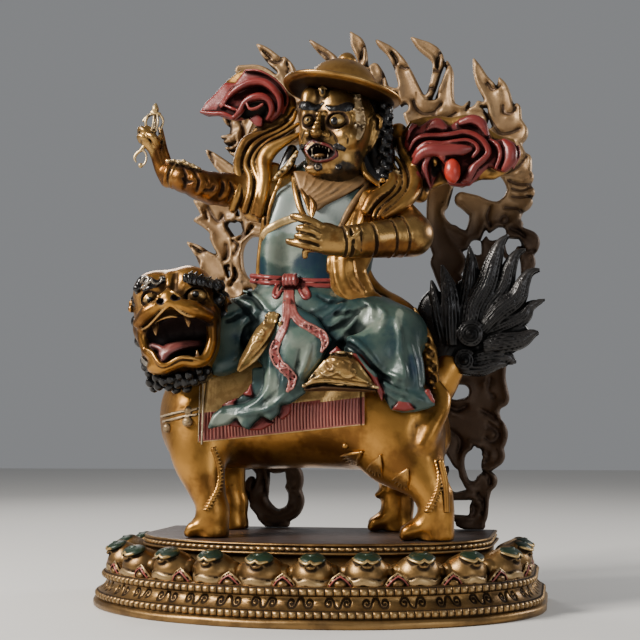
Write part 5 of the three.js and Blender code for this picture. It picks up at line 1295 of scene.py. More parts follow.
def build_lion_head(material):
    """The open-mouthed head, its eyes, teeth, brows and beard."""
    clay = Clay((-104, -67, 106), (-33, 2, 190), 0.6, "hide")
    clay.frame = np.array(LION_HEAD)
    clay.ball((0, 2, 6), (24.5, 22, 23.5), blend=0)
    clay.ball((0, -3, -14), (22, 17.5, 19), blend=8)
    for side in (-1, 1):
        clay.ball((side * 9.5, -8, 18), (11.5, 12, 10.4), blend=5)
        clay.ball((side * 14.5, -10, -2), (9, 10, 10), blend=4)
    # Upper lip, in two pouches that meet below the nose
    clay.limb([(1.5, -27, 7.3, 2.4, 5), (-4, -27, 6.6, 3.4, 5), (-10.1, -25, 4.5, 4.4, 6),
        (-16, -19, 1.2, 3.8, 6)], 2.0)
    clay.limb([(1.5, -27, 7.3, 2.4, 5), (7, -27, 5.2, 3.4, 5), (13.2, -25, 2.3, 4.2, 6),
        (18.1, -19, -0.7, 3.6, 6)], 2.0)
    # The open mouth
    clay.dent((2.3, -24, -10), (15.5, 17, 10.4), blend=1.2, paint="mouth")
    clay.dent((-7.3, -22, -10.5), (8, 13, 8.4), blend=1.2, paint="mouth")
    clay.dent((11.4, -20, -11.6), (8.5, 13, 9.6), blend=1.2, paint="mouth")
    clay.dent((1.2, -27, -2.7), (5, 8, 4), blend=1.2, paint="mouth")
    # Rims of the lips
    clay.limb([(-16.3, -21, -3.5, 0.9), (-11.3, -26, -2.5, 0.8), (-4, -29.5, 2.3, 0.8),
        (1.8, -31, 5.5, 0.8), (4.5, -31, 4.1, 0.8), (7.6, -30, 0.8, 0.8), (11.1, -28, -1.4, 0.8),
        (15.5, -26, -1.6, 0.8), (19.2, -20, -1.3, 0.9)], 0.4)
    clay.limb([(-9.1, -23, -1.3, 0.6), (-4.1, -25.5, 0.1, 0.8), (0.3, -26, 0.5, 0.8),
        (3.8, -25, -0.2, 0.6)], 0.5)
    clay.limb([(-16.7, -17, -2.8, 3, 4), (-17.4, -17, -8.6, 2.8, 4), (-15.8, -18, -14.8, 2.6, 4),
        (-11.9, -21, -19.3, 2.8, 4), (-7.6, -22, -24.8, 3, 4), (-2.6, -22.5, -24.5, 3, 4),
        (3.9, -22.5, -23.4, 3, 4), (9.9, -21.5, -25, 3, 4), (14.9, -18, -23.1, 3, 4),
        (18.6, -15, -15.5, 3, 4), (19.5, -14, -7.5, 3, 4)], 1.6)
    clay.limb([(-15.3, -22, -14.1, 0.8), (-11.5, -25, -17, 1), (-9.2, -27, -21.4, 1.2),
        (-6.7, -28, -24.2, 1.3), (-3.5, -28, -24.3, 1.1), (0.4, -28, -22.6, 0.9), (4.2, -28, -21.7, 0.9),
        (9.1, -27, -23, 0.9), (14, -23, -24.4, 0.9), (16.1, -20, -20.8, 0.9), (18.1, -17, -13.9, 0.8)], 0.4)
    clay.ball((-9.7, -19, -23.8), (7, 6, 4.5), blend=3)
    # Tongue and fangs
    clay.limb([(10.9, -8, -14.3, 6, 2.2), (3.4, -14, -14.2, 7.4, 2.4), (-2, -20, -15.4, 7.4, 2.4),
        (-5.2, -24, -17.9, 4.4, 2.2), (-6.1, -25.5, -21.5, 1.6, 1.6)], 0.8, "tongue", facing=(0, -0.3, 1))
    clay.limb([(-12.8, -18, -12.6, 1.8), (-9.1, -21, -14.2, 1.8), (-5, -24, -16.8, 1.4)], 1.0, "tongue")
    clay.groove([(6.9, -15, -14.2, 0.7), (0.2, -20, -15.2, 0.8), (-4.4, -25, -17.5, 0.8)], 0.8)
    for fang in ([(-9, -21, -1.1, 2), (-8.8, -23, -4.5, 1.5), (-8.7, -24, -7.8, 0.5)],
            [(9, -23, 0.2, 2), (9.2, -24.5, -3.1, 1.5), (9.3, -25, -6.4, 0.4)],
            [(10.8, -20, -24.2, 1.6), (11.3, -22, -21.8, 1.2), (11.5, -22.5, -18.7, 0.4)]):
        clay.limb(fang, 0.3, "tooth")
    # Nose between two thin wings, with its nostrils
    clay.limb([(0.8, -24, 13.7, 1.6, 2.6), (0.8, -27, 10.6, 3.2, 3.4), (1, -28, 8.4, 4.4, 3.4)], 2.0)
    clay.ball((-3.3, -26.5, 8.9), (3.0, 2.8, 2.4), blend=1.2)
    clay.ball((4.8, -26.5, 9.3), (3.4, 2.8, 2.6), blend=1.2)
    clay.dent((-2.5, -30, 8.1), (1.9, 2.4, 1.5), blend=0.5, paint="mouth")
    clay.dent((5.3, -30, 9.3), (1.9, 2.4, 1.5), blend=0.5, paint="mouth")
    clay.limb([(1.3, -27, 14.1, 0.8), (-1.7, -29, 12.1, 0.9), (-4.5, -28.6, 9.7, 0.9), (-6.4, -27, 7, 0.7)],
        0.4)
    clay.limb([(1.3, -27, 14.1, 0.8), (4.9, -29, 11.9, 0.8), (7.5, -28.4, 8.9, 0.8), (8.6, -27, 6.8, 0.6)],
        0.4)
    clay.frame = np.eye(4)
    clay.fold([(-66.9, -52, 176.4, 0.8, 0.8), (-66.7, -54, 173.5, 1.6, 1.6), (-66.6, -55, 169.7, 1.4, 1.6)],
        3.5, lift=-0.6)
    for line in ([(-71, -52, 175, 0.4), (-69.8, -53, 172.1, 0.7), (-69.1, -54, 168.8, 0.4)],
            [(-63.3, -52, 176.3, 0.4), (-63.4, -53, 172.5, 0.8), (-63.6, -54, 168.7, 0.4)]):
        clay.crease(line, 2.4)
    # Left eye in its rings, and the long right eye
    left = clay.spot((-78.3, -50, 163.2))
    clay.dent(left, (5.0, 3.0, 4.6), blend=1.4, paint="shadow")
    clay.ball(left + np.array([0, 0.4, 0]), (3.5, 3.3, 3.4), blend=0.3, paint="eye")
    clay.stud((-76.9, -54, 162.8), (1.6, 0.9, 1.6), 0.15, "pupil")
    clay.fold(sized(arc((-75.5, -58, 162.3), 2.2, 0, 360, 16), 0.28), 0.1, "eye", lift=0.1)
    for radius, start, end, wide in ((3.5, 210, -60, 0.55), (5.0, 225, 20, 0.7)):
        clay.fold(sized(arc((-76.8, -54, 162.4), radius, start, end, 14), wide), 0.4, lift=0.1)
    right = clay.spot((-52.8, -50, 165.1))
    clay.dent(right, (6.4, 3.4, 4.4), blend=1.6, paint="shadow")
    clay.ball(right + np.array([0, 0.6, -0.2]), (5.4, 3.7, 3.5), blend=0.3, paint="eye")
    clay.stud((-51.8, -54, 165.1), (1.8, 0.9, 1.8), 0.15, "pupil")
    clay.fold(sized(arc((-50.5, -58, 164.6), 2.4, 0, 360, 16), 0.28), 0.1, "eye", lift=0.1)
    clay.fold([(-58.5, -52, 165.6, 0.6), (-56.5, -53, 168, 0.8), (-53, -53, 169.3, 0.9),
        (-49.2, -52, 168.7, 0.9), (-46.8, -50, 166.3, 0.7), (-46, -49, 163.5, 0.6)], 0.4)
    clay.fold([(-58.2, -52, 164.5, 0.5), (-55.1, -53, 161.9, 0.7), (-50.7, -53, 161, 0.7),
        (-47, -51, 162.4, 0.6)], 0.4)
    clay.fold([(-60.4, -52, 167.2, 0.5), (-57.9, -53, 169.9, 0.7), (-54.1, -53, 171.5, 0.8),
        (-49.5, -52, 171.1, 0.7)], 0.5)
    # Left brow: a band of black scrolls that ends in a ball, with painted highlights in silver
    for line in ([(-88.3, -43, 168.5, 1.6, 1.2), (-86.6, -45, 171.5, 2.2, 1.5),
            (-83.4, -47, 174.2, 2.6, 1.8), (-78.4, -50, 173.1, 2, 1.6), (-73.7, -52, 171.8, 1.6, 1.4),
            (-70.1, -53, 172.5, 1.3, 1.2)], [(-72.8, -53, 170.1, 0.7, 0.8), (-77.6, -52, 169.6, 0.9, 0.9),
            (-81.7, -50, 168.1, 0.8, 0.9)]):
        clay.fold(line, 0.5, "hair")
    clay.stud((-69.9, -53, 173), (1.9, 1.6, 1.9), 0.3, "hair", 0.3)
    clay.stud((-87.1, -46, 170), (2.2, 1.8, 2.2), 0.3, "hair", 0.3)
    # Painted highlights in silver along the curls of the brow
    for line in ([(-83.6, -50, 172.7, 0.5), (-82, -50, 175.5, 0.7), (-78.8, -51, 174.9, 0.6),
            (-79.5, -51, 172.6, 0.6), (-81.5, -51, 172.1, 0.5)], [(-83.6, -50, 169.4, 0.5),
            (-80.2, -51, 171, 0.7), (-77.3, -52, 173, 0.6), (-76.7, -52, 174.8, 0.5)],
            [(-76.8, -52, 173.9, 0.5), (-75, -53, 171.5, 0.6), (-72.1, -54, 171.2, 0.6),
            (-70.5, -54, 172.8, 0.5), (-71.1, -54, 174.7, 0.5)]):
        clay.fold(line, 0.15, "silver", lift=0.4)
    # Right brow: a ball and a tuft of standing locks
    clay.fold([(-58.3, -52, 173.2, 1.3, 1.2), (-54.4, -52, 171.8, 1.7, 1.5), (-50.1, -50, 172.5, 2.6, 1.8),
        (-46.1, -47, 171.4, 2.8, 1.8), (-43.8, -42, 169.5, 2.2, 1.6)], 0.6, "hair")
    clay.stud((-57.4, -53, 174.4), (2.0, 1.6, 2.0), 0.2, "hair", 0.4)
    for lock in range(11):
        u = lock / 10 + 0.02 * math.sin(lock * 2.3)
        foot = np.array((-54.6, -54, 171)) * (1 - u) + np.array((-43.8, -42, 169)) * u
        head = np.array((-55.2, -49, 177.8)) * (1 - u) + np.array((-43.6, -38, 173.8)) * u
        middle = (foot + head) / 2 + np.array([-0.5 + 0.5 * math.sin(lock * 4.1),
            -2.0 + 0.4 * math.sin(lock * 2.9), 0.4])
        head[2] += 1.1 * math.sin(lock * 3.7)
        thick = 1.15 + 0.25 * math.sin(lock * 5.3)
        clay.limb([(*foot, 0.7), (*middle, thick), (*head, 0.5)], 0.12, "hair")
    # Black hair at the temples and the small gilt ear
    for spot in ((-89.1, -40, 166.7), (-90.4, -38, 163.2), (-84.9, -46, 168.6), (-88.9, -38, 159.9)):
        clay.ball(spot, (2.4, 3.2, 2.6), blend=0.8, paint="hair")
    clay.ball((-93.7, -36, 163.2), (1.7, 2.2, 2.2), blend=0.4)
    clay.ball((-94, -36, 160.2), (1.8, 2.2, 2.0), blend=0.4)
    clay.frame = np.array(LION_HEAD)
    for x, y, z in [(23, -5, 8), (24.5, 0, 0), (24.5, 3, 10), (22.5, 6, 17), (25, 8, 3), (24, 4, -9),
            (-22.5, 6, 16), (-24.5, 9, 5), (-24, 9, -6)]:
        clay.ball((x, y, z), 4.2, blend=1.0, paint="hair")
    clay.limb([(24, 4, -1, 3.2, 4), (27.5, 1, 3, 3.0, 4.5), (27, 0, 8, 1.6, 2.4)], 1.0)
    clay.dent((29, -1.6, 3), (1.8, 2.6, 2.8), blend=0.8, paint="shadow")
    # Beard of glossy curls, full on the left and tucked under the jaw on the right
    clay.ball((1, -3, -29), (15, 11, 7.5), blend=2, paint="hair")
    for x, y, z, radius in [(-19.4, -10, -19.1, 2.6), (-19, -11, -22.5, 2.7), (-16.6, -14, -26.2, 2.9),
            (-12.8, -17, -29.3, 2.6), (-17, -13, -31.2, 2.9), (-13, -14, -33.7, 2.7),
            (-9.1, -17, -31.8, 2.8), (-7.6, -13, -34.7, 2.8), (-5.3, -17, -31.5, 2.6),
            (-2.4, -14, -33.7, 3), (1.9, -14, -33.8, 3), (6, -13, -33.8, 3), (10.2, -11, -32.2, 3),
            (12.9, -9, -29.3, 2.8), (-0.8, -17, -30.3, 2.4), (4.5, -17, -30.6, 2.6), (9.7, -15, -29.1, 2.4),
            (-4.9, -9, -36.3, 2.8), (1, -9, -36.7, 2.8), (-16.7, -9, -34.3, 2.4)]:
        clay.ball((x, y, z), radius, blend=0.3, paint="hair")
        clay.ball((x - radius * 0.3, y - radius * 0.7, z + radius * 0.35), radius * 0.45, blend=0.15,
            paint="hair")
    # Wisps at the left of the jaw; the upper two carry a painted highlight in silver
    for step in range(4):
        wisp = [(x, y, z - step * 1.5, radius) for x, y, z, radius in [(-20.2, -13, -17, 0.6),
            (-18, -16, -19.7, 0.8), (-15.6, -19, -21.3, 0.6)]]
        clay.limb(wisp, 0.15, "silver" if step < 2 else "hair")
    # Hair down the nape
    for row in range(4):
        for step in range(5):
            angle = math.radians(35 + step * 27.5)
            z = 16 - row * 11
            clay.ball((24 * math.cos(angle), 3 + 20.5 * math.sin(angle), z), (5.2, 4.2, 5.2), blend=0.8,
                paint="hair")
    return finish_piece(clay.mesh("lion_head"), material, "snow_lion")


def build_tail(material):
    """The raised fan of black hair."""
    clay = Clay((44, -7, 110), (129, 13, 204), 0.62)
    locks = [([(73.1, 1, 138.5, 4, 3), (70.5, 1, 151.1, 5.2, 3.4), (68, 1, 163.8, 3.6, 3),
        (65.6, 1, 176, 0.8, 1)], 5), ([(76.5, -0.5, 140, 5, 3), (76.2, -0.5, 154.7, 5.4, 3.6),
        (75.3, -0.5, 170, 4.4, 3), (71.7, -0.5, 183.9, 0.8, 1)], 6),
        ([(81.8, 1.5, 142.7, 4.6, 3), (84.2, 1.5, 158, 5.4, 3.6), (86.6, 1.5, 172.7, 5, 3),
        (87.3, 1.5, 184.8, 3.2, 2.4), (86.6, 1.5, 194.2, 0.7, 1)], 6),
        ([(86.3, -0.5, 144.7, 4.4, 3), (88.7, -0.5, 159.8, 5.6, 3.6), (95.3, -0.5, 172.2, 5.6, 3.4),
        (99.3, -0.5, 184.6, 4.6, 3), (103.3, -0.5, 194.9, 2.4, 2), (107.6, -0.5, 199.4, 0.7, 0.9)], 7),
        ([(89.4, 1.5, 148, 4.4, 3), (96.6, 1.5, 160.9, 5.6, 3.6), (104.3, 1.5, 170.5, 5.2, 3.2),
        (107.7, 1.5, 181.4, 4, 3), (111.6, 1.5, 188.9, 2.2, 2), (116.5, 1.5, 191.5, 0.6, 0.9)], 7),
        ([(92.8, -0.5, 147.8, 4.2, 3), (102, -0.5, 157.9, 5.6, 3.6), (111.2, -0.5, 164.7, 5.2, 3.2),
        (115.1, -0.5, 173.2, 3.6, 2.6), (118.9, -0.5, 178.6, 2, 1.8), (124.3, -0.5, 180, 0.6, 0.9)], 7),
        ([(93.7, 1.5, 145.7, 4, 3), (105, 1.5, 150.4, 5, 3.4), (114.2, 1.5, 155.1, 4.6, 3),
        (118.5, 1.5, 160.4, 2.8, 2.2), (126.5, 1.5, 163.9, 0.5, 0.8)], 6),
        ([(93.7, -0.5, 139.1, 4.6, 3), (103.3, -0.5, 140.5, 5.6, 3.6), (112.9, -0.5, 142, 4.4, 3),
        (118.8, -0.5, 145.1, 2.6, 2), (123, -0.5, 146.1, 0.7, 0.9)], 7),
        ([(88.1, 1, 131.7, 4.6, 3), (96.7, 1, 133.2, 5, 3.4), (104.2, 1, 133.6, 4.2, 2.8),
        (107.9, 1, 131.4, 2.6, 2), (110.5, 1, 130.3, 0.8, 1)], 6), ([(81.7, -0.5, 127.4, 3.4, 3),
        (91.3, -0.5, 126.7, 3.6, 3), (99.9, -0.5, 129.3, 2.6, 2.4), (105.8, -0.5, 129.2, 0.9, 1)], 4),]
    clay.limb([(58, 3, 114, 9, 5), (68, 3, 128, 13, 5), (76, 3, 142, 15, 5), (82, 3, 152, 12, 4.5)], 0)
    clay.limb([(90, 3.5, 140, 8, 4), (104, 3.5, 146, 12, 4), (110, 3.5, 152, 10, 3.6)], 2,
        facing=(0, -1, 0))
    clay.limb([(82, 3.5, 150, 12, 4), (90, 3.5, 165, 14, 4), (97, 3.5, 175, 10, 3.4)], 2)
    clay.limb([(66, 3.5, 140, 8, 4), (66, 3.5, 158, 9, 4), (70, 3.5, 166, 8, 3.4)], 2)
    for line, count in locks:
        clay.strands(line, count, 0.2, arch=0.55, fill=1.12)
        behind = [(x, 6.5 - (y - 0.5) * 0.3, z, wide, deep) for x, y, z, wide, deep in line]
        clay.strands(behind, count, 0.2, arch=0.55, fill=1.12, facing=(0, 1, 0))
    # Two whorls at the root
    for centre, radius in (((87, -3, 145.5), 7.2), ((83.3, -3, 131.5), 5.6)):
        x, y, z = centre
        clay.ball((x, y + 4, z), (radius * 1.05, 5.5, radius * 1.05), blend=1)
        for turn, reach in enumerate(np.arange(radius, 1.0, -1.55)):
            rise = -1.2 - 1.4 * turn / 4
            clay.limb(sized(arc((x, y + rise + 1.2, z), (reach, reach - 1.5), 40, 400, 22), 0.82, 1.3), 0.2)
        clay.ball((x, y - 1.8, z), 1.5, blend=0.3)
    clay.limb([(80.2, -2, 127.3, 1.2), (82.9, -2, 125.1, 1.2), (88.2, -2, 124.5, 1),
        (94.6, -1, 125.6, 0.8)], 0.2)
    thing = clay.mesh("lion_tail")
    return finish_piece(thing, material, "snow_lion")


def build_saddlecloth(material, body):
    """A cloth over the barrel: a gold field above a ribbed red border, inside a frame of raised lines."""
    left, right = -55.3, 33.8
    columns, rows, around = 300, 44, 57.0
    stations = smooth_path(TRUNK, 12)
    x = np.linspace(left, right, columns)
    tall = np.interp(x, stations[:, 0], stations[:, 3]) + 2.4
    deep = np.interp(x, stations[:, 0], stations[:, 4]) + 3.2
    middle = np.interp(x, stations[:, 0], stations[:, 2])
    low = np.interp(x, [left, right], [88.3, 97.0])
    start = np.arcsin(np.clip((low - middle) / tall, -1, 1))
    ribs = np.abs(np.sin(math.pi * (x - left) / 1.76)) ** 0.6
    flap = Patchwork()
    edge_x = np.minimum(x - left, right - x)[None, :]
    border = np.interp(x, [left, -10, right], [15.5, 15.5, 14.0])[None, :]
    share = (np.linspace(0, 1, rows) ** 1.35)[:, None]
    up = share * around
    ribbed = smoothstep(up, 1.2, 1.5) * smoothstep(border - up, 0.0, 0.3) * smoothstep(edge_x, 1.0, 1.3)
    line = np.maximum(smoothstep(np.abs(up - 0.6), 0.9, 0.5), smoothstep(np.abs(up - border - 0.9), 0.9,
        0.5))
    line = np.maximum(line, smoothstep(np.abs(edge_x - 0.6), 0.8, 0.5))
    line = np.maximum(line, smoothstep(np.abs(edge_x - 3.2), 0.6, 0.35) * (up > border + 1.5))
    lift = 0.35 + 0.85 * ribs[None, :] * ribbed + 0.7 * line
    # Hollow values, darkened with grime and painted shade, between the ribs, in the groove inside the frame
    # lines and a little over the field
    hollow = smoothstep(ribs, 0.7, 0.15)[None, :] * ribbed + 0.06 * (1 - ribbed) * (1 - line)
    hollow = np.maximum(hollow, 0.8 * smoothstep(np.abs(edge_x - 1.9), 0.6, 0.3))
    worn = np.clip(smoothstep(ribs, 0.7, 1.0)[None, :] * ribbed * 0.8 + line * 0.5, 0, 1)
    field = np.where((up > border + 0.2) | (up < 0.9), 1.0, -1.0) * np.ones_like(lift)
    for side in (-1, 1):
        angle = start + (np.radians(75) - start) * share
        spread = np.broadcast_to(x, angle.shape)
        high, out = middle + tall * np.sin(angle), deep * np.cos(angle)
        # The cloth lies on the shoulder where that stands out further than the barrel
        steps = np.arange(46.0, 8.0, -0.5)
        places = np.stack(np.broadcast_arrays(spread[..., None], side * steps, high[..., None]), -1)
        solid = body.sample(body.field, places.reshape(-1, 3)).reshape(*angle.shape, len(steps)) < 0
        skin = np.where(solid.any(-1), steps[np.argmax(solid, -1)], 0) * (angle < 0.7)
        out = np.maximum(out, skin + 0.6)
        for _ in range(3):
            beside = out[1:-1, :-2] + out[1:-1, 2:] + out[:-2, 1:-1] + out[2:, 1:-1]
            out[1:-1, 1:-1] = (beside + 2 * out[1:-1, 1:-1]) / 6
        outer = np.stack([spread, side * (out + lift * np.cos(angle)), high + lift * np.sin(angle)], -1)
        inner = np.stack([spread, side * (out - 2.0), high - 2.0 * np.maximum(np.sin(angle), 0)], -1)
        shell = np.concatenate([outer, inner[::-1]])
        values = {"hollow": (hollow, 0.4), "edge": (worn, 0.0), "paint_gold": (field, 1.0)}
        values = {key: np.concatenate([face, np.full_like(angle, back)]) for key,
            (face, back) in values.items()}
        if side > 0:
            shell = shell[:, ::-1]
            values = {key: value[:, ::-1] for key, value in values.items()}
        flap.grid(shell, wrap_rows=True, **{key: value.reshape(-1) for key, value in values.items()})
        for column in (0, -1):
            ends = np.stack([outer[:, column], inner[:, column]])
            flap.grid(ends if (column == 0) == (side < 0) else ends[::-1], hollow=0.3, paint_gold=1.0)
    return finish_piece(flap.build("saddlecloth"), material, "snow_lion")


MOUTH = Finish((0.020, 0.009, 0.007), (0.012, 0.006, 0.005), (0.006, 0.003, 0.003), 0.2, 0.5)
TONGUE = Finish((0.15, 0.040, 0.034), (0.08, 0.02, 0.018), (0.012, 0.004, 0.004), 0.1, 0.36,
    (0.34, 0.15, 0.12))
EYE_GOLD = Finish((0.42, 0.27, 0.10), (0.26, 0.15, 0.05), (0.03, 0.015, 0.006), 0.7, 0.28)
AMBER = Finish((0.20, 0.10, 0.03), (0.12, 0.06, 0.02), (0.02, 0.01, 0.005), 0.5, 0.3, (0.36, 0.22, 0.09))
GLOSSY = Finish((0.010, 0.008, 0.007), (0.006, 0.005, 0.005), (0.002, 0.002, 0.002), 0.2, 0.17,
    (0.03, 0.026, 0.024))
# Silver, for painted highlights on black hair
HIGHLIGHT_SILVER = Finish((0.24, 0.21, 0.17), (0.12, 0.10, 0.08), (0.008, 0.006, 0.005), 0.8, 0.26,
    (0.55, 0.50, 0.43))
HAIR_GOLD = Finish((0.36, 0.18, 0.044), (0.13, 0.055, 0.014), (0.009, 0.004, 0.002), 0.93, 0.34,
    (0.62, 0.38, 0.14))
STRAP = Finish((0.30, 0.21, 0.11), (0.16, 0.10, 0.05), (0.012, 0.008, 0.004), 0.6, 0.4, (0.62, 0.50, 0.34))
RIB_RED = Finish((0.20, 0.036, 0.028), (0.125, 0.018, 0.015), (0.012, 0.002, 0.002), 0.15, 0.38,
    (0.56, 0.26, 0.19))
FIELD_GOLD = Finish((0.58, 0.37, 0.14), (0.36, 0.20, 0.065), (0.016, 0.009, 0.004), 0.55, 0.46,
    (0.80, 0.62, 0.36), 210.0, 0.7)
LINE_BROWN = Finish((0.085, 0.045, 0.020), (0.05, 0.026, 0.011), (0.008, 0.005, 0.003), 0.5, 0.5)
# Dark brown, for the painted shadow in eye sockets and ears and for the soles of the boots
DARK_BROWN = Finish((0.10, 0.05, 0.02), (0.06, 0.03, 0.012), (0.01, 0.006, 0.004), 0.7, 0.45)


def build_lion():
    """The lion with its materials, from the body outwards."""
    body = build_lion_body(make_material("lion_hide", LION_GOLD, [("nail", PALE_GOLD)]))
    build_lion_trim(make_material("lion_hair", HAIR_GOLD, [("strap", STRAP)]), body)
    face = make_material("lion_face", LION_GOLD, [("mouth", MOUTH), ("tongue", TONGUE), ("tooth", AMBER),
        ("silver", HIGHLIGHT_SILVER), ("eye", EYE_GOLD), ("pupil", BLACK), ("hair", GLOSSY), ("shadow", DARK_BROWN)])
    build_lion_head(face)
    build_tail(make_material("tail_black", BLACK, grain=0.1))
    build_saddlecloth(make_material("saddle_red", RIB_RED, [("gold", FIELD_GOLD)]), body)


# Rider

RIDER_HEAD = Matrix.Translation((16, -6, 260)) @ Matrix.Rotation(math.radians(-17), 4, "Z")
ROBE = Finish((0.040, 0.066, 0.054), (0.010, 0.034, 0.037), (0.002, 0.004, 0.005), 0.15, 0.36,
    (0.23, 0.28, 0.24), 46.0, 0.9)
CHEST = Finish((0.25, 0.285, 0.265), (0.10, 0.19, 0.16), (0.006, 0.010, 0.010), 0.1, 0.38,
    (0.48, 0.52, 0.50), 40.0, 0.8)
SHEEN = Finish((0.150, 0.180, 0.145), (0.055, 0.100, 0.080), (0.005, 0.009, 0.009), 0.15, 0.34,
    (0.42, 0.48, 0.45), 45.0, 0.8)
# Dark blue-green, for painted shade on the robe
ROBE_SHADE = Finish((0.004, 0.018, 0.036), (0.004, 0.034, 0.034), (0.002, 0.004, 0.007), 0.2, 0.32,
    (0.04, 0.09, 0.12), 60.0, 0.8)
COAT = Finish((0.42, 0.225, 0.062), (0.155, 0.066, 0.017), (0.010, 0.005, 0.003), 0.92, 0.34,
    (0.80, 0.58, 0.28), 45.0, 0.85)
BROWN_GOLD = Finish((0.20, 0.082, 0.018), (0.075, 0.028, 0.008), (0.006, 0.003, 0.002), 0.92, 0.34,
    (0.46, 0.24, 0.08), 55.0, 0.85)
SKIN = Finish((0.36, 0.21, 0.068), (0.15, 0.078, 0.025), (0.009, 0.005, 0.003), 0.92, 0.30,
    (0.72, 0.53, 0.27), 80.0, 0.8)
SHAWL = Finish((0.235, 0.135, 0.056), (0.12, 0.062, 0.024), (0.012, 0.007, 0.004), 0.5, 0.48,
    (0.58, 0.41, 0.25))
LIP = Finish((0.095, 0.008, 0.008), (0.05, 0.005, 0.005), (0.006, 0.002, 0.002), 0.1, 0.28,
    (0.30, 0.09, 0.07))
# Dark brown beard, also used for painted shade on the face
BEARD_AND_SHADE = Finish((0.055, 0.034, 0.016), (0.012, 0.009, 0.006), (0.003, 0.002, 0.002), 0.6, 0.34,
    (0.20, 0.13, 0.06), 160.0, 0.9)
BOOT_GOLD = Finish((0.43, 0.27, 0.095), (0.22, 0.12, 0.04), (0.010, 0.006, 0.003), 0.85, 0.36,
    (0.78, 0.62, 0.38), 120.0, 0.8)
ROUGH_GOLD = Finish((0.44, 0.31, 0.16), (0.16, 0.095, 0.04), (0.02, 0.010, 0.005), 0.6, 0.48,
    (0.72, 0.58, 0.38), 300.0, 0.9)
BRIGHT_RED = Finish((0.42, 0.035, 0.018), (0.30, 0.02, 0.012), (0.04, 0.004, 0.004), 0.1, 0.30,
    (0.75, 0.22, 0.15))


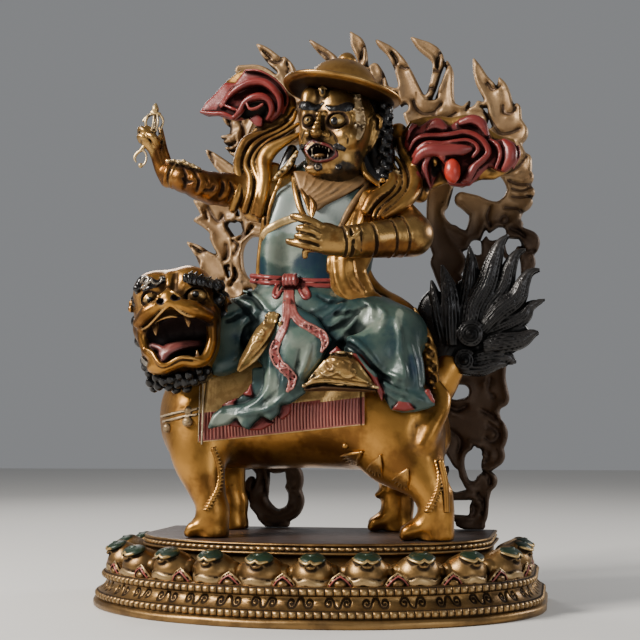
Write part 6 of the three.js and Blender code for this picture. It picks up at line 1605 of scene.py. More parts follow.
def build_robe(material):
    """The body and its robes, on which the rider's other pieces are laid."""
    clay = Clay((-82, -54, 84), (88, 26, 246), 0.9, "robe")
    clay.limb([(3, 0, 158, 31, 21), (3, 0, 174, 29, 20.5), (4, 0, 190, 29, 21), (6, 0, 208, 32, 22),
        (9, 1, 224, 33, 18), (11, 1, 236, 22, 13)], 0)
    clay.limb([(-13.6, -8, 219.5, 9, 12), (-17.7, -8, 204.4, 10, 13), (-20, -8, 187.6, 9.5, 13),
        (-18.8, -8, 171.8, 10, 13)], 5)
    clay.limb([(-43, -15, 150, 13, 14), (-28, -12, 154, 17, 18), (4, -4, 157, 18, 24),
        (34, -10, 152, 16, 20), (50, -19, 144, 13.5, 15)], 8)
    clay.limb([(-42, -18, 151, 14, 13), (-46, -23, 142, 13, 10), (-42, -29, 131, 11, 7)], 6)
    clay.limb([(50, -19, 144, 13.5, 14), (45, -30, 136, 14, 10), (32, -36, 132, 12, 8)], 8)
    # Front of the skirt, from the belt to the hem over the near flank
    clay.limb([(4, -22, 160, 26, 8), (0, -30, 142, 24, 7), (-6, -33, 126, 20, 5)], 5)
    apron = [(-19, -34, 153.7), (-9.3, -31, 163.4), (9.1, -33, 153.1), (17.5, -38, 140.9),
        (12.6, -40, 130.5), (4.3, -41, 120.1), (4.2, -41, 113.4), (-3.2, -41, 108.3), (-9.1, -41, 107.3),
        (-10.2, -41, 102.6), (-13.9, -41, 99), (-19.3, -41, 101.7), (-23.6, -41, 98), (-26.3, -41, 94.4),
        (-29.6, -41, 96), (-32.8, -41, 100.7), (-38.3, -41, 97.1), (-48.6, -41, 95), (-46.2, -40, 102.9),
        (-41.3, -40, 106.5), (-28.8, -40, 108), (-21.2, -40, 112.1), (-18.5, -40, 117.9),
        (-18.5, -40, 124.7), (-21, -39, 131.1), (-22.8, -36, 141.9)]
    under = [(-26.1, -36, 127.1), (-17.4, -36, 128), (-16, -37, 114.3), (-20.4, -37, 109.1),
        (-29.6, -37, 106), (-44.4, -37, 105), (-34.5, -37, 110.2), (-30.7, -37, 113.4), (-25.8, -37, 118.6)]
    clay.sheet(under, 1.6, 0.4)
    clay.sheet([(-31.4, -38.5, 113.3), (-28.1, -38.5, 114.9), (-26, -38.5, 119.1), (-24.3, -38.5, 111.2)],
        1.3, 0.2, "lining")
    clay.sheet([(-42.9, -38.5, 107.1), (-38.5, -38.5, 109.7), (-33, -38.5, 111.8), (-35.2, -38.5, 107)],
        1.3, 0.2, "lining")
    clay.sheet([(-39.5, -38.5, 96.6), (-33.5, -38.5, 101.8), (-29.2, -38.5, 95.5)], 1.6, 0.2, "lining")
    clay.sheet([(-28.1, -38.5, 93.9), (-20, -38.5, 102.7), (-12.9, -38.5, 98), (-19.9, -38.5, 94.4)], 1.6,
        0.2, "lining")
    clay.sheet([(-11.3, -38.5, 100.6), (-10.8, -38.5, 108.4), (-3.8, -38.5, 108.9), (-4.9, -38.5, 102.6),
        (-9.2, -38.5, 99.5)], 1.6, 0.2, "lining")
    clay.sheet(apron, 2.4, 1.2, bulge=5)
    # Side flap over the far knee, with its wavy lining
    flap = [(47, -31, 138.3), (55.3, -30, 144), (60.9, -29, 138.7), (63.9, -29, 131.3), (65, -30, 124),
        (64.7, -33, 116.6), (60.3, -35, 112.5), (54.6, -35, 112), (48.3, -35, 112.1), (44.2, -35, 116.8),
        (44, -33, 127.3)]
    clay.sheet(flap, 3.4, 4, bulge=5, smooth=True)
    hem = [(41.4, -37, 118.8), (50.9, -38, 117.6), (60.1, -37, 117.6), (66.5, -35, 114.5),
        (70.8, -33, 106.8), (66.8, -34.5, 104.8), (60.8, -36, 103.3), (54.2, -37, 102.8),
        (48.2, -38, 104.3), (44.6, -38, 110.5)]
    clay.sheet(hem, 2.0, 2.0, bulge=2)
    clay.sheet([(48.5, -40, 104.6), (51.7, -40.5, 107.8), (54.3, -40.5, 110.1), (57.3, -40, 108.3),
        (60.9, -39, 104.7), (55.2, -40, 103.5)], 1.4, 0.2, "lining")
    clay.sheet([(65.2, -37, 114.4), (67.7, -36.5, 115.4), (71.1, -35.5, 107.8), (69.1, -36, 108.3)], 1.2,
        0.2, "lining")
    clay.sheet([(27.8, -45, 133.5), (33.8, -44, 133), (38.3, -43, 127.3), (42.2, -42, 120.1),
        (45.1, -41, 113.5), (44.3, -41, 107.9), (41.6, -42, 114), (37.7, -43, 122.2), (33.4, -45, 128.3)],
        1.5, 0.2, "lining")
    clay.sheet([(16.2, -45, 132.7), (21.5, -45, 137.2), (26.2, -45, 132.5)], 1.4, 0.3, "lining")
    # Folds of the skirt over the thighs and knees
    for line in ([(-34.5, -24, 169.8, 0.8), (-29.2, -25, 167.9, 1.3), (-24.4, -26, 163.8, 1.4),
            (-21.1, -26, 160, 1.2), (-16.9, -27, 157, 0.7)], [(-36.2, -24, 164.9, 0.7),
            (-31.4, -25, 163, 1), (-26.6, -26, 159, 0.8)], [(-46.4, -20, 155.7, 0.8),
            (-41.8, -22, 155.1, 1.2), (-39, -22, 158.1, 0.8)], [(-24.4, -28, 158.2, 0.7),
            (-29.2, -29, 155, 1.1), (-32.5, -29, 150.7, 1.2), (-34.7, -29, 144.8, 1),
            (-36.1, -28, 139.5, 0.7)], [(-26.1, -28, 154.5, 0.7), (-29.7, -29, 151.2, 1),
            (-31.4, -29, 146.4, 0.9)], [(15.8, -26, 164.4, 0.7), (11.4, -26, 160.7, 1.1),
            (5.4, -26, 158.2, 0.7)], [(21.2, -26, 162.1, 0.7), (16.5, -27, 157.3, 1.2),
            (10.2, -28, 153.6, 0.7)], [(23.9, -26, 158.8, 0.7), (20.5, -28, 153.9, 1.3),
            (15.4, -30, 149, 0.8)], [(28.4, -27, 154.3, 0.7), (25.7, -30, 148.3, 1.3),
            (20.6, -32, 143.5, 0.8)], [(40, -26, 159.5, 0.8), (43.9, -27, 154.5, 1.3),
            (41.9, -28, 148.1, 0.8)], [(18.2, -36, 140.6, 0.8), (24.4, -38, 141.9, 1.5),
            (31.3, -38, 138.6, 1.7), (37.2, -36, 131.9, 1.6), (42.1, -34, 125.7, 1.5),
            (48.2, -33, 122.5, 1.2), (52.6, -31, 121, 0.8)], [(40.8, -33, 122.1, 0.8),
            (45.3, -32, 116.9, 1.4), (52.4, -30, 114.3, 0.9)], [(49.6, -26, 152.9, 0.6),
            (51.9, -28, 143.1, 1.3), (51.4, -29, 133.6, 0.7)], [(52.2, -31, 131.9, 0.6),
            (55, -33, 124, 1.3), (54.9, -37, 113.5, 0.7)], [(57.1, -28, 138.3, 0.6),
            (59.8, -30, 128.2, 1.2), (61.7, -34, 116.6, 0.7)], [(24.8, -40, 137.5, 0.4),
            (30.5, -40, 134.3, 0.8), (36.1, -39, 127.1, 0.9), (41.6, -38, 120.8, 0.9),
            (48.8, -38, 115.6, 0.8), (57, -38, 112.4, 0.8), (65.1, -37, 108.3, 0.4)],
            [(44.8, -39, 114.6, 0.5), (51.1, -40, 110.4, 0.9), (58.2, -39, 108.3, 0.5)],
            [(32.2, -24, 163.1, 0.7), (36.7, -25, 158.6, 1.2), (36.8, -26, 153.2, 0.8)],
            [(-15.5, -39, 138.9, 0.9), (-14.7, -40, 125.7, 1.7), (-15.8, -40, 116.3, 1.5),
            (-21.5, -41, 109, 1.2), (-31.2, -41, 103.8, 0.8)], [(-6.7, -42, 112.4, 0.8),
            (-13.7, -42, 106.3, 1.6), (-22.8, -42, 103.7, 1.4), (-35.3, -42, 101.7, 0.8)],
            [(6.2, -40, 138.4, 0.9), (4.3, -41, 129.5, 1.6), (0.2, -42, 119.1, 0.9)],
            [(-41, -41, 104.4, 0.8), (-44.8, -41, 100.8, 1.2), (-47.5, -41, 96.1, 0.9)]):
        clay.fold(line, 1.6)
    for line in ([(-33.9, -24, 167.6, 0.2), (-28, -25, 165.1, 0.5), (-23.3, -26, 160, 0.2)],
            [(-28.3, -28, 151.8, 0.2), (-31.4, -29, 148.5, 0.5), (-33, -29, 142.6, 0.2)],
            [(20.2, -38, 137.8, 0.2), (27, -38, 138.2, 0.5), (33, -36, 132.5, 0.6), (38.9, -34, 125.2, 0.6),
            (45, -33, 120.5, 0.2)], [(-11, -40, 136.1, 0.2), (-10.2, -41, 124.5, 0.6),
            (-11.8, -41, 115.1, 0.6), (-19.1, -42, 107.4, 0.2)], [(0.9, -40, 135.9, 0.2),
            (-1.1, -41, 125.4, 0.5), (-5.4, -41, 116.1, 0.2)], [(-44.6, -22, 153.3, 0.2),
            (-37.3, -24, 155.6, 0.6), (-28.9, -26, 160.7, 0.2)], [(-44.1, -20, 167.8, 0.2),
            (-36.2, -24, 162.7, 0.5), (-26.1, -28, 152.3, 0.2)], [(7.6, -26, 165.7, 0.2),
            (14.2, -26, 162.3, 0.4), (22.7, -25, 163.2, 0.2)], [(17.6, -27, 155.7, 0.2),
            (26.2, -27, 156.5, 0.4), (33.6, -26, 159.6, 0.2)], [(14.7, -29, 147, 0.2),
            (22.3, -29, 150, 0.4), (29.5, -27, 156.4, 0.2)]):
        clay.crease(line, 2.0)
    # Paler cloth on the chest, painted sheen on the lap, knees and apron, and painted shade under the near
    # knee, under the hand, beside the waist and under the edge of the coat
    thing = clay.mesh("robe", 0.0)
    tint(thing, "chest", ((-12.5, -20, 217.1), (19, 16, 22)), ((13.6, -22, 211.8), (15, 14, 14)))
    tint(thing, "sheen", ((-41.8, -24, 161.8), (9, 9, 7)), ((-14.4, -26, 165.2), (15, 12, 8)),
        ((30.6, -34, 150.4), (15, 12, 10)), ((51.9, -28, 146.3), (3, 10, 12)),
        ((-38.5, -42, 99.7), (10, 6, 4)), ((-11.5, -22, 191.9), (14, 12, 10)),
        ((0.9, -40, 135.9), (10, 8, 14)), ((-14.2, -40, 115.2), (5, 8, 12)))
    tint(thing, "dark", ((6.4, -20, 182.8), (16, 12, 9)), ((46.5, -28, 135.9), (9, 12, 16)),
        ((58.2, -30, 124.1), (7, 10, 12)), ((-37.2, -20, 143.4), (12, 12, 12)),
        ((-25.9, -16, 183.3), (5, 10, 7)))
    finish_piece(thing, material, "rider")
    return clay


def braid(clay, line, turns, on, paint="belt"):
    """A flat band with raised edges and a thin line that runs from one edge to the other and back."""
    rows = np.array(on.settle(line, 0.3, per_span=10))
    clay.limb([(x, y, z, wide, 0.9) for x, y, z, wide, _ in rows], 0.2, paint, per_span=1)
    along = np.gradient(rows[:, :3], axis=0)
    along /= np.linalg.norm(along, axis=1, keepdims=True)
    across = np.cross(along, (0, 1, 0))
    forward = np.array([0, -1.15, 0])
    t = np.linspace(0, 1, len(rows))[:, None]
    weave = 2 / math.pi * np.arcsin(np.sin(t * turns * math.pi))
    for swing, thick in ((0.95, 0.55), (-0.95, 0.55), (weave * 0.8, 0.5)):
        clay.limb(sized(rows[:, :3] + across * rows[:, 3:4] * swing + forward, thick), 0.1, paint,
            per_span=1)


def build_trimmings(material, robe):
    """Belt, ribbons, collar, strap and boots, laid on the robe."""
    clay = Clay((-58, -58, 106), (52, -6, 246), 0.6, "gold")
    # Belt of two cords, knotted in front
    for line in ([(-32.1, -14, 179.3, 1.5), (-22.6, -20, 177.4, 1.5), (-11, -24, 175.7, 1.5)],
            [(-32.1, -14, 176.5, 1.5), (-22.6, -20, 174.4, 1.5), (-11.5, -24, 173, 1.5)],
            [(-4.9, -24, 175, 1.5), (3.5, -22, 174.4, 1.5), (13.7, -18, 174.6, 1.5)],
            [(-2.7, -24, 171.9, 1.5), (4.6, -22, 171.7, 1.5), (13.7, -18, 171.6, 1.5)]):
        clay.fold(line, 0.3, "belt", robe)
    knot = (-7.7, -26, 174.2)
    clay.ball((knot[0], knot[1] + 1.5, knot[2]), (4.6, 3, 4.4), blend=0.3, paint="belt")
    for wrap in range(4):
        x = knot[0] - 3.3 + wrap * 2.0
        clay.limb([(x - 0.4, -22, knot[2] + 4.0, 0.95), (x, -27, knot[2] + 1.8, 1.05),
            (x + 0.3, -27, knot[2] - 1.8, 1.05), (x + 0.5, -22, knot[2] - 4.2, 0.95)], 0.15, "belt")
    for line in ([(-10.3, -27, 174.2, 1), (-13.1, -29, 172.4, 1.2), (-15.1, -30, 169.1, 1.2),
            (-15.6, -30, 165.9, 1.2), (-13.7, -30, 165, 1.2), (-12, -29, 168, 1.1), (-10.3, -27, 171.5, 1)],
            [(-9.7, -27, 173.1, 0.6), (-12.6, -29, 170.8, 0.8), (-14, -30, 166.9, 0.7)],
            [(-4.7, -27, 174, 1), (-0.5, -29, 172, 1.2), (2.5, -30, 168.6, 1.2), (3.6, -30, 165.3, 1.2),
            (1.4, -30, 164.1, 1.2), (-1, -29, 167.2, 1.2), (-3.7, -27, 171.3, 1)],
            [(-3.6, -27, 172.9, 0.7), (0.1, -29, 169.3, 0.9), (1.4, -30, 165.9, 0.8)]):
        clay.fold(line, 0.2, "belt", robe)
    for shift in (-1, 0, 1):
        left = [(x + shift * 1.55, y, z, 0.95) for x, y, z in [(-8.1, -28, 170.2), (-8.5, -30, 161.9),
            (-8.5, -32, 153.7), (-10.2, -34, 146.1), (-12.2, -36, 140.6)]]
        right = [(x + shift * 1.1, y, z + shift * 1.1, 0.95) for x, y,
            z in [(-6.7, -28, 170.2), (-6, -30, 161.8), (-3.6, -32, 154.6), (1.2, -34, 150.1),
            (6.8, -35, 147.2), (11.3, -36, 143.9)]]
        clay.fold(left, 0.15, "belt", robe)
        clay.fold(right, 0.15, "belt", robe)
    braid(clay, [(-12, -37, 140.5, 2), (-13.3, -38, 135.2, 2.3), (-10.4, -40, 129.3, 2.4),
        (-5.9, -41, 125, 2.4), (-2.7, -41, 121.3, 2.2), (-3.5, -41, 117.1, 1.6), (-5.6, -41, 114.3, 0.4)],
        9, robe)
    braid(clay, [(1.9, -35, 149.9, 1.4), (7.5, -36, 146.6, 2), (12.5, -37, 143.7, 2),
        (14.1, -38, 139.4, 1.7), (12.4, -39, 134.7, 0.4)], 7, robe)
    # Shawl at the neck and the bands of the collar
    neck = [(-9.2, -12, 237.2), (11.7, -12, 235), (31.3, -9, 233.6), (29.6, -12, 227.4), (21, -17, 221.2),
        (11.2, -21, 215.9), (6.4, -22, 212.6), (2, -22, 216.7), (-4.5, -18, 225.5)]
    clay.sheet(neck, 2.2, 1.5, "shawl", bulge=1, smooth=True)
    for step in range(6):
        t = step / 5
        upper = np.array((28.1, -16, 229.4)) * (1 - t) + np.array((-0.1, -20, 232.7)) * t
        lower = np.array((7.3, -26, 215.1)) * (1 - t) + np.array((-1.3, -22, 225.7)) * t
        middle = (upper + lower) / 2 + np.array([0.8, -2.4, -1.2])
        thick = 0.95 - 0.3 * t
        clay.fold([(*upper, 0.4), (*middle, thick), (*lower, 0.4)], 0.5, "shawl", lift=0.1)
    for line, paint in (([(-8.8, -14, 235.6, 1.4), (-6.2, -19, 225.4, 1.8), (-3, -22, 214.7, 1.8),
            (-0.6, -23, 210.5, 1.4)], "gold"), ([(-4.6, -15, 233.4, 0.8), (-1.2, -20, 223.9, 1),
            (3.9, -23, 214.2, 0.8)], "shawl"), ([(32.6, -10, 229.9, 1.3), (27.4, -16, 220, 1.7),
            (22.7, -19, 211.4, 1.7), (18.7, -20, 202.6, 1.5)], "shawl")):
        clay.fold(line, 0.4, paint, robe, 0.4)
    strap = [(-27.5, -10, 200.5, 2.2, 1.2), (-23.4, -15, 204, 2.3, 1.2), (-16.1, -19, 206.9, 2.3, 1.2),
        (-8.6, -22, 208.6, 2.3, 1.2), (-2.8, -23, 209.2, 2.2, 1.2)]
    clay.limb(robe.settle(strap, 0.2), 0.3, "pale", per_span=1)
    # Leaf-shaped ends above the near hand
    for line in ([(-0.7, -30, 223.4, 0.8), (2.2, -33, 218.3, 1.5), (4, -34, 213.2, 1.2),
            (4.8, -35, 208.6, 0.8)], [(3.9, -31, 219.2, 0.8), (7.3, -34, 213.6, 1.7), (7, -35, 209.1, 1.2),
            (6.1, -36, 205.7, 0.7)], [(1.7, -31, 220.4, 0.6), (4.9, -33, 214.4, 1.2),
            (5.9, -35, 208, 0.8)]):
        clay.limb(line, 0.3, "gold")
    # Near boot, seen from its outer side, with two rows of ruffles at its cuff
    clay.sheet([(-25.9, -39, 142.8), (-22.9, -38, 148.1), (-18.8, -37, 152.4), (-10.8, -36, 151.7),
        (-12.3, -38, 145.8), (-16.9, -40, 138.3), (-22.6, -41, 130.4), (-30.5, -42, 124.7),
        (-32.6, -42, 125.3), (-31.3, -41, 131.1), (-28.3, -40, 137.5)], 3.2, 0.4, "boot", bulge=4)
    for line in ([(-9.9, -41, 149.1, 0.7), (-12.9, -43, 142.7, 0.8), (-16.7, -45, 136.9, 0.8),
            (-22.6, -45, 130.2, 0.8), (-30.4, -44, 124.9, 0.6)], [(-12.3, -41, 149.2, 0.3),
            (-15.1, -43, 143.3, 0.5), (-18.8, -45, 137.5, 0.5), (-24.8, -45, 131.3, 0.3)],
            [(-24, -44, 140.3, 0.4), (-22.9, -44, 143.4, 0.6), (-20.7, -44, 144.4, 0.6),
            (-18.3, -44, 143.8, 0.6), (-17.5, -44, 145.6, 0.6), (-19.1, -44, 146.7, 0.5)],
            [(-26.4, -45, 133.9, 0.3), (-23.7, -45, 138.6, 0.5), (-20.5, -45, 140.9, 0.5),
            (-18.3, -45, 141.1, 0.4)], [(-28.5, -45, 128.7, 0.3), (-25.9, -45, 133.9, 0.5),
            (-23.7, -45, 136, 0.5)]):
        clay.fold(line, 0.15, "boot", lift=0.3)
    clay.sheet([(-19.1, -38, 150.7), (-18.2, -37, 155.5), (-14.7, -36, 156.9), (-10, -36, 154.9),
        (-10.3, -36, 150.1), (-14.2, -38, 150.8)], 2.4, 0.4, "boot", bulge=1)
    for x, y, z, radius in [(-17.2, -44, 150.4, 1.1), (-15.1, -44, 151.4, 1.2), (-12.9, -44, 151.3, 1.2),
            (-10.8, -44, 150.7, 1.2), (-8.9, -43, 149.7, 1.2), (-16.4, -43, 153.6, 1.2),
            (-14.5, -43, 154.9, 1.3), (-12.4, -43, 155, 1.3), (-10.4, -43, 154.2, 1.3),
            (-8.8, -42, 153, 1.2)]:
        clay.stud((x, y, z), radius, 0.2, "boot", 0.2)
    # Far boot, a bell with an engraved scroll above its sole
    clay.sheet([(19, -43, 133.8), (27.9, -43, 133.7), (32.6, -43, 129.5), (36.7, -43, 122.7),
        (41.7, -42, 116.1), (32.1, -44, 116.6), (17.7, -45, 118.3), (3.8, -44, 116.4), (8.1, -44, 121.5),
        (13.4, -44, 128.2)], 4.6, 0.5, "boot", bulge=6)
    for line in ([(4.7, -49, 116.7, 0.8), (10.1, -51, 118.6, 0.8), (18.1, -52, 119, 0.8),
            (26.9, -52, 117.9, 0.8), (35.2, -50, 116.8, 0.8), (42.9, -47, 115.6, 0.7)],
            [(7.1, -49, 118.7, 0.3), (12.2, -51, 120.9, 0.5), (19.1, -52, 121, 0.5),
            (27.4, -52, 119.9, 0.5), (38.2, -49, 118.1, 0.3)], [(18.9, -48, 133, 0.6),
            (24.3, -49, 133.6, 0.7), (29.8, -48, 132.8, 0.6)], [(16, -49, 129.4, 0.6),
            (11.8, -49, 124.8, 0.6), (7.6, -49, 119.8, 0.5)], [(19.5, -51, 127.7, 0.5),
            (21, -51, 126.1, 0.6), (19.5, -51, 124.6, 0.7), (17.2, -51, 125.9, 0.7),
            (17.2, -51, 128.5, 0.7), (19.5, -51, 130.2, 0.7), (22.6, -51, 129.9, 0.5)],
            [(13.8, -51, 123.7, 0.5), (17.1, -52, 121.8, 0.7), (20.7, -52, 122.5, 0.7),
            (23.3, -52, 123.7, 0.7), (25.3, -52, 121.7, 0.7), (28.4, -52, 120.6, 0.7),
            (31.3, -51, 121.9, 0.7), (32.1, -51, 124.2, 0.6), (30.1, -51, 125.2, 0.5), (29, -51, 124, 0.4)],
            [(27.1, -50, 129.6, 0.5), (29.9, -50, 128.1, 0.6), (29.3, -51, 126, 0.5)],
            [(32.6, -49, 128.6, 0.5), (36.1, -49, 123.5, 0.6), (39.5, -48, 118.9, 0.5)],
            [(23.1, -51, 127.6, 0.4), (24.7, -51, 129.1, 0.5), (26.5, -51, 128.1, 0.4)]):
        clay.fold([(*row[:3], row[3] * 1.2) for row in line], 0.15, "boot", lift=0.35)
    clay.sheet([(3.8, -44, 115.9), (14.9, -44, 117.8), (28, -44, 116.6), (41.6, -42, 115.3),
        (41.1, -42, 113.2), (28.8, -43, 113.9), (17.5, -44, 114.2), (4.9, -44, 114.1)], 5.0, 0.1, "sole")
    thing = clay.mesh("rider_trim")
    return finish_piece(thing, material, "rider")


def build_coat(material):
    """The gold coat that hangs open at the front and lies over the saddle behind."""
    clay = Clay((-56, -40, 104), (84, 34, 246), 0.95)
    clay.limb([(8, 5, 234, 22, 12), (6, 8, 224, 30, 14), (3, 11, 200, 28, 14), (2, 13, 178, 27, 14),
        (6, 15, 158, 38, 15), (11, 17, 140, 47, 13), (13, 17, 122, 47, 12)], 0)
    clay.limb([(-20, -8, 239.7, 7, 4), (-25.2, -10, 228.1, 7.6, 4.4), (-27.3, -11, 219, 7, 4),
        (-27, -12, 213.1, 4.5, 3.4)], 2.0)
    clay.limb([(-39.1, -8, 220.1, 3.4, 3), (-33.6, -9, 215.6, 4.4, 3.4), (-27.8, -11, 212.8, 3.4, 3)], 2.0)
    clay.limb([(-24, -17, 210.4, 1.9, 2.6), (-25.9, -15, 200.2, 1.9, 2.8), (-27.6, -14, 188.1, 1.9, 2.8),
        (-28.7, -13, 174.9, 1.8, 2.6)], 1.0)
    clay.limb([(-14.7, -18, 232.2, 1, 1.4), (-18.4, -20, 221.9, 1.1, 1.6), (-21, -20, 212.5, 1.1, 1.6),
        (-22.6, -18, 199.5, 1, 1.4), (-25.6, -14, 186.9, 1, 1.4), (-29.5, -9, 175.9, 0.9, 1.2)], 0.4)
    # Right half, from the shoulder to the lap and back over the saddle
    clay.sheet([(29.6, -12, 225.2), (38.6, -6, 228.2), (50.3, -2, 226.3), (54.9, -4, 214.5),
        (41.9, -14, 207.7), (34.8, -12, 186.3), (32.2, -10, 180), (36.8, -12, 168.7), (45.8, -14, 162.2),
        (40.2, -20, 160.1), (25.4, -22, 159.2), (19, -23, 161.9), (14, -22, 170.3), (12.3, -19, 184.9),
        (17.4, -19, 203.4), (24.8, -17, 216.6)], 3.4, 3.0, bulge=5)
    clay.fold([(13.1, -20, 189.1, 1.4), (12.7, -21, 180.2, 1.6), (13.7, -22, 170.3, 1.9),
        (17.4, -23, 164.1, 2.2), (22.8, -23, 159.7, 2.4), (29.9, -23, 159, 2.2), (37.1, -21, 160.1, 1.8),
        (44.2, -18, 161.3, 1.2)], 0.8)
    for line in ([(16.3, -19, 201.2, 1), (15.8, -20, 184.6, 1.2), (17.8, -22, 172.4, 1.2),
            (23.2, -22, 164.6, 1.1), (31.7, -21, 162.9, 0.9)], [(31.9, -13, 216.5, 1),
            (29.9, -15, 206.9, 1.4), (29, -16, 201.2, 1)], [(24.4, -16, 184.9, 1), (25.7, -17, 176, 1.3),
            (31.1, -17, 168.2, 1)], [(33.1, -14, 208, 0.8), (32, -14, 215.2, 1.2), (35.1, -12, 221, 1.3),
            (42.2, -8, 223.2, 1)], [(26.8, -16, 212.3, 0.8), (24.8, -17, 204.5, 1.2)]):
        clay.fold(line, 1.4)
    clay.limb([(25, 0, 187.2, 5), (29.4, 0, 174.8, 6), (37.5, -2, 166.5, 6), (46.9, -6, 160.9, 6),
        (53.9, -10, 154.8, 6), (59.6, -13, 145.8, 5), (64.5, -15, 136.5, 5), (66.7, -17, 125.7, 4),
        (67.3, -19, 117.1, 3)], 5)
    for line in ([(39, -12, 165.3, 1), (48, -14, 160.5, 1.3), (55.7, -16, 153.7, 1.4),
            (61.4, -20, 143.6, 1.2)], [(37.4, -16, 161.7, 0.9), (46.3, -18, 156.9, 1.2),
            (53, -20, 149.1, 1)]):
        clay.fold(line, 1.2)
    # Ruffled edge that falls behind the far knee
    for x, y, z, radius in [(59.7, -18, 152.3, 2.2), (61.4, -19, 147.9, 2.5), (64, -19, 144.2, 2.4),
            (63, -20, 139.9, 2.4), (66.5, -19, 137.7, 2.6), (65, -20, 132.9, 2.4), (68, -19, 130.3, 2.4),
            (66.1, -21, 126, 2.4), (68.6, -20, 123.4, 2.2), (67.2, -22, 119.1, 2.2), (68.7, -22, 116, 1.9)]:
        clay.ball((x, y, z), (radius, 3.2, radius * 0.7), turn=(0, 0.7, 0), blend=0.5)
    clay.limb([(58.5, -16, 158.4, 1, 2), (61.7, -17, 151.8, 1.1, 2), (65.5, -18, 145.8, 1.1, 2),
        (68.3, -18, 137.2, 1.1, 2), (70.1, -19, 128.7, 1.1, 2), (70.2, -21, 117, 1, 2)], 0.5)
    clay.limb([(-34, 14, 160, 6, 8), (-38, 16, 140, 5, 8), (-38, 18, 122, 4, 7)], 5)
    # Vertical folds down the back
    for step in range(9):
        x = -32 + step * 8.6
        clay.limb([(x * 0.55 + 4, 23.4, 205, 1.0, 1.5), (x * 0.62 + 3, 25.6, 176, 1.6, 2),
            (x + 8, 28.4, 148, 2.2, 2), (x * 1.05 + 10, 27.6, 122, 2.4, 2)], 3)
    thing = clay.mesh("coat", 0.02)
    return finish_piece(thing, material, "rider")


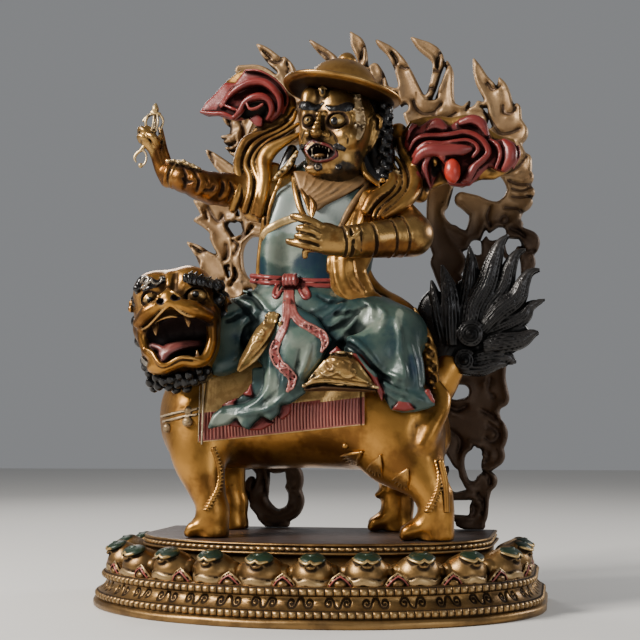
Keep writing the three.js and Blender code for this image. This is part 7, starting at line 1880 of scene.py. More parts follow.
def build_rider_head(material):
    """The face with its three eyes, brows, fangs and beard."""
    clay = Clay((-20, -42, 222), (56, 26, 290), 0.5, "skin")
    clay.frame = np.array(RIDER_HEAD)
    clay.ball((1, 1, 3), (20.5, 20, 23), blend=0)
    clay.ball((-1, -4.5, -13), (16.5, 14.5, 14.5), blend=7)
    clay.ball((0, -4, -21), (15, 13, 9.5), blend=4)
    clay.limb([(0, 6, -18, 13, 13), (-2, 6, -34, 15, 15)], 5)
    for side in (-1, 1):
        clay.ball((side * 11.5, -13.0, -7.5), (6, 5.6, 6), blend=4)
    clay.frame = np.eye(4)
    clay.ball((1.2, -17, 265.3), (5.3, 8, 17), blend=5)
    # Two bulges of the forehead, with the third eye in its rim between them
    clay.stud((3.8, -23, 276.1), (5.0, 4.2, 4.6), 3.5, lift=-2.8)
    clay.stud((16.2, -24, 274.5), (5.8, 4.2, 4.8), 3.5, lift=-2.9)
    clay.stud((10.1, -24, 278.2), (1.9, 1.6, 3.2), 0.4, "eye")
    clay.stud((10.4, -26, 277.6), (0.8, 0.8, 1.5), 0.2, "pupil", 0.6)
    clay.fold([(10.3, -25, 281.3, 0.4), (8.2, -25, 279.4, 0.4), (8, -25, 276.7, 0.4), (10, -25, 274, 0.4),
        (11.4, -25, 270.9, 0.4)], 0.3)
    clay.fold([(10.3, -25, 281.3, 0.4), (12.5, -25, 279.2, 0.4), (12.6, -25, 276.4, 0.4),
        (10.3, -25, 274, 0.4), (8.9, -25, 271.6, 0.4)], 0.3)
    # Left eye, deep in shadow, and the wide right eye
    left = clay.spot((2.5, -24, 262.2))
    clay.dent(left, (4.4, 2.4, 3.7), blend=1.2, paint="shadow")
    clay.ball(left + np.array([-0.4, 0.9, 0.3]), (2.7, 2.4, 2.6), blend=0.2, paint="eye")
    clay.stud((2, -24, 262.8), (1.7, 0.8, 1.7), 0.15, "pupil", -0.1)
    clay.fold(sized(arc((2.6, -27, 262), 1.2, 0, 360, 14), 0.24), 0.1, "eye", lift=0.1)
    right = clay.spot((18.1, -24, 261.6))
    clay.dent(right, (6.0, 3.0, 4.6), blend=1.4, paint="shadow")
    clay.ball(right + np.array([0.1, 1.0, 0]), (4.3, 3.6, 3.6), blend=0.2, paint="eye")
    clay.stud((16.6, -24, 261.5), (2.2, 1.0, 2.2), 0.15, "pupil", -0.1)
    clay.fold(sized(arc((17.4, -28, 260.4), 2.3, 0, 360, 18), 0.3), 0.1, "eye", lift=0.1)
    clay.fold(sized(arc((17.4, -28, 260.4), 1.1, 0, 360, 14), 0.2), 0.1, "eye", lift=0.1)
    for line in ([(-1.1, -24, 261.9, 0.5), (-0.5, -24, 264.6, 0.6), (2, -24, 266, 0.6),
            (5, -25, 264.6, 0.6), (6.9, -26, 261.7, 0.5)], [(-0.8, -24, 261.9, 0.4), (0.6, -24, 259.3, 0.5),
            (3.3, -25, 258, 0.5), (6, -26, 259, 0.4)], [(12.9, -27, 260.8, 0.5), (14, -27, 263.8, 0.6),
            (17.4, -26, 265.6, 0.7), (21.3, -25, 264.8, 0.7), (23.3, -24, 261.5, 0.7),
            (22.7, -25, 257.7, 0.6), (19, -26, 255.7, 0.6), (14.8, -27, 257.1, 0.5)],
            [(23.1, -24, 266.5, 0.4), (25.1, -23, 263.6, 0.6), (25.3, -23, 259.5, 0.6),
            (23.6, -24, 255.7, 0.4)], [(26, -22, 265.8, 0.3), (26.9, -21, 262.7, 0.5),
            (26.6, -21, 258.8, 0.5), (25.4, -22, 255.3, 0.3)]):
        clay.fold(line, 0.4)
    # Flat black brows with lines of hair, and two curls between them
    for line, slant in (([(-2.6, -21, 272.4, 2.2, 1), (1.2, -23, 270.7, 2.7, 1.2),
            (5.1, -24, 269.2, 2, 1.2), (8.6, -25, 269.4, 1.2, 1.1), (10.9, -25, 271.2, 0.7, 0.8)], -0.5),
            ([(12.5, -25, 269.4, 0.8, 0.8), (15.8, -25, 267.5, 1.8, 1.1), (19.8, -24, 267.7, 2.5, 1.2),
            (23.3, -22, 269, 3, 1.2), (26, -20, 269.7, 2.4, 1)], 0.5)):
        rows = clay.settle(line, -0.2)
        clay.limb(rows, 0.4, "hair", per_span=1)
        for x, y, z, wide, deep in rows[1:-1]:
            clay.groove([(x - slant, y - deep - 0.2, z - wide, 0.2),
                (x + slant, y - deep - 0.2, z + wide, 0.2)], 0.1)
    for centre, radius in (((8, -26, 265.2), 1.2), ((11.9, -26, 265.1), 1.5)):
        clay.stud(centre, radius, 0.3)
        clay.fold(sized(arc(centre, (radius, 0.2), 90, 480, 14), 0.32), 0.1, lift=0.1)
    # Nose, with its wrinkled bridge and round wings
    clay.limb([(9.1, -24.5, 266.1, 1.1, 1.4), (8.2, -26, 261.3, 1.4, 1.7), (7.4, -27.5, 256.6, 2.4, 2.4)],
        1.2)
    clay.stud((7.4, -28, 254.1), (3.2, 3.4, 2.9), 0.8, lift=0.5)
    clay.stud((3.2, -27, 253.9), (2.5, 2.6, 2.3), 0.5, lift=0.5)
    clay.stud((12, -27, 253.1), (2.9, 2.8, 2.4), 0.5, lift=0.5)
    for line in ([(5.1, -28, 257.4, 0.4), (7.5, -29, 258, 0.6), (10.3, -28, 258.5, 0.4)],
            [(5.6, -28, 259.5, 0.3), (8, -29, 260.1, 0.5), (10.3, -28, 260.6, 0.3)],
            [(7.3, -28, 262.2, 0.3), (9.2, -29, 262.5, 0.5), (10.6, -28, 262.5, 0.3)]):
        clay.fold(line, 0.3)
    clay.fold(sized(arc((4.1, -30, 253.3), 2.4, 50, 285, 12), 0.42), 0.15, lift=0.25)
    clay.fold(sized(arc((12.4, -30, 252.5), 2.8, 130, -95, 12), 0.42), 0.15, lift=0.25)
    for nostril in ([(4.5, -32, 251.4, 0.5), (5.6, -32, 250.8, 0.6)],
            [(11.1, -32, 250.5, 0.6), (12.5, -32, 250.7, 0.5)]):
        clay.crease(nostril, 0.4)
    # Open mouth in a ring of dark red, with teeth and fangs
    clay.stud((9.2, -24, 245.2), (9.0, 4.4, 6.4), 2.4, lift=-1.4)
    lip = clay.settle([(0.9, -26, 246, 0.8), (2.9, -27, 248.9, 0.9), (5.6, -28, 250, 1),
        (8.3, -28, 248.8, 1), (12.2, -28, 247.7, 1), (15.3, -27, 246.1, 0.9), (18.2, -26, 242.6, 0.8),
        (15.8, -27, 240.1, 0.9), (12.4, -28, 239.1, 1), (8.3, -28, 238.8, 1), (5.6, -28, 239.8, 0.9),
        (3.1, -27, 242.3, 0.8), (0.9, -26, 246, 0.8)])
    heart = clay.spot((8.9, -24, 245.2))
    clay.dent(heart + np.array([0, 0.5, 0]), (7.1, 6.5, 4.2), blend=0.6, paint="mouth")
    clay.limb(lip, 0.4, "lip", per_span=1)
    depth = heart[1] + 1.6
    clay.ball((heart[0] - 1.0, depth + 1.5, heart[2] - 2.0), (3.6, 3.4, 1.3), blend=0.3, paint="tongue")
    for x, z in ((-4.3, 2.4), (-2.6, 2.8), (-0.9, 2.7), (0.9, 2.3), (2.6, 1.7)):
        clay.limb([(heart[0] + x, depth, heart[2] + z + 0.8, 0.56),
            (heart[0] + x, depth, heart[2] + z - 0.1, 0.4)], 0.1, "tooth")
    for x, z in ((-3.4, -2.6), (-1.8, -3.1), (0.2, -3.4)):
        clay.limb([(heart[0] + x, depth, heart[2] + z - 0.6, 0.6), (heart[0] + x, depth, heart[2] + z + 0.6,
            0.4)], 0.1, "tooth")
    for x, low, high in ((-5.0, 1.8, -0.2), (4.4, 1.2, -0.8), (3.8, -3.6, -1.2), (-4.8, -2.2, -0.4)):
        clay.limb([(heart[0] + x, depth - 0.2, heart[2] + low, 0.6),
            (heart[0] + x, depth - 0.5, heart[2] + high, 0.28)], 0.1, "tooth")
    # Moustache at both corners, folds of the cheeks and the chin
    for line in ([(1, -26, 247.9, 0.8, 0.8), (-1.4, -23, 248.4, 1.3, 1), (-3.4, -20, 247.6, 0.8, 0.7)],
            [(16.9, -27, 246.4, 0.9, 0.9), (19.8, -26, 246.7, 1.8, 1.1), (22.4, -24, 245.6, 1.2, 0.8)]):
        clay.strands(clay.settle(line), 4, 0.2, "hair", per_span=1)
    for line in ([(14.5, -27, 255.2, 0.3), (16.8, -26, 252.5, 0.5), (18.4, -26, 249.1, 0.4)],
            [(0.3, -25, 256.5, 0.3), (-1.4, -24, 253.5, 0.5), (-3, -22, 250.8, 0.3)],
            [(22.7, -25, 253.6, 0.3), (24.1, -24, 251.5, 0.5), (23.8, -24, 248.5, 0.3)]):
        clay.crease(line, 0.8)
    clay.stud((6.2, -22, 235.8), (6.4, 3.4, 3.6), 2.0, lift=-1.2)
    # Curls at the chin, each with a painted highlight in silver along its turns
    for centre, radius, start in (((7.9, -26, 236.2), 2.5, 20), ((0.4, -22, 237.2), 1.6, 120),
            ((18.4, -22, 236.3), 2.0, 150)):
        clay.stud(centre, (radius, 1.0, radius), 0.3, "hair")
        clay.fold(sized(arc(centre, (radius * 0.86, 0.2), start, start + (520 if radius > 2.2 else 170),
            20), 0.3), 0.1, "silver", lift=0.1)
    # Rough pale hair before the ear
    band = clay.settle([(28.3, -17, 276, 1.5, 0.8), (28.5, -17, 272.1, 2.3, 0.9),
        (28.9, -16, 267.8, 2.8, 1), (29.5, -16, 262.8, 3, 1), (29.1, -16, 257.7, 2.9, 1),
        (27.6, -17, 253.1, 2.3, 0.8)], -0.2)
    clay.limb(band, 0.8, "pale", facing=(0.55, -0.85, 0), per_span=1)
    for index in range(90):
        x, y, z, wide, _ = band[index * 7 % len(band)]
        across = math.sin(index * 2.4) * wide * 0.9
        clay.stud((x + across, y, z + math.cos(index * 5.1) * 1.2), 0.5 + 0.2 * math.sin(index * 1.7), 0.35,
            "pale")
    # Ear with its rim
    clay.limb([(35.7, -10.5, 263.3, 3.4, 3), (36.2, -10, 257.8, 3, 3), (34.4, -10, 251.1, 2, 2.4)], 0.8)
    clay.fold([(33.3, -13, 261.6, 0.7), (34.1, -14, 264.4, 0.9), (36.9, -14, 266.1, 1),
        (40.2, -14, 264.3, 1), (40.5, -14, 260.7, 1), (38.6, -13, 255.7, 0.9), (36.9, -13, 251.4, 0.9),
        (34.6, -13, 247.9, 0.9), (32.4, -13, 247.1, 0.7)], 0.3)
    clay.fold([(35, -13, 261, 0.4), (36.5, -13, 262.8, 0.5), (37.5, -13, 260.8, 0.5),
        (36.4, -13, 257.5, 0.5), (35.2, -13, 254.8, 0.4)], 0.2)
    # Hair behind the ears and down to the shoulders
    clay.frame = np.array(RIDER_HEAD)
    for side in (-1, 1):
        clay.limb([(side * 15, 10, 12, 8, 12), (side * 18, 12, -2, 8, 11), (side * 20, 11, -18, 8, 9),
            (side * 23, 6, -28, 5, 6)], 1.0, "hair")
    for lump in range(46):
        z = 12 - lump * 0.95
        x = 26.0 + 2.8 * math.sin(lump * 2.4)
        clay.ball((x, 5.0 - 2.6 * math.cos(lump * 2.4), z), (2.0, 2.2, 2.4 + 0.6 * math.sin(lump)),
            blend=1.0, paint="hair")
    clay.ball((0, 8, 2), (20, 16, 22), blend=1.0, paint="hair")
    clay.limb([(0, 12, -12, 20, 10), (0, 13, -30, 22, 9)], 1.0, "hair")
    for step in range(13):
        angle = math.radians(20 + step * 11.7)
        c, s = math.cos(angle), math.sin(angle)
        clay.limb([(20 * c, 6 + 17 * s, 14, 1.2), (22 * c, 6 + 18.5 * s, -2, 1.5),
            (22 * c, 6 + 18 * s, -18, 1.5), (24 * c, 6 + 17 * s, -32, 1.2)], 0.3, "hair")
    thing = clay.mesh("rider_head", 0.02)
    # Beard with painted shade: darker under the jaw, down the right side of the face and beside the mouth
    # on the left
    tint(thing, "beard", ((21.2, -18, 234.3), (8, 9, 6)), ((26.9, -12, 243.7), (4, 8, 11)),
        ((13.3, -20, 230.4), (11, 8, 3.4)), ((-3.3, -18, 243.4), (3, 6, 7)))
    return finish_piece(thing, material, "rider")


def build_locks(material):
    """Ribbons and locks that fall beside the face."""
    clay = Clay((-24, -26, 214), (62, 10, 258), 0.6, "gold")
    clay.limb([(-6.9, -12, 248.4, 1, 1.6), (-9.6, -13, 243.7, 1.5, 1.8), (-11.9, -13, 239.9, 1.8, 1.8),
        (-15.6, -14, 236.5, 1.8, 1.8), (-19.9, -15, 232.5, 1.3, 1.6)], 0.4, "pale")
    for x, y, z, radius in [(-6.8, -15, 245.4, 1), (-9.7, -15, 241, 1.2), (-12.3, -16, 238.1, 1.2),
            (-15.7, -16, 236, 1.2), (-17.7, -17, 233.1, 1.2)]:
        clay.ball((x, y, z), (radius, 1.6, radius * 1.4), turn=(0, 0.6, 0), blend=0.3, paint="pale")
    clay.limb([(-10.7, -8, 250.7, 3), (-12.8, -9, 243.7, 4), (-16, -10, 237.9, 3)], 0.6, "hair")
    clay.limb([(29.7, -12, 240.2, 0.9, 1.4), (30.9, -13, 234.9, 1.6, 1.8), (34.9, -14, 230.6, 1.5, 1.8),
        (39.3, -14, 227.1, 0.8, 1.2)], 0.4, "gold")
    clay.limb([(30.1, -8, 244, 3), (33.6, -9, 235.7, 3.6), (39.3, -10, 230.2, 3.6),
        (44.8, -10, 227.7, 3.2)], 0.8, "hair")
    # Curls at the end of the right lock, each with a painted highlight in gold over its front
    for x, y, z, radius in [(38.6, -13, 227.9, 1.7), (41.4, -13, 229.4, 1.9), (44.7, -13, 228.7, 2),
            (43, -13, 226, 1.8), (46.1, -12, 225.5, 1.8), (40.2, -13, 225, 1.6), (48.8, -11, 227.8, 1.8)]:
        clay.ball((x, y, z), radius, blend=0.4, paint="hair")
        clay.limb(sized(arc((x, y - radius * 0.9, z), radius * 0.55, 30, 330, 9), 0.45), 0.1, "silver")
    clay.limb([(39.8, -14, 223.2, 1), (42, -14, 224.2, 1.4), (43.7, -14, 223, 1)], 0.3, "gold")
    thing = clay.mesh("side_locks")
    return finish_piece(thing, material, "rider")


def build_hat(material):
    """A domed hat with a wide sloping brim and a small knob, turned about its axis."""
    profile = [(0.01, -1.4), (14, -1.6), (20, -1.6), (26, -1.4), (30.5, -1.0), (32.3, -0.4), (33.2, 0.4),
        (33.3, 1.3), (32.6, 2.0), (30, 2.3), (26, 2.7), (22.8, 3.5), (20.6, 5.2), (19.0, 8.2), (16.8, 11.6),
        (13.4, 14.9), (9.6, 17.2), (6.4, 18.3), (5.2, 18.6), (5.4, 19.4), (5.0, 20.6), (4.4, 21.6),
        (3.4, 22.6), (2.2, 23.4), (1.0, 23.8), (0.01, 23.9)]
    rows = smooth_path([(*point, 0) for point in profile], 3)[:, :2]
    angles = np.linspace(0, 2 * math.pi, 128, endpoint=False)
    radius, height = rows[:, :1], rows[:, 1:]
    waver = 1 + 0.010 * np.sin(3 * angles + 1) * (radius / 33)
    points = np.stack([radius * waver * np.cos(angles), radius * waver * np.sin(angles),
        height + 0.35 * np.sin(2 * angles) * (radius / 33) ** 2], -1)
    nod = Matrix.Rotation(-0.04, 4, "X")
    tilt = Matrix.Rotation(math.radians(10), 4, "Y")
    turn = np.array(Matrix.Translation((17.5, -8, 281)) @ nod @ tilt)
    points = points @ turn[:3, :3].T + turn[:3, 3]
    # Painted shade on the underside of the brim: a hollow value and a darker brown gold
    under = np.broadcast_to(smoothstep(np.arange(len(rows)), 13, 10)[:, None], points.shape[:2])
    rim = np.broadcast_to(np.exp(-((np.arange(len(rows)) - 20.0) / 3.0) ** 2)[:, None], points.shape[:2])
    hat = Patchwork()
    hat.grid(points, wrap_columns=True, hollow=(under * 0.75).reshape(-1), edge=(rim * 0.5).reshape(-1),
        paint_dark=(under * 2 - 1).reshape(-1))
    return finish_piece(hat.build("hat"), material, "rider")


def build_arms(material):
    """The raised arm and the arm before the chest, with their sleeves and hands."""
    clay = Clay((-102, -56, 178), (80, 18, 272), 0.62, "gold")
    # Raised arm, its sleeve gathered in rings
    sleeve = [(-29.4, -3, 229.8, 10.4, 11), (-35.9, -5, 229.7, 10.2, 10.6), (-45, -10, 229.1, 9.6, 10),
        (-51.7, -15, 228.9, 9.2, 9.4), (-57.8, -18, 229.7, 8.8, 9.2), (-64.4, -21, 232.2, 8, 8.6),
        (-71.7, -22, 234.9, 7.2, 8), (-76.7, -22, 236.9, 6.6, 7.2)]
    clay.limb([(-12, 0, 229, 15, 13), (-24, -3, 229, 13, 12), (-33, -6, 229, 10.6, 11)], 0)
    clay.limb(ringed(sleeve, 6.5, 0.42), 0.8, per_span=1)
    wrist = np.array((-77.6, -22, 237.2))
    arm_way = np.array([6.4, 0, -2.2])
    clay.limb(ring(wrist, arm_way, 6.9, 0.7), 0.3)
    clay.groove(ring(wrist + arm_way * 0.32, arm_way, 7.5, 0.75), 0.4)
    clay.limb(ring(wrist + arm_way * 0.55, arm_way, 7.2, 0.7), 0.4)
    # Folds that swirl over the sleeve
    for line in ([(-42.9, -29, 230.6, 0.5), (-41.8, -29, 226.1, 0.9), (-44, -28, 221.4, 0.9),
            (-48.9, -26, 219.2, 0.4)], [(-50.1, -28, 232.3, 0.4), (-47.4, -30, 227.8, 0.8),
            (-49.4, -30, 222.9, 0.8), (-54, -28, 220.7, 0.4)], [(-57.5, -28, 234.9, 0.4),
            (-54.3, -31, 229.6, 0.8), (-56.3, -30, 224.9, 0.8), (-59.4, -29, 223, 0.4)],
            [(-63.9, -28, 236.9, 0.4), (-60.9, -31, 232.2, 0.8), (-62.3, -30, 227.4, 0.4)],
            [(-53.5, -28, 234.1, 0.4), (-50.8, -31, 228.3, 0.7), (-52.8, -30, 223.6, 0.4)],
            [(-38.7, -26, 228.8, 0.4), (-36.7, -27, 224.1, 0.9), (-39.8, -26, 219.4, 0.5)]):
        clay.fold(line, 1.0, lift=-0.2)
    for line in ([(-67.9, -28, 238.8, 0.4), (-65.2, -31, 233.5, 0.9), (-66.3, -30, 227, 0.5)],
            [(-61, -28, 236.2, 0.4), (-57.7, -31, 230.3, 0.9), (-59.4, -30, 225, 0.5)],
            [(-46.1, -28, 231.5, 0.4), (-44.3, -30, 226.6, 0.9), (-47.2, -28, 221.6, 0.5)],
            [(-41.2, -27, 229.8, 0.4), (-39.5, -28, 224.5, 1), (-42.3, -27, 219.3, 0.5)],
            [(-55.8, -28, 225.8, 0.4), (-51.1, -30, 225.2, 0.7), (-48.9, -30, 227.3, 0.4)],
            [(-67.8, -30, 232.7, 0.4), (-64, -31, 230.1, 0.8), (-60.6, -31, 230.5, 0.4)]):
        clay.crease([(*row[:3], row[3] * 0.75) for row in line], 1.2)
    clay.limb([(-77.8, -24, 243.9, 0.9, 1.8), (-72.7, -26, 242.9, 1.2, 2.2), (-67.7, -27, 241.8, 1.3, 2.4),
        (-63.1, -27, 239.9, 1.2, 2.2), (-58.8, -26, 238.2, 0.8, 1.8)], 0.5, "pale")
    for x, y, z, radius in [(-75.9, -27, 243.4, 0.9), (-73.2, -28, 243.3, 1.1), (-69.9, -29, 241.5, 1.1),
            (-67.1, -29, 242.4, 1.3), (-64.7, -29, 240.9, 1.2), (-62.2, -28, 240.2, 1.1),
            (-59.9, -28, 238.6, 1)]:
        clay.ball((x, y, z), (radius, 1.3, radius * 0.75), turn=(0, 0.7, 0), blend=0.2, paint="pale")
    for line in ([(-71.7, -29, 242.4, 0.2), (-68.4, -30, 240.9, 0.4), (-65, -30, 241.3, 0.2)],
            [(-65.6, -30, 240.2, 0.2), (-62.1, -30, 238.9, 0.4), (-59.5, -29, 238.7, 0.2)]):
        clay.crease(line, 0.2)
    # Raised hand: wrist, palm, the straight finger and the curled ones round the stem
    clay.limb([(-78.7, -22, 233.8, 4.4), (-81.9, -23, 239.5, 4), (-84, -24, 246.2, 3.8),
        (-86, -25, 251.8, 4), (-89.3, -26, 255.7, 4.2)], 0.8)
    clay.limb([(-77.6, -22, 238.3, 2.6), (-79, -23, 245, 2.3), (-80.5, -24, 251.1, 2),
        (-81.8, -24, 257.5, 1.8), (-82.7, -24, 262.7, 1.4)], 1.2)
    for line in ([(-86.9, -26, 255.5, 2.2), (-89, -30, 259.8, 2), (-92.3, -29, 261.9, 1.9),
            (-94, -26, 260.5, 1.6)], [(-86.9, -26, 253.8, 2.2), (-89.6, -30, 256.4, 2),
            (-92.9, -29, 257.7, 1.9), (-93.4, -26, 255.9, 1.6)], [(-85.5, -25, 256.9, 1.9),
            (-86.8, -28, 260.7, 1.7), (-88.8, -29, 262.3, 1.6)], [(-83, -27, 252.2, 2.2),
            (-83.9, -31, 255.8, 2), (-86.9, -31, 257.7, 1.6)], [(-81.3, -27, 257.3, 1.5),
            (-82.7, -28, 255.4, 1.5), (-85, -28, 256.1, 1.3)]):
        clay.limb(line, 0.35)
    # Bent arm: the upper arm under the scarf, the elbow and the sleeve in rings up to the cuff
    clay.limb([(26, 0, 225, 13, 12), *[(34.1, 1, 223.1, 10.4), (43.8, -4, 216.1, 10),
        (51.7, -10, 207.4, 10.2), (56.9, -17, 200, 10.8)]], 2)
    clay.ball((58.1, -18, 197.8), 11.0, blend=2)
    clay.limb([(56.2, -20.5, 197, 10.9), (51.9, -24, 196, 10.5), (46.1, -28.4, 194.9, 10.1),
        (40.2, -32, 194.1, 9.7), (34.2, -34.6, 193.4, 9.2), (28.3, -37, 192.7, 8.7),
        (23.8, -38.6, 192.5, 8.2)], 2)
    way = unit(np.subtract((34.2, -34.6, 193.4), (51.9, -24, 196)))
    for *centre, radius in [(52.8, -23.2, 196.2, 10.8), (47, -27.7, 195, 10.3), (37.2, -33.3, 193.8, 9.6),
            (25.8, -37.9, 192.6, 8.6)]:
        clay.groove(ring(centre, way, radius, 0.8), 0.35)
        clay.limb(ring(np.add(centre, way * 1.7), way, radius - 0.6, 0.7), 0.5)
    clay.fold([(28.1, -42, 199.7, 0.7), (27.2, -44, 196.3, 1), (28.6, -45, 193.2, 1), (31.8, -45, 194.1, 1),
        (33.4, -45, 196.6, 0.8), (31.9, -44, 199, 0.8), (29.7, -45, 197.8, 0.6)], 0.3)
    clay.fold([(34.6, -43, 198, 1), (32, -46, 195, 0.9), (28.5, -44, 192, 0.6)], 0.3)
    clay.crease([(33.9, -43, 199.6, 0.4), (34.5, -44, 192.1, 0.5), (33.9, -42, 186.1, 0.4)], 0.3)
    clay.fold([(29.8, -43, 190.8, 0.4), (31.2, -42, 188.3, 0.7), (33, -40, 187, 0.4)], 0.3)
    # Hand before the chest, fingers curled towards the left
    clay.limb([(23.3, -39, 192.5, 7.4, 7), (19.3, -40.5, 192.7, 8, 6.6), (15.4, -42, 193.9, 8.4, 6.2),
        (12.4, -43, 194.9, 7.6, 5.6)], 1.5)
    clay.limb([(14.4, -45, 198.4, 2.7), (10, -47, 201.2, 2.7), (5.5, -48, 203.3, 2.5), (1, -47, 205, 2.2),
        (-1.6, -45, 205.7, 1.8)], 0.4)
    clay.limb([(13.5, -46, 195.1, 2.5), (9.4, -49, 196.9, 2.6), (5.4, -50, 198.1, 2.5),
        (2.5, -48, 198.7, 2.1)], 0.25)
    clay.limb([(13.5, -46, 191.7, 2.5), (8.8, -49, 193, 2.6), (4.8, -50, 193.9, 2.5),
        (1.7, -48, 194.5, 2.1)], 0.25)
    clay.limb([(12.8, -45, 188.2, 2.4), (8.1, -48, 189.2, 2.4), (2.8, -48, 190.6, 2.3), (-2, -46, 191.9, 2),
        (-4.3, -44, 192.7, 1.7)], 0.25)
    clay.limb([(9.4, -44, 188.3, 1.8), (4.9, -43, 188, 1.8), (4.1, -42, 185, 1.6)], 0.3)
    for x, y, z in [(-1.4, -46, 205.6), (2.6, -49.4, 198.6), (1.8, -49.4, 194.4), (-4, -45, 192.7)]:
        clay.ball((x - 0.2, y - 0.6, z + 0.3), (1.5, 1.2, 1.1), blend=0.15)
    clay.fold([(19.9, -46, 198.1, 0.5), (17.1, -48, 199.4, 0.9), (14.7, -49, 199.3, 0.5)], 1.0)
    for line in ([(14.4, -50, 195.8, 0.4), (10, -52, 198.2, 0.6), (5.3, -52, 200.2, 0.6)],
            [(13.8, -50, 192.4, 0.4), (9.5, -52, 194.3, 0.6), (4.2, -52, 195.8, 0.6)],
            [(13.3, -50, 188.7, 0.4), (9, -52, 190.4, 0.6), (3.2, -52, 191.8, 0.6)]):
        clay.crease(line, 0.3)
    clay.groove(ring(np.array((22.8, -39.1, 192.4)), way, 8.1, 0.6), 0.3)
    thing = clay.mesh("arms", 0.02)
    tint(thing, "brown", ((-57.7, -20, 232.1), (24, 16, 16)), ((39.3, -30, 188.8), (30, 14, 6)),
        ((-79.8, -24, 242), (8, 8, 14)), ((19.4, -38, 193.6), (9, 9, 8)))
    return finish_piece(thing, material, "rider")


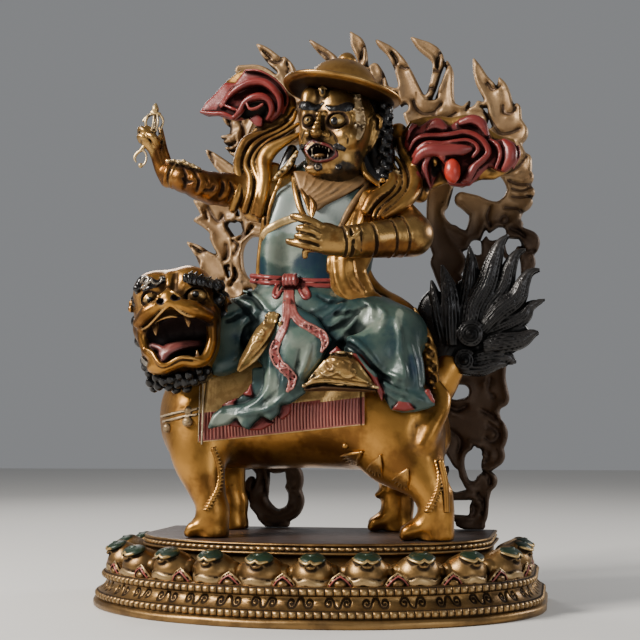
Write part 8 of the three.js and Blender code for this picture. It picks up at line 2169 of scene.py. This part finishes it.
def build_scarf(material):
    """The rolled scarf over both shoulders and the two billows that stand beside the head."""
    clay = Clay((-76, -35, 200), (136, 22, 306), 0.72, "gold")
    # Left side: three rolls that fan out and run down beside the arm
    for line in ([(-17, 4, 269.7, 1.2, 2), (-27.4, 3, 265.3, 2.2, 3), (-34.3, 2, 262, 3, 3.6),
            (-39.3, 1, 259.1, 3.4, 4), (-42, -1, 252.9, 3.3, 4), (-42.4, -6, 243.6, 3.3, 4),
            (-39.8, -12, 234.1, 3.3, 4), (-39.8, -15, 225.5, 3.2, 4), (-43.2, -14, 217.4, 2.6, 3)],
            [(-10.2, 0, 274.6, 1.2, 1.6), (-12.9, -1, 268.1, 1.4, 2), (-19.7, -2, 263, 1.7, 2.4),
            (-28.2, -3, 259.2, 1.9, 2.6), (-33.6, -5, 254.4, 2, 2.8), (-36.5, -7, 247.7, 2, 2.8),
            (-36, -11, 241, 2.1, 2.8), (-32.6, -15, 234.2, 2.2, 2.8), (-32.3, -18, 224.6, 2.3, 2.8),
            (-35.4, -17, 215.3, 2.2, 2.6)], [(-7.7, -6, 265.9, 1.1, 1.6), (-15, -7, 260.9, 1.4, 2),
            (-23.4, -8, 256.5, 1.6, 2.2), (-29.6, -9, 250.9, 1.6, 2.4), (-32, -12, 244, 1.7, 2.4),
            (-30, -15, 237.5, 1.7, 2.4), (-27.4, -17, 231.3, 1.7, 2.4), (-27.8, -19, 222.5, 1.7, 2.4),
            (-30.6, -18, 213.8, 1.5, 2.2)], [(-6.4, -12, 258, 1.6, 2), (-14.4, -12, 254.4, 2.6, 3),
            (-22.4, -12, 249.8, 4.4, 4), (-25.6, -13, 243.4, 4.6, 4), (-24.3, -16, 233.6, 3.8, 4),
            (-24.9, -18, 223.1, 3.2, 3.6), (-27.4, -17, 213.3, 2.8, 3)]):
        clay.limb(line, 0.4)
    clay.limb([(-18, 10, 268, 6, 5), (-30, 8, 258, 6, 5), (-38, 5, 246, 5, 5), (-40, 2, 226, 4, 5)], 1)
    # Right side: a broad roll and two narrow ones that cross the upper arm
    for line in ([(48.7, 4, 255.5, 2.2, 3), (50.4, 3, 248.9, 3.2, 3.6), (54, 1, 242.6, 3.8, 4.2),
            (57.3, -4, 235.1, 4.1, 4.6), (58.4, -9, 227.2, 4.2, 4.6), (56.7, -14, 220.2, 3.8, 4.4),
            (53, -19, 215, 3.4, 4), (48.1, -23, 210.6, 2.8, 3.4), (43.7, -26, 207, 2, 2.6)],
            [(46.9, 0, 245, 1.2, 1.8), (50.6, -3, 238.4, 1.5, 2.2), (53.3, -10, 230, 1.6, 2.4),
            (52.7, -16, 222.2, 1.6, 2.4), (48.6, -22, 216.2, 1.5, 2.4), (43.7, -26, 211.3, 1.4, 2.2),
            (40.8, -28, 206.8, 1, 1.6)], [(44.9, -2, 241.8, 1, 1.6), (48.6, -5, 235.3, 1.3, 2),
            (50.6, -12, 228.1, 1.4, 2.2), (48.6, -18, 221.4, 1.4, 2.2), (43.8, -23, 215.7, 1.4, 2.2),
            (39.9, -26, 211, 1.3, 2), (38.3, -28, 206.9, 0.9, 1.4)],
            [(42.9, -4, 238.6, 2.2, 3), (46.6, -11, 230.1, 3, 3), (44, -16, 223.7, 3.6, 3.4),
            (37.4, -20, 218.2, 4.2, 3.6), (33.3, -22, 211.5, 3.2, 3)]):
        clay.limb(line, 0.4)
    for row in range(5):
        for x, y, z, radius in [(45.8, -9, 235.6, 1.3), (48, -9, 235.5, 1.3), (49.7, -9, 234.9, 1.2)]:
            clay.ball((x + math.sin(row * 2.1) * 0.3, y, z - row * 1.9), radius * 0.8, blend=0.3,
                paint="pale")
    clay.limb([(46, 10, 262, 6, 5), (54, 8, 250, 7, 5), (60, 4, 236, 6, 5), (60, 0, 224, 5, 5)], 1)
    # Left billow: a bag of red cloth seen into its mouth, with gold at the back
    clay.sheet([(-53.5, 6, 296.8), (-46.2, 6, 302.3), (-40.8, 6, 303.7), (-31.8, 6, 302.5),
        (-23.4, 6, 297.2), (-16.3, 6, 288.4), (-11.4, 5, 283.7), (-10.6, 4, 278.1), (-14.4, 3, 272.2),
        (-19.2, 3, 269.5), (-31, 3, 264.4), (-38.1, 3, 264.2), (-31.2, 4, 272.3), (-44.7, 5, 278.1),
        (-53.4, 6, 286.1)], 2.6, 0.4, "gold", bulge=2)
    clay.sheet([(-67.3, 0, 277.5), (-64, 1, 283.5), (-58.9, 2, 288.2), (-52.6, 3, 295.3), (-46.6, 3, 294.3),
        (-41.2, 3, 302.2), (-34.6, 3, 302.1), (-26.3, 3, 298.2), (-19.7, 3, 293.1), (-16.5, 2, 286.1),
        (-16.9, 1, 278.2), (-20.2, 0, 272.3), (-25.5, 0, 269.1), (-30.2, 0, 270.6), (-37.3, 0, 272.8),
        (-43.3, 0, 271.3), (-49.2, 0, 272.3), (-56.4, 0, 275.1), (-62.5, 0, 275.1)], 2.8, 0.4, "red",
        bulge=1.5)
    # Painted shade inside the mouth of the bag
    clay.dent((-33.9, -4, 275), (8, 5, 5.6), turn=(0, -0.15, 0), blend=0.8, paint="dark")
    for line in ([(-53.2, -3, 278.8, 1, 1.8), (-47.2, -5, 285.5, 1.4, 2.4), (-41.6, -6, 288.9, 2, 3),
            (-34.5, -6, 291.4, 2.4, 3.4), (-27.5, -6, 290.9, 2.6, 3.4), (-21.6, -6, 286.4, 2.5, 3.4),
            (-18.4, -5, 280.7, 2.4, 3.2), (-19.2, -4, 274.6, 1.8, 2.6), (-23.5, -3, 270, 1.2, 2)],
            [(-46.3, -4, 271.6, 1, 1.8), (-41.6, -6, 274.9, 1.8, 2.4), (-38.4, -7, 279.6, 2, 2.6),
            (-33.4, -8, 282, 2.3, 2.8), (-28.1, -8, 282.2, 2.4, 2.8), (-23.7, -7, 279.3, 2.2, 2.8),
            (-22.8, -6, 274.3, 1.8, 2.4), (-25.6, -4, 270.4, 1.2, 2)],
            [(-36.6, -9, 278.4, 0.7, 1), (-34.9, -9, 275.4, 0.9, 1.2), (-30.8, -9, 275.7, 1, 1.2),
            (-27.3, -9, 277.8, 0.8, 1)], [(-65.7, -3, 277.2, 0.9, 1.2), (-58.8, -4, 275.6, 1.2, 1.6),
            (-51.4, -5, 274.6, 1.3, 1.8), (-45.4, -5, 271.9, 1.1, 1.4)],
            [(-50.5, -4, 279.5, 0.9, 1.4), (-46, -5, 277.2, 1.1, 1.6), (-42.5, -5, 275.8, 0.9, 1.2)],
            [(-54.4, -3, 280, 0.6, 1), (-49.9, -4, 285.3, 0.8, 1.2), (-46, -3, 290.7, 0.6, 1)],
            [(-39.5, -1, 300.6, 0.7, 1.2), (-32.1, -2, 299.5, 0.9, 1.4), (-24.4, -2, 295.4, 0.9, 1.4),
            (-17.3, -2, 288.5, 0.9, 1.4), (-14.7, -2, 281.3, 0.9, 1.4), (-17.4, -2, 273.9, 0.8, 1.2)]):
        clay.limb(line, 0.5, "red")
    clay.sheet([(-38, -2, 271.7), (-32, -2, 274.5), (-28.5, -2, 271.1), (-29.7, -2, 266.5),
        (-32.6, -2, 266.7)], 1.4, 0.2, "pink")
    # Right billow: a broad bag whose rim turns back on itself, with a jewel beneath
    clay.sheet([(49.7, 4, 250.3), (50.3, 5, 260.8), (54.2, 6, 267.2), (62.1, 6, 269), (68.8, 6, 269.2),
        (77.7, 6, 267.5), (85.6, 6, 268.7), (93.3, 6, 267.1), (98.7, 5, 259.2), (104.1, 4, 255.2),
        (111.8, 3, 252.9), (114.4, 2, 246.3), (113.7, 2, 239.7), (108.2, 2, 234.4), (100.5, 3, 230.6),
        (92.9, 3, 230.9), (82.9, 3, 226.9), (74.1, 4, 229.8), (65.1, 4, 226.8), (60.8, 4, 235),
        (55.3, 4, 242)], 2.6, 0.4, "gold", bulge=1)
    clay.sheet([(51.4, 0, 252.1), (52.5, 1, 259.1), (55.8, 2, 264.9), (60.2, 2, 262.3), (65.9, 2, 266),
        (71.4, 2, 266.2), (76.9, 2, 261.4), (82.5, 2, 265.6), (88, 2, 266.9), (94, 2, 264.9),
        (97.8, 1, 257.6), (100, 0, 252.2), (107.5, 0, 252.6), (112.4, 0, 249.9), (114.4, 0, 244.7),
        (112.1, 0, 237.7), (107.2, 0, 234), (102.9, 0, 234.8), (98.6, 0, 237.2), (93.1, 0, 232.5),
        (87.6, 0, 227.2), (81, 0, 226.9), (76.6, 0, 227.7), (71.2, 0, 236.9), (65.6, 0, 226),
        (62.3, 0, 232.9), (55.8, 0, 243.4)], 2.8, 0.4, "red", bulge=1)
    for line in ([(55.1, -3, 248.3, 1, 1.6), (58.1, -4, 253, 1.4, 2), (63.2, -5, 255, 1.8, 2.4),
            (70.9, -5, 254.6, 1.9, 2.6), (78.7, -6, 254.7, 1.9, 2.6), (85.8, -6, 255.4, 2, 2.6),
            (92.2, -6, 252.8, 2.1, 2.8), (96.5, -6, 248.1, 2.3, 2.8), (98, -6, 243.6, 2.2, 2.8),
            (94.7, -6, 239.9, 2, 2.6), (89.7, -5, 236, 2.2, 2.6), (84.6, -4, 229.8, 2, 2.2)],
            [(57, -5, 243.8, 0.9, 1.4), (60.6, -7, 248.2, 1.2, 1.8), (65.7, -8, 250.5, 1.3, 2),
            (73.3, -8, 249.8, 1.3, 2), (81, -9, 250.2, 1.3, 2), (87, -9, 250.4, 1.3, 2),
            (91.3, -9, 248.2, 1.3, 2), (92.8, -9, 244.8, 1.3, 2), (90, -8, 241.4, 1.1, 1.8)],
            [(58.7, -6, 240.7, 2.4, 2.2), (62.3, -8, 244.5, 3.2, 2.6), (67.9, -9, 246.2, 3.6, 3),
            (75.5, -9, 245.2, 3.7, 3), (83.1, -9, 245.4, 3.4, 2.8), (88.5, -8, 245.9, 2.2, 2.2)],
            [(65.1, -2, 258.7, 1.4, 2.2), (69.7, -3, 262.2, 3.4, 3), (74.1, -3, 259.1, 2.6, 2.6)],
            [(84, -3, 261.9, 2.4, 2.6), (89.5, -4, 263, 3, 3), (94.4, -4, 260.5, 3, 3),
            (97, -4, 254.2, 2, 2.4)], [(53.9, -2, 254.3, 1, 1.6), (55.8, -3, 259.6, 1.6, 2.2),
            (58.5, -2, 262, 1, 1.6)], [(99.1, -4, 251.3, 1, 1.6), (103.4, -5, 247.5, 1.5, 2),
            (104.6, -5, 241.9, 1.5, 2), (102, -4, 235.6, 1, 1.6)], [(106.6, -3, 250, 2, 2.2),
            (109.7, -4, 245.1, 3.6, 3.2), (109.6, -4, 239.6, 3.4, 3.2), (106.3, -3, 235.1, 2, 2.2)],
            [(114, -1, 247.9, 0.7, 1.2), (114.4, -1, 242.3, 0.8, 1.4), (111, -1, 235.8, 0.7, 1.2)],
            [(67.1, -7, 243.4, 1.2, 1.6), (63.8, -7, 238.5, 1.8, 2.2), (64.1, -6, 232.6, 1.8, 2.2),
            (66.1, -5, 226.6, 1, 1.4)], [(71.1, -8, 243.5, 1.2, 1.6), (73.9, -9, 241.4, 1.8, 2),
            (75.4, -8, 238.8, 1.2, 1.4)], [(93.6, -6, 240, 1.4, 1.8), (90.3, -6, 235.7, 1.9, 2.2),
            (86.9, -5, 229.5, 1.8, 1.8)]):
        clay.limb(line, 0.5, "red")
    for spot in ((86.3, -5, 258.4), (72.1, -5, 259.8), (70.4, -12, 245.3), (81.2, -12, 245.3),
            (110.4, -8, 243), (65.7, -10, 233.9), (89.4, -9, 232.9), (93, -7, 261.4)):
        clay.stain(clay.shape_ball(spot, (6.5, 4.5, 4)), "pink")
    # Painted shade in the fold beside the jewel
    clay.dent((69.7, -6, 236.8), (3.0, 5, 6), blend=0.6, paint="dark")
    clay.limb([(68, -5, 243.8, 1.2), (69.4, -6, 240.7, 1.5), (69, -5, 238.7, 0.9)], 0.3, "gold")
    clay.ball((78.9, -9, 234), (4.5, 4.5, 7.0), blend=0.3, paint="jewel")
    clay.limb([(98, 1, 236.9, 1.6), (95.2, 1, 234.8, 2.4), (93, 1, 231.6, 1.4)], 0.5, "gold")
    thing = clay.mesh("scarf", 0.06)
    return finish_piece(thing, material, "rider")


def build_vajra(material):
    """The small gilt sceptre in the raised hand: a bud, four prongs, a stem and its lower hook."""
    clay = Clay((-106, -36, 232), (-78, -18, 278), 0.45)
    clay.limb([(-84.4, -27, 276.6, 0.4), (-84.7, -27, 274.6, 1.5), (-84.7, -27, 272.9, 1.9),
        (-84.9, -27, 270.9, 1.1)], 0.2)
    clay.limb([(-86.7, -27, 271.6, 1, 1.3), (-84.6, -27, 270.3, 1.2, 1.4), (-82.3, -27, 270.4, 1, 1.3)],
        0.3)
    for line in ([(-86.1, -27, 270.9, 0.8), (-89.3, -27, 269.4, 0.9), (-91.7, -27, 267, 0.7)],
            [(-88.7, -28, 269.4, 0.8), (-89.7, -29, 265.8, 0.8), (-89.2, -28, 262.6, 0.8),
            (-87.2, -27, 259.9, 0.8)], [(-84.8, -29, 268.9, 0.6), (-84.7, -30, 265.2, 0.6),
            (-86.2, -29, 260.4, 0.6)], [(-83.1, -28, 269.1, 0.6), (-82.4, -29, 265.3, 0.6),
            (-83.9, -28, 260.6, 0.6)], [(-82.3, -27, 270.1, 0.8), (-80.5, -27, 267.8, 0.8),
            (-80.2, -27, 265.2, 0.7), (-81.6, -27, 261.8, 0.7)], [(-86, -24, 270.9, 0.6),
            (-86, -23, 267.2, 0.6), (-86.2, -25, 261.5, 0.6)], [(-86, -27, 260.9, 1.4),
            (-88, -27, 257.1, 1.3), (-90.6, -27, 253.2, 1.2), (-92.7, -27, 250.5, 1.1)],
            [(-92.7, -27, 250.5, 0.9), (-95.6, -27, 248.4, 0.9), (-96.7, -27, 245.9, 0.8),
            (-95.8, -27, 243.8, 0.5)], [(-92.4, -27, 251, 0.7), (-90.3, -27, 248.6, 0.6),
            (-89.7, -27, 245.8, 0.6), (-90.5, -27, 243, 0.6), (-92.6, -27, 241.1, 0.7)]):
        clay.limb(line, 0.25)
    clay.ball((-93.1, -27, 241.7), (1.3, 1.2, 1.5), blend=0.3)
    clay.ball((-86, -27, 260.4), (2.0, 1.8, 1.3), blend=0.3)
    return finish_piece(clay.mesh("vajra_cast"), material, "vajra")


def build_rider():
    """The rider with its materials, from the robe outwards."""
    robe = build_robe(make_material("robe_paint", ROBE, [("lining", RED)],
        tints=[("chest", CHEST), ("sheen", SHEEN), ("dark", ROBE_SHADE)]))
    build_trimmings(make_material("trim_paint", COAT, [("belt", PINK), ("shawl", SHAWL),
        ("pale", PALE_GOLD), ("sole", DARK_BROWN), ("boot", BOOT_GOLD)]), robe)
    build_coat(make_material("coat_gilt", COAT))
    face = make_material("rider_face", SKIN, [("hair", BLACK), ("shadow", DARK_BROWN), ("eye", EYE_GOLD),
        ("pupil", BLACK), ("lip", LIP), ("mouth", MOUTH), ("tongue", AMBER), ("tooth", BONE),
        ("pale", ROUGH_GOLD), ("silver", HIGHLIGHT_SILVER)], tints=[("beard", BEARD_AND_SHADE)])
    build_rider_head(face)
    build_locks(make_material("locks_paint", COAT, [("pale", PALE_GOLD), ("hair", BLACK),
        ("silver", HAIR_GOLD)]))
    build_hat(make_material("hat_gilt", COAT, [("dark", BROWN_GOLD)]))
    build_arms(make_material("arm_gilt", SKIN, [("pale", PALE_GOLD)], tints=[("brown", BROWN_GOLD)]))
    build_scarf(make_material("scarf_paint", COAT, [("red", RED), ("pink", PINK), ("dark", SHADE_BLACK),
        ("jewel", BRIGHT_RED), ("pale", PALE_GOLD)]))
    build_vajra(make_material("vajra_gilt_look", PALE_GOLD))


# Floor, light and camera

FLOOR_HALF = 2200.0
SKY_COLOUR = (0.80, 0.82, 0.85, 1)
SKY_STRENGTH = 0.29
MIDDLE = (0, 0, 0.17)  # the place in metres at which all lamps are aimed
CAMERA_YAW = 0.2044  # angles in radians
CAMERA_PITCH = 0.0964
CAMERA_ROLL = 0.0036
LENS = 64.86  # millimetres, for a sensor 36 mm wide
SENSOR = 36

def plain_material(name, colour, roughness):
    """One even colour."""
    shader = Shader(name)
    shader.put(shader.surface.inputs["Base Color"], colour)
    shader.put(shader.surface.inputs["Roughness"], roughness)
    return shader.material


def build_floor():
    """The plane the statue stands on."""
    half = FLOOR_HALF * MM
    mesh = bpy.data.meshes.new("floor")
    mesh.from_pydata([(-half, -half, 0), (half, -half, 0), (half, half, 0), (-half, half, 0)], [],
        [(0, 1, 2, 3)])
    floor = bpy.data.objects.new("floor", mesh)
    bpy.context.scene.collection.objects.link(floor)
    mesh.materials.append(plain_material("floor_pale", (0.62, 0.61, 0.59), 0.75))


def add_light(name, place, aim, size, watts, colour):
    """A square soft lamp at a place in metres that shines at a point."""
    data = bpy.data.lights.new(name, "AREA")
    data.shape = "SQUARE"
    data.size = size
    data.energy = watts
    data.color = colour
    lamp = bpy.data.objects.new(name, data)
    lamp.location = place
    lamp.rotation_euler = (Vector(aim) - Vector(place)).to_track_quat("-Z", "Y").to_euler()
    bpy.context.scene.collection.objects.link(lamp)


def build_stage():
    """The floor, a soft sky and four lamps: key, fill, rim and edge."""
    build_floor()
    world = bpy.data.worlds.new("soft_sky")
    world.use_nodes = True
    sky = world.node_tree.nodes["Background"]
    sky.inputs["Color"].default_value = SKY_COLOUR
    sky.inputs["Strength"].default_value = SKY_STRENGTH
    bpy.context.scene.world = world
    add_light("key", (-0.72, -0.55, 0.72), MIDDLE, 0.30, 24.0, (1.0, 0.95, 0.88))
    add_light("fill", (0.80, -0.85, 0.30), MIDDLE, 0.5, 2.4, (0.93, 0.96, 1.0))
    add_light("rim", (-0.45, 0.7, 0.65), MIDDLE, 0.3, 2.4, (1.0, 0.97, 0.93))
    add_light("edge", (0.75, 0.42, 0.42), MIDDLE, 0.22, 3.5, (1.0, 0.98, 0.95))


def build_camera():
    """The photo's angle: a long lens, a little to the right of the front and slightly below the middle."""
    data = bpy.data.cameras.new("camera")
    data.sensor_width = SENSOR
    data.lens = LENS
    data.clip_end = 20
    camera = bpy.data.objects.new("camera", data)
    turn = Matrix.Rotation(CAMERA_YAW, 4, "Z")
    turn = turn @ Matrix.Rotation(math.pi / 2 + CAMERA_PITCH, 4, "X")
    turn = turn @ Matrix.Rotation(-CAMERA_ROLL, 4, "Z")
    camera.matrix_world = Matrix.Translation(Vector(EYE) * MM) @ turn
    bpy.context.scene.collection.objects.link(camera)
    bpy.context.scene.camera = camera


build_plinth()
build_aureole()
build_lion()
build_rider()
build_stage()
build_camera()
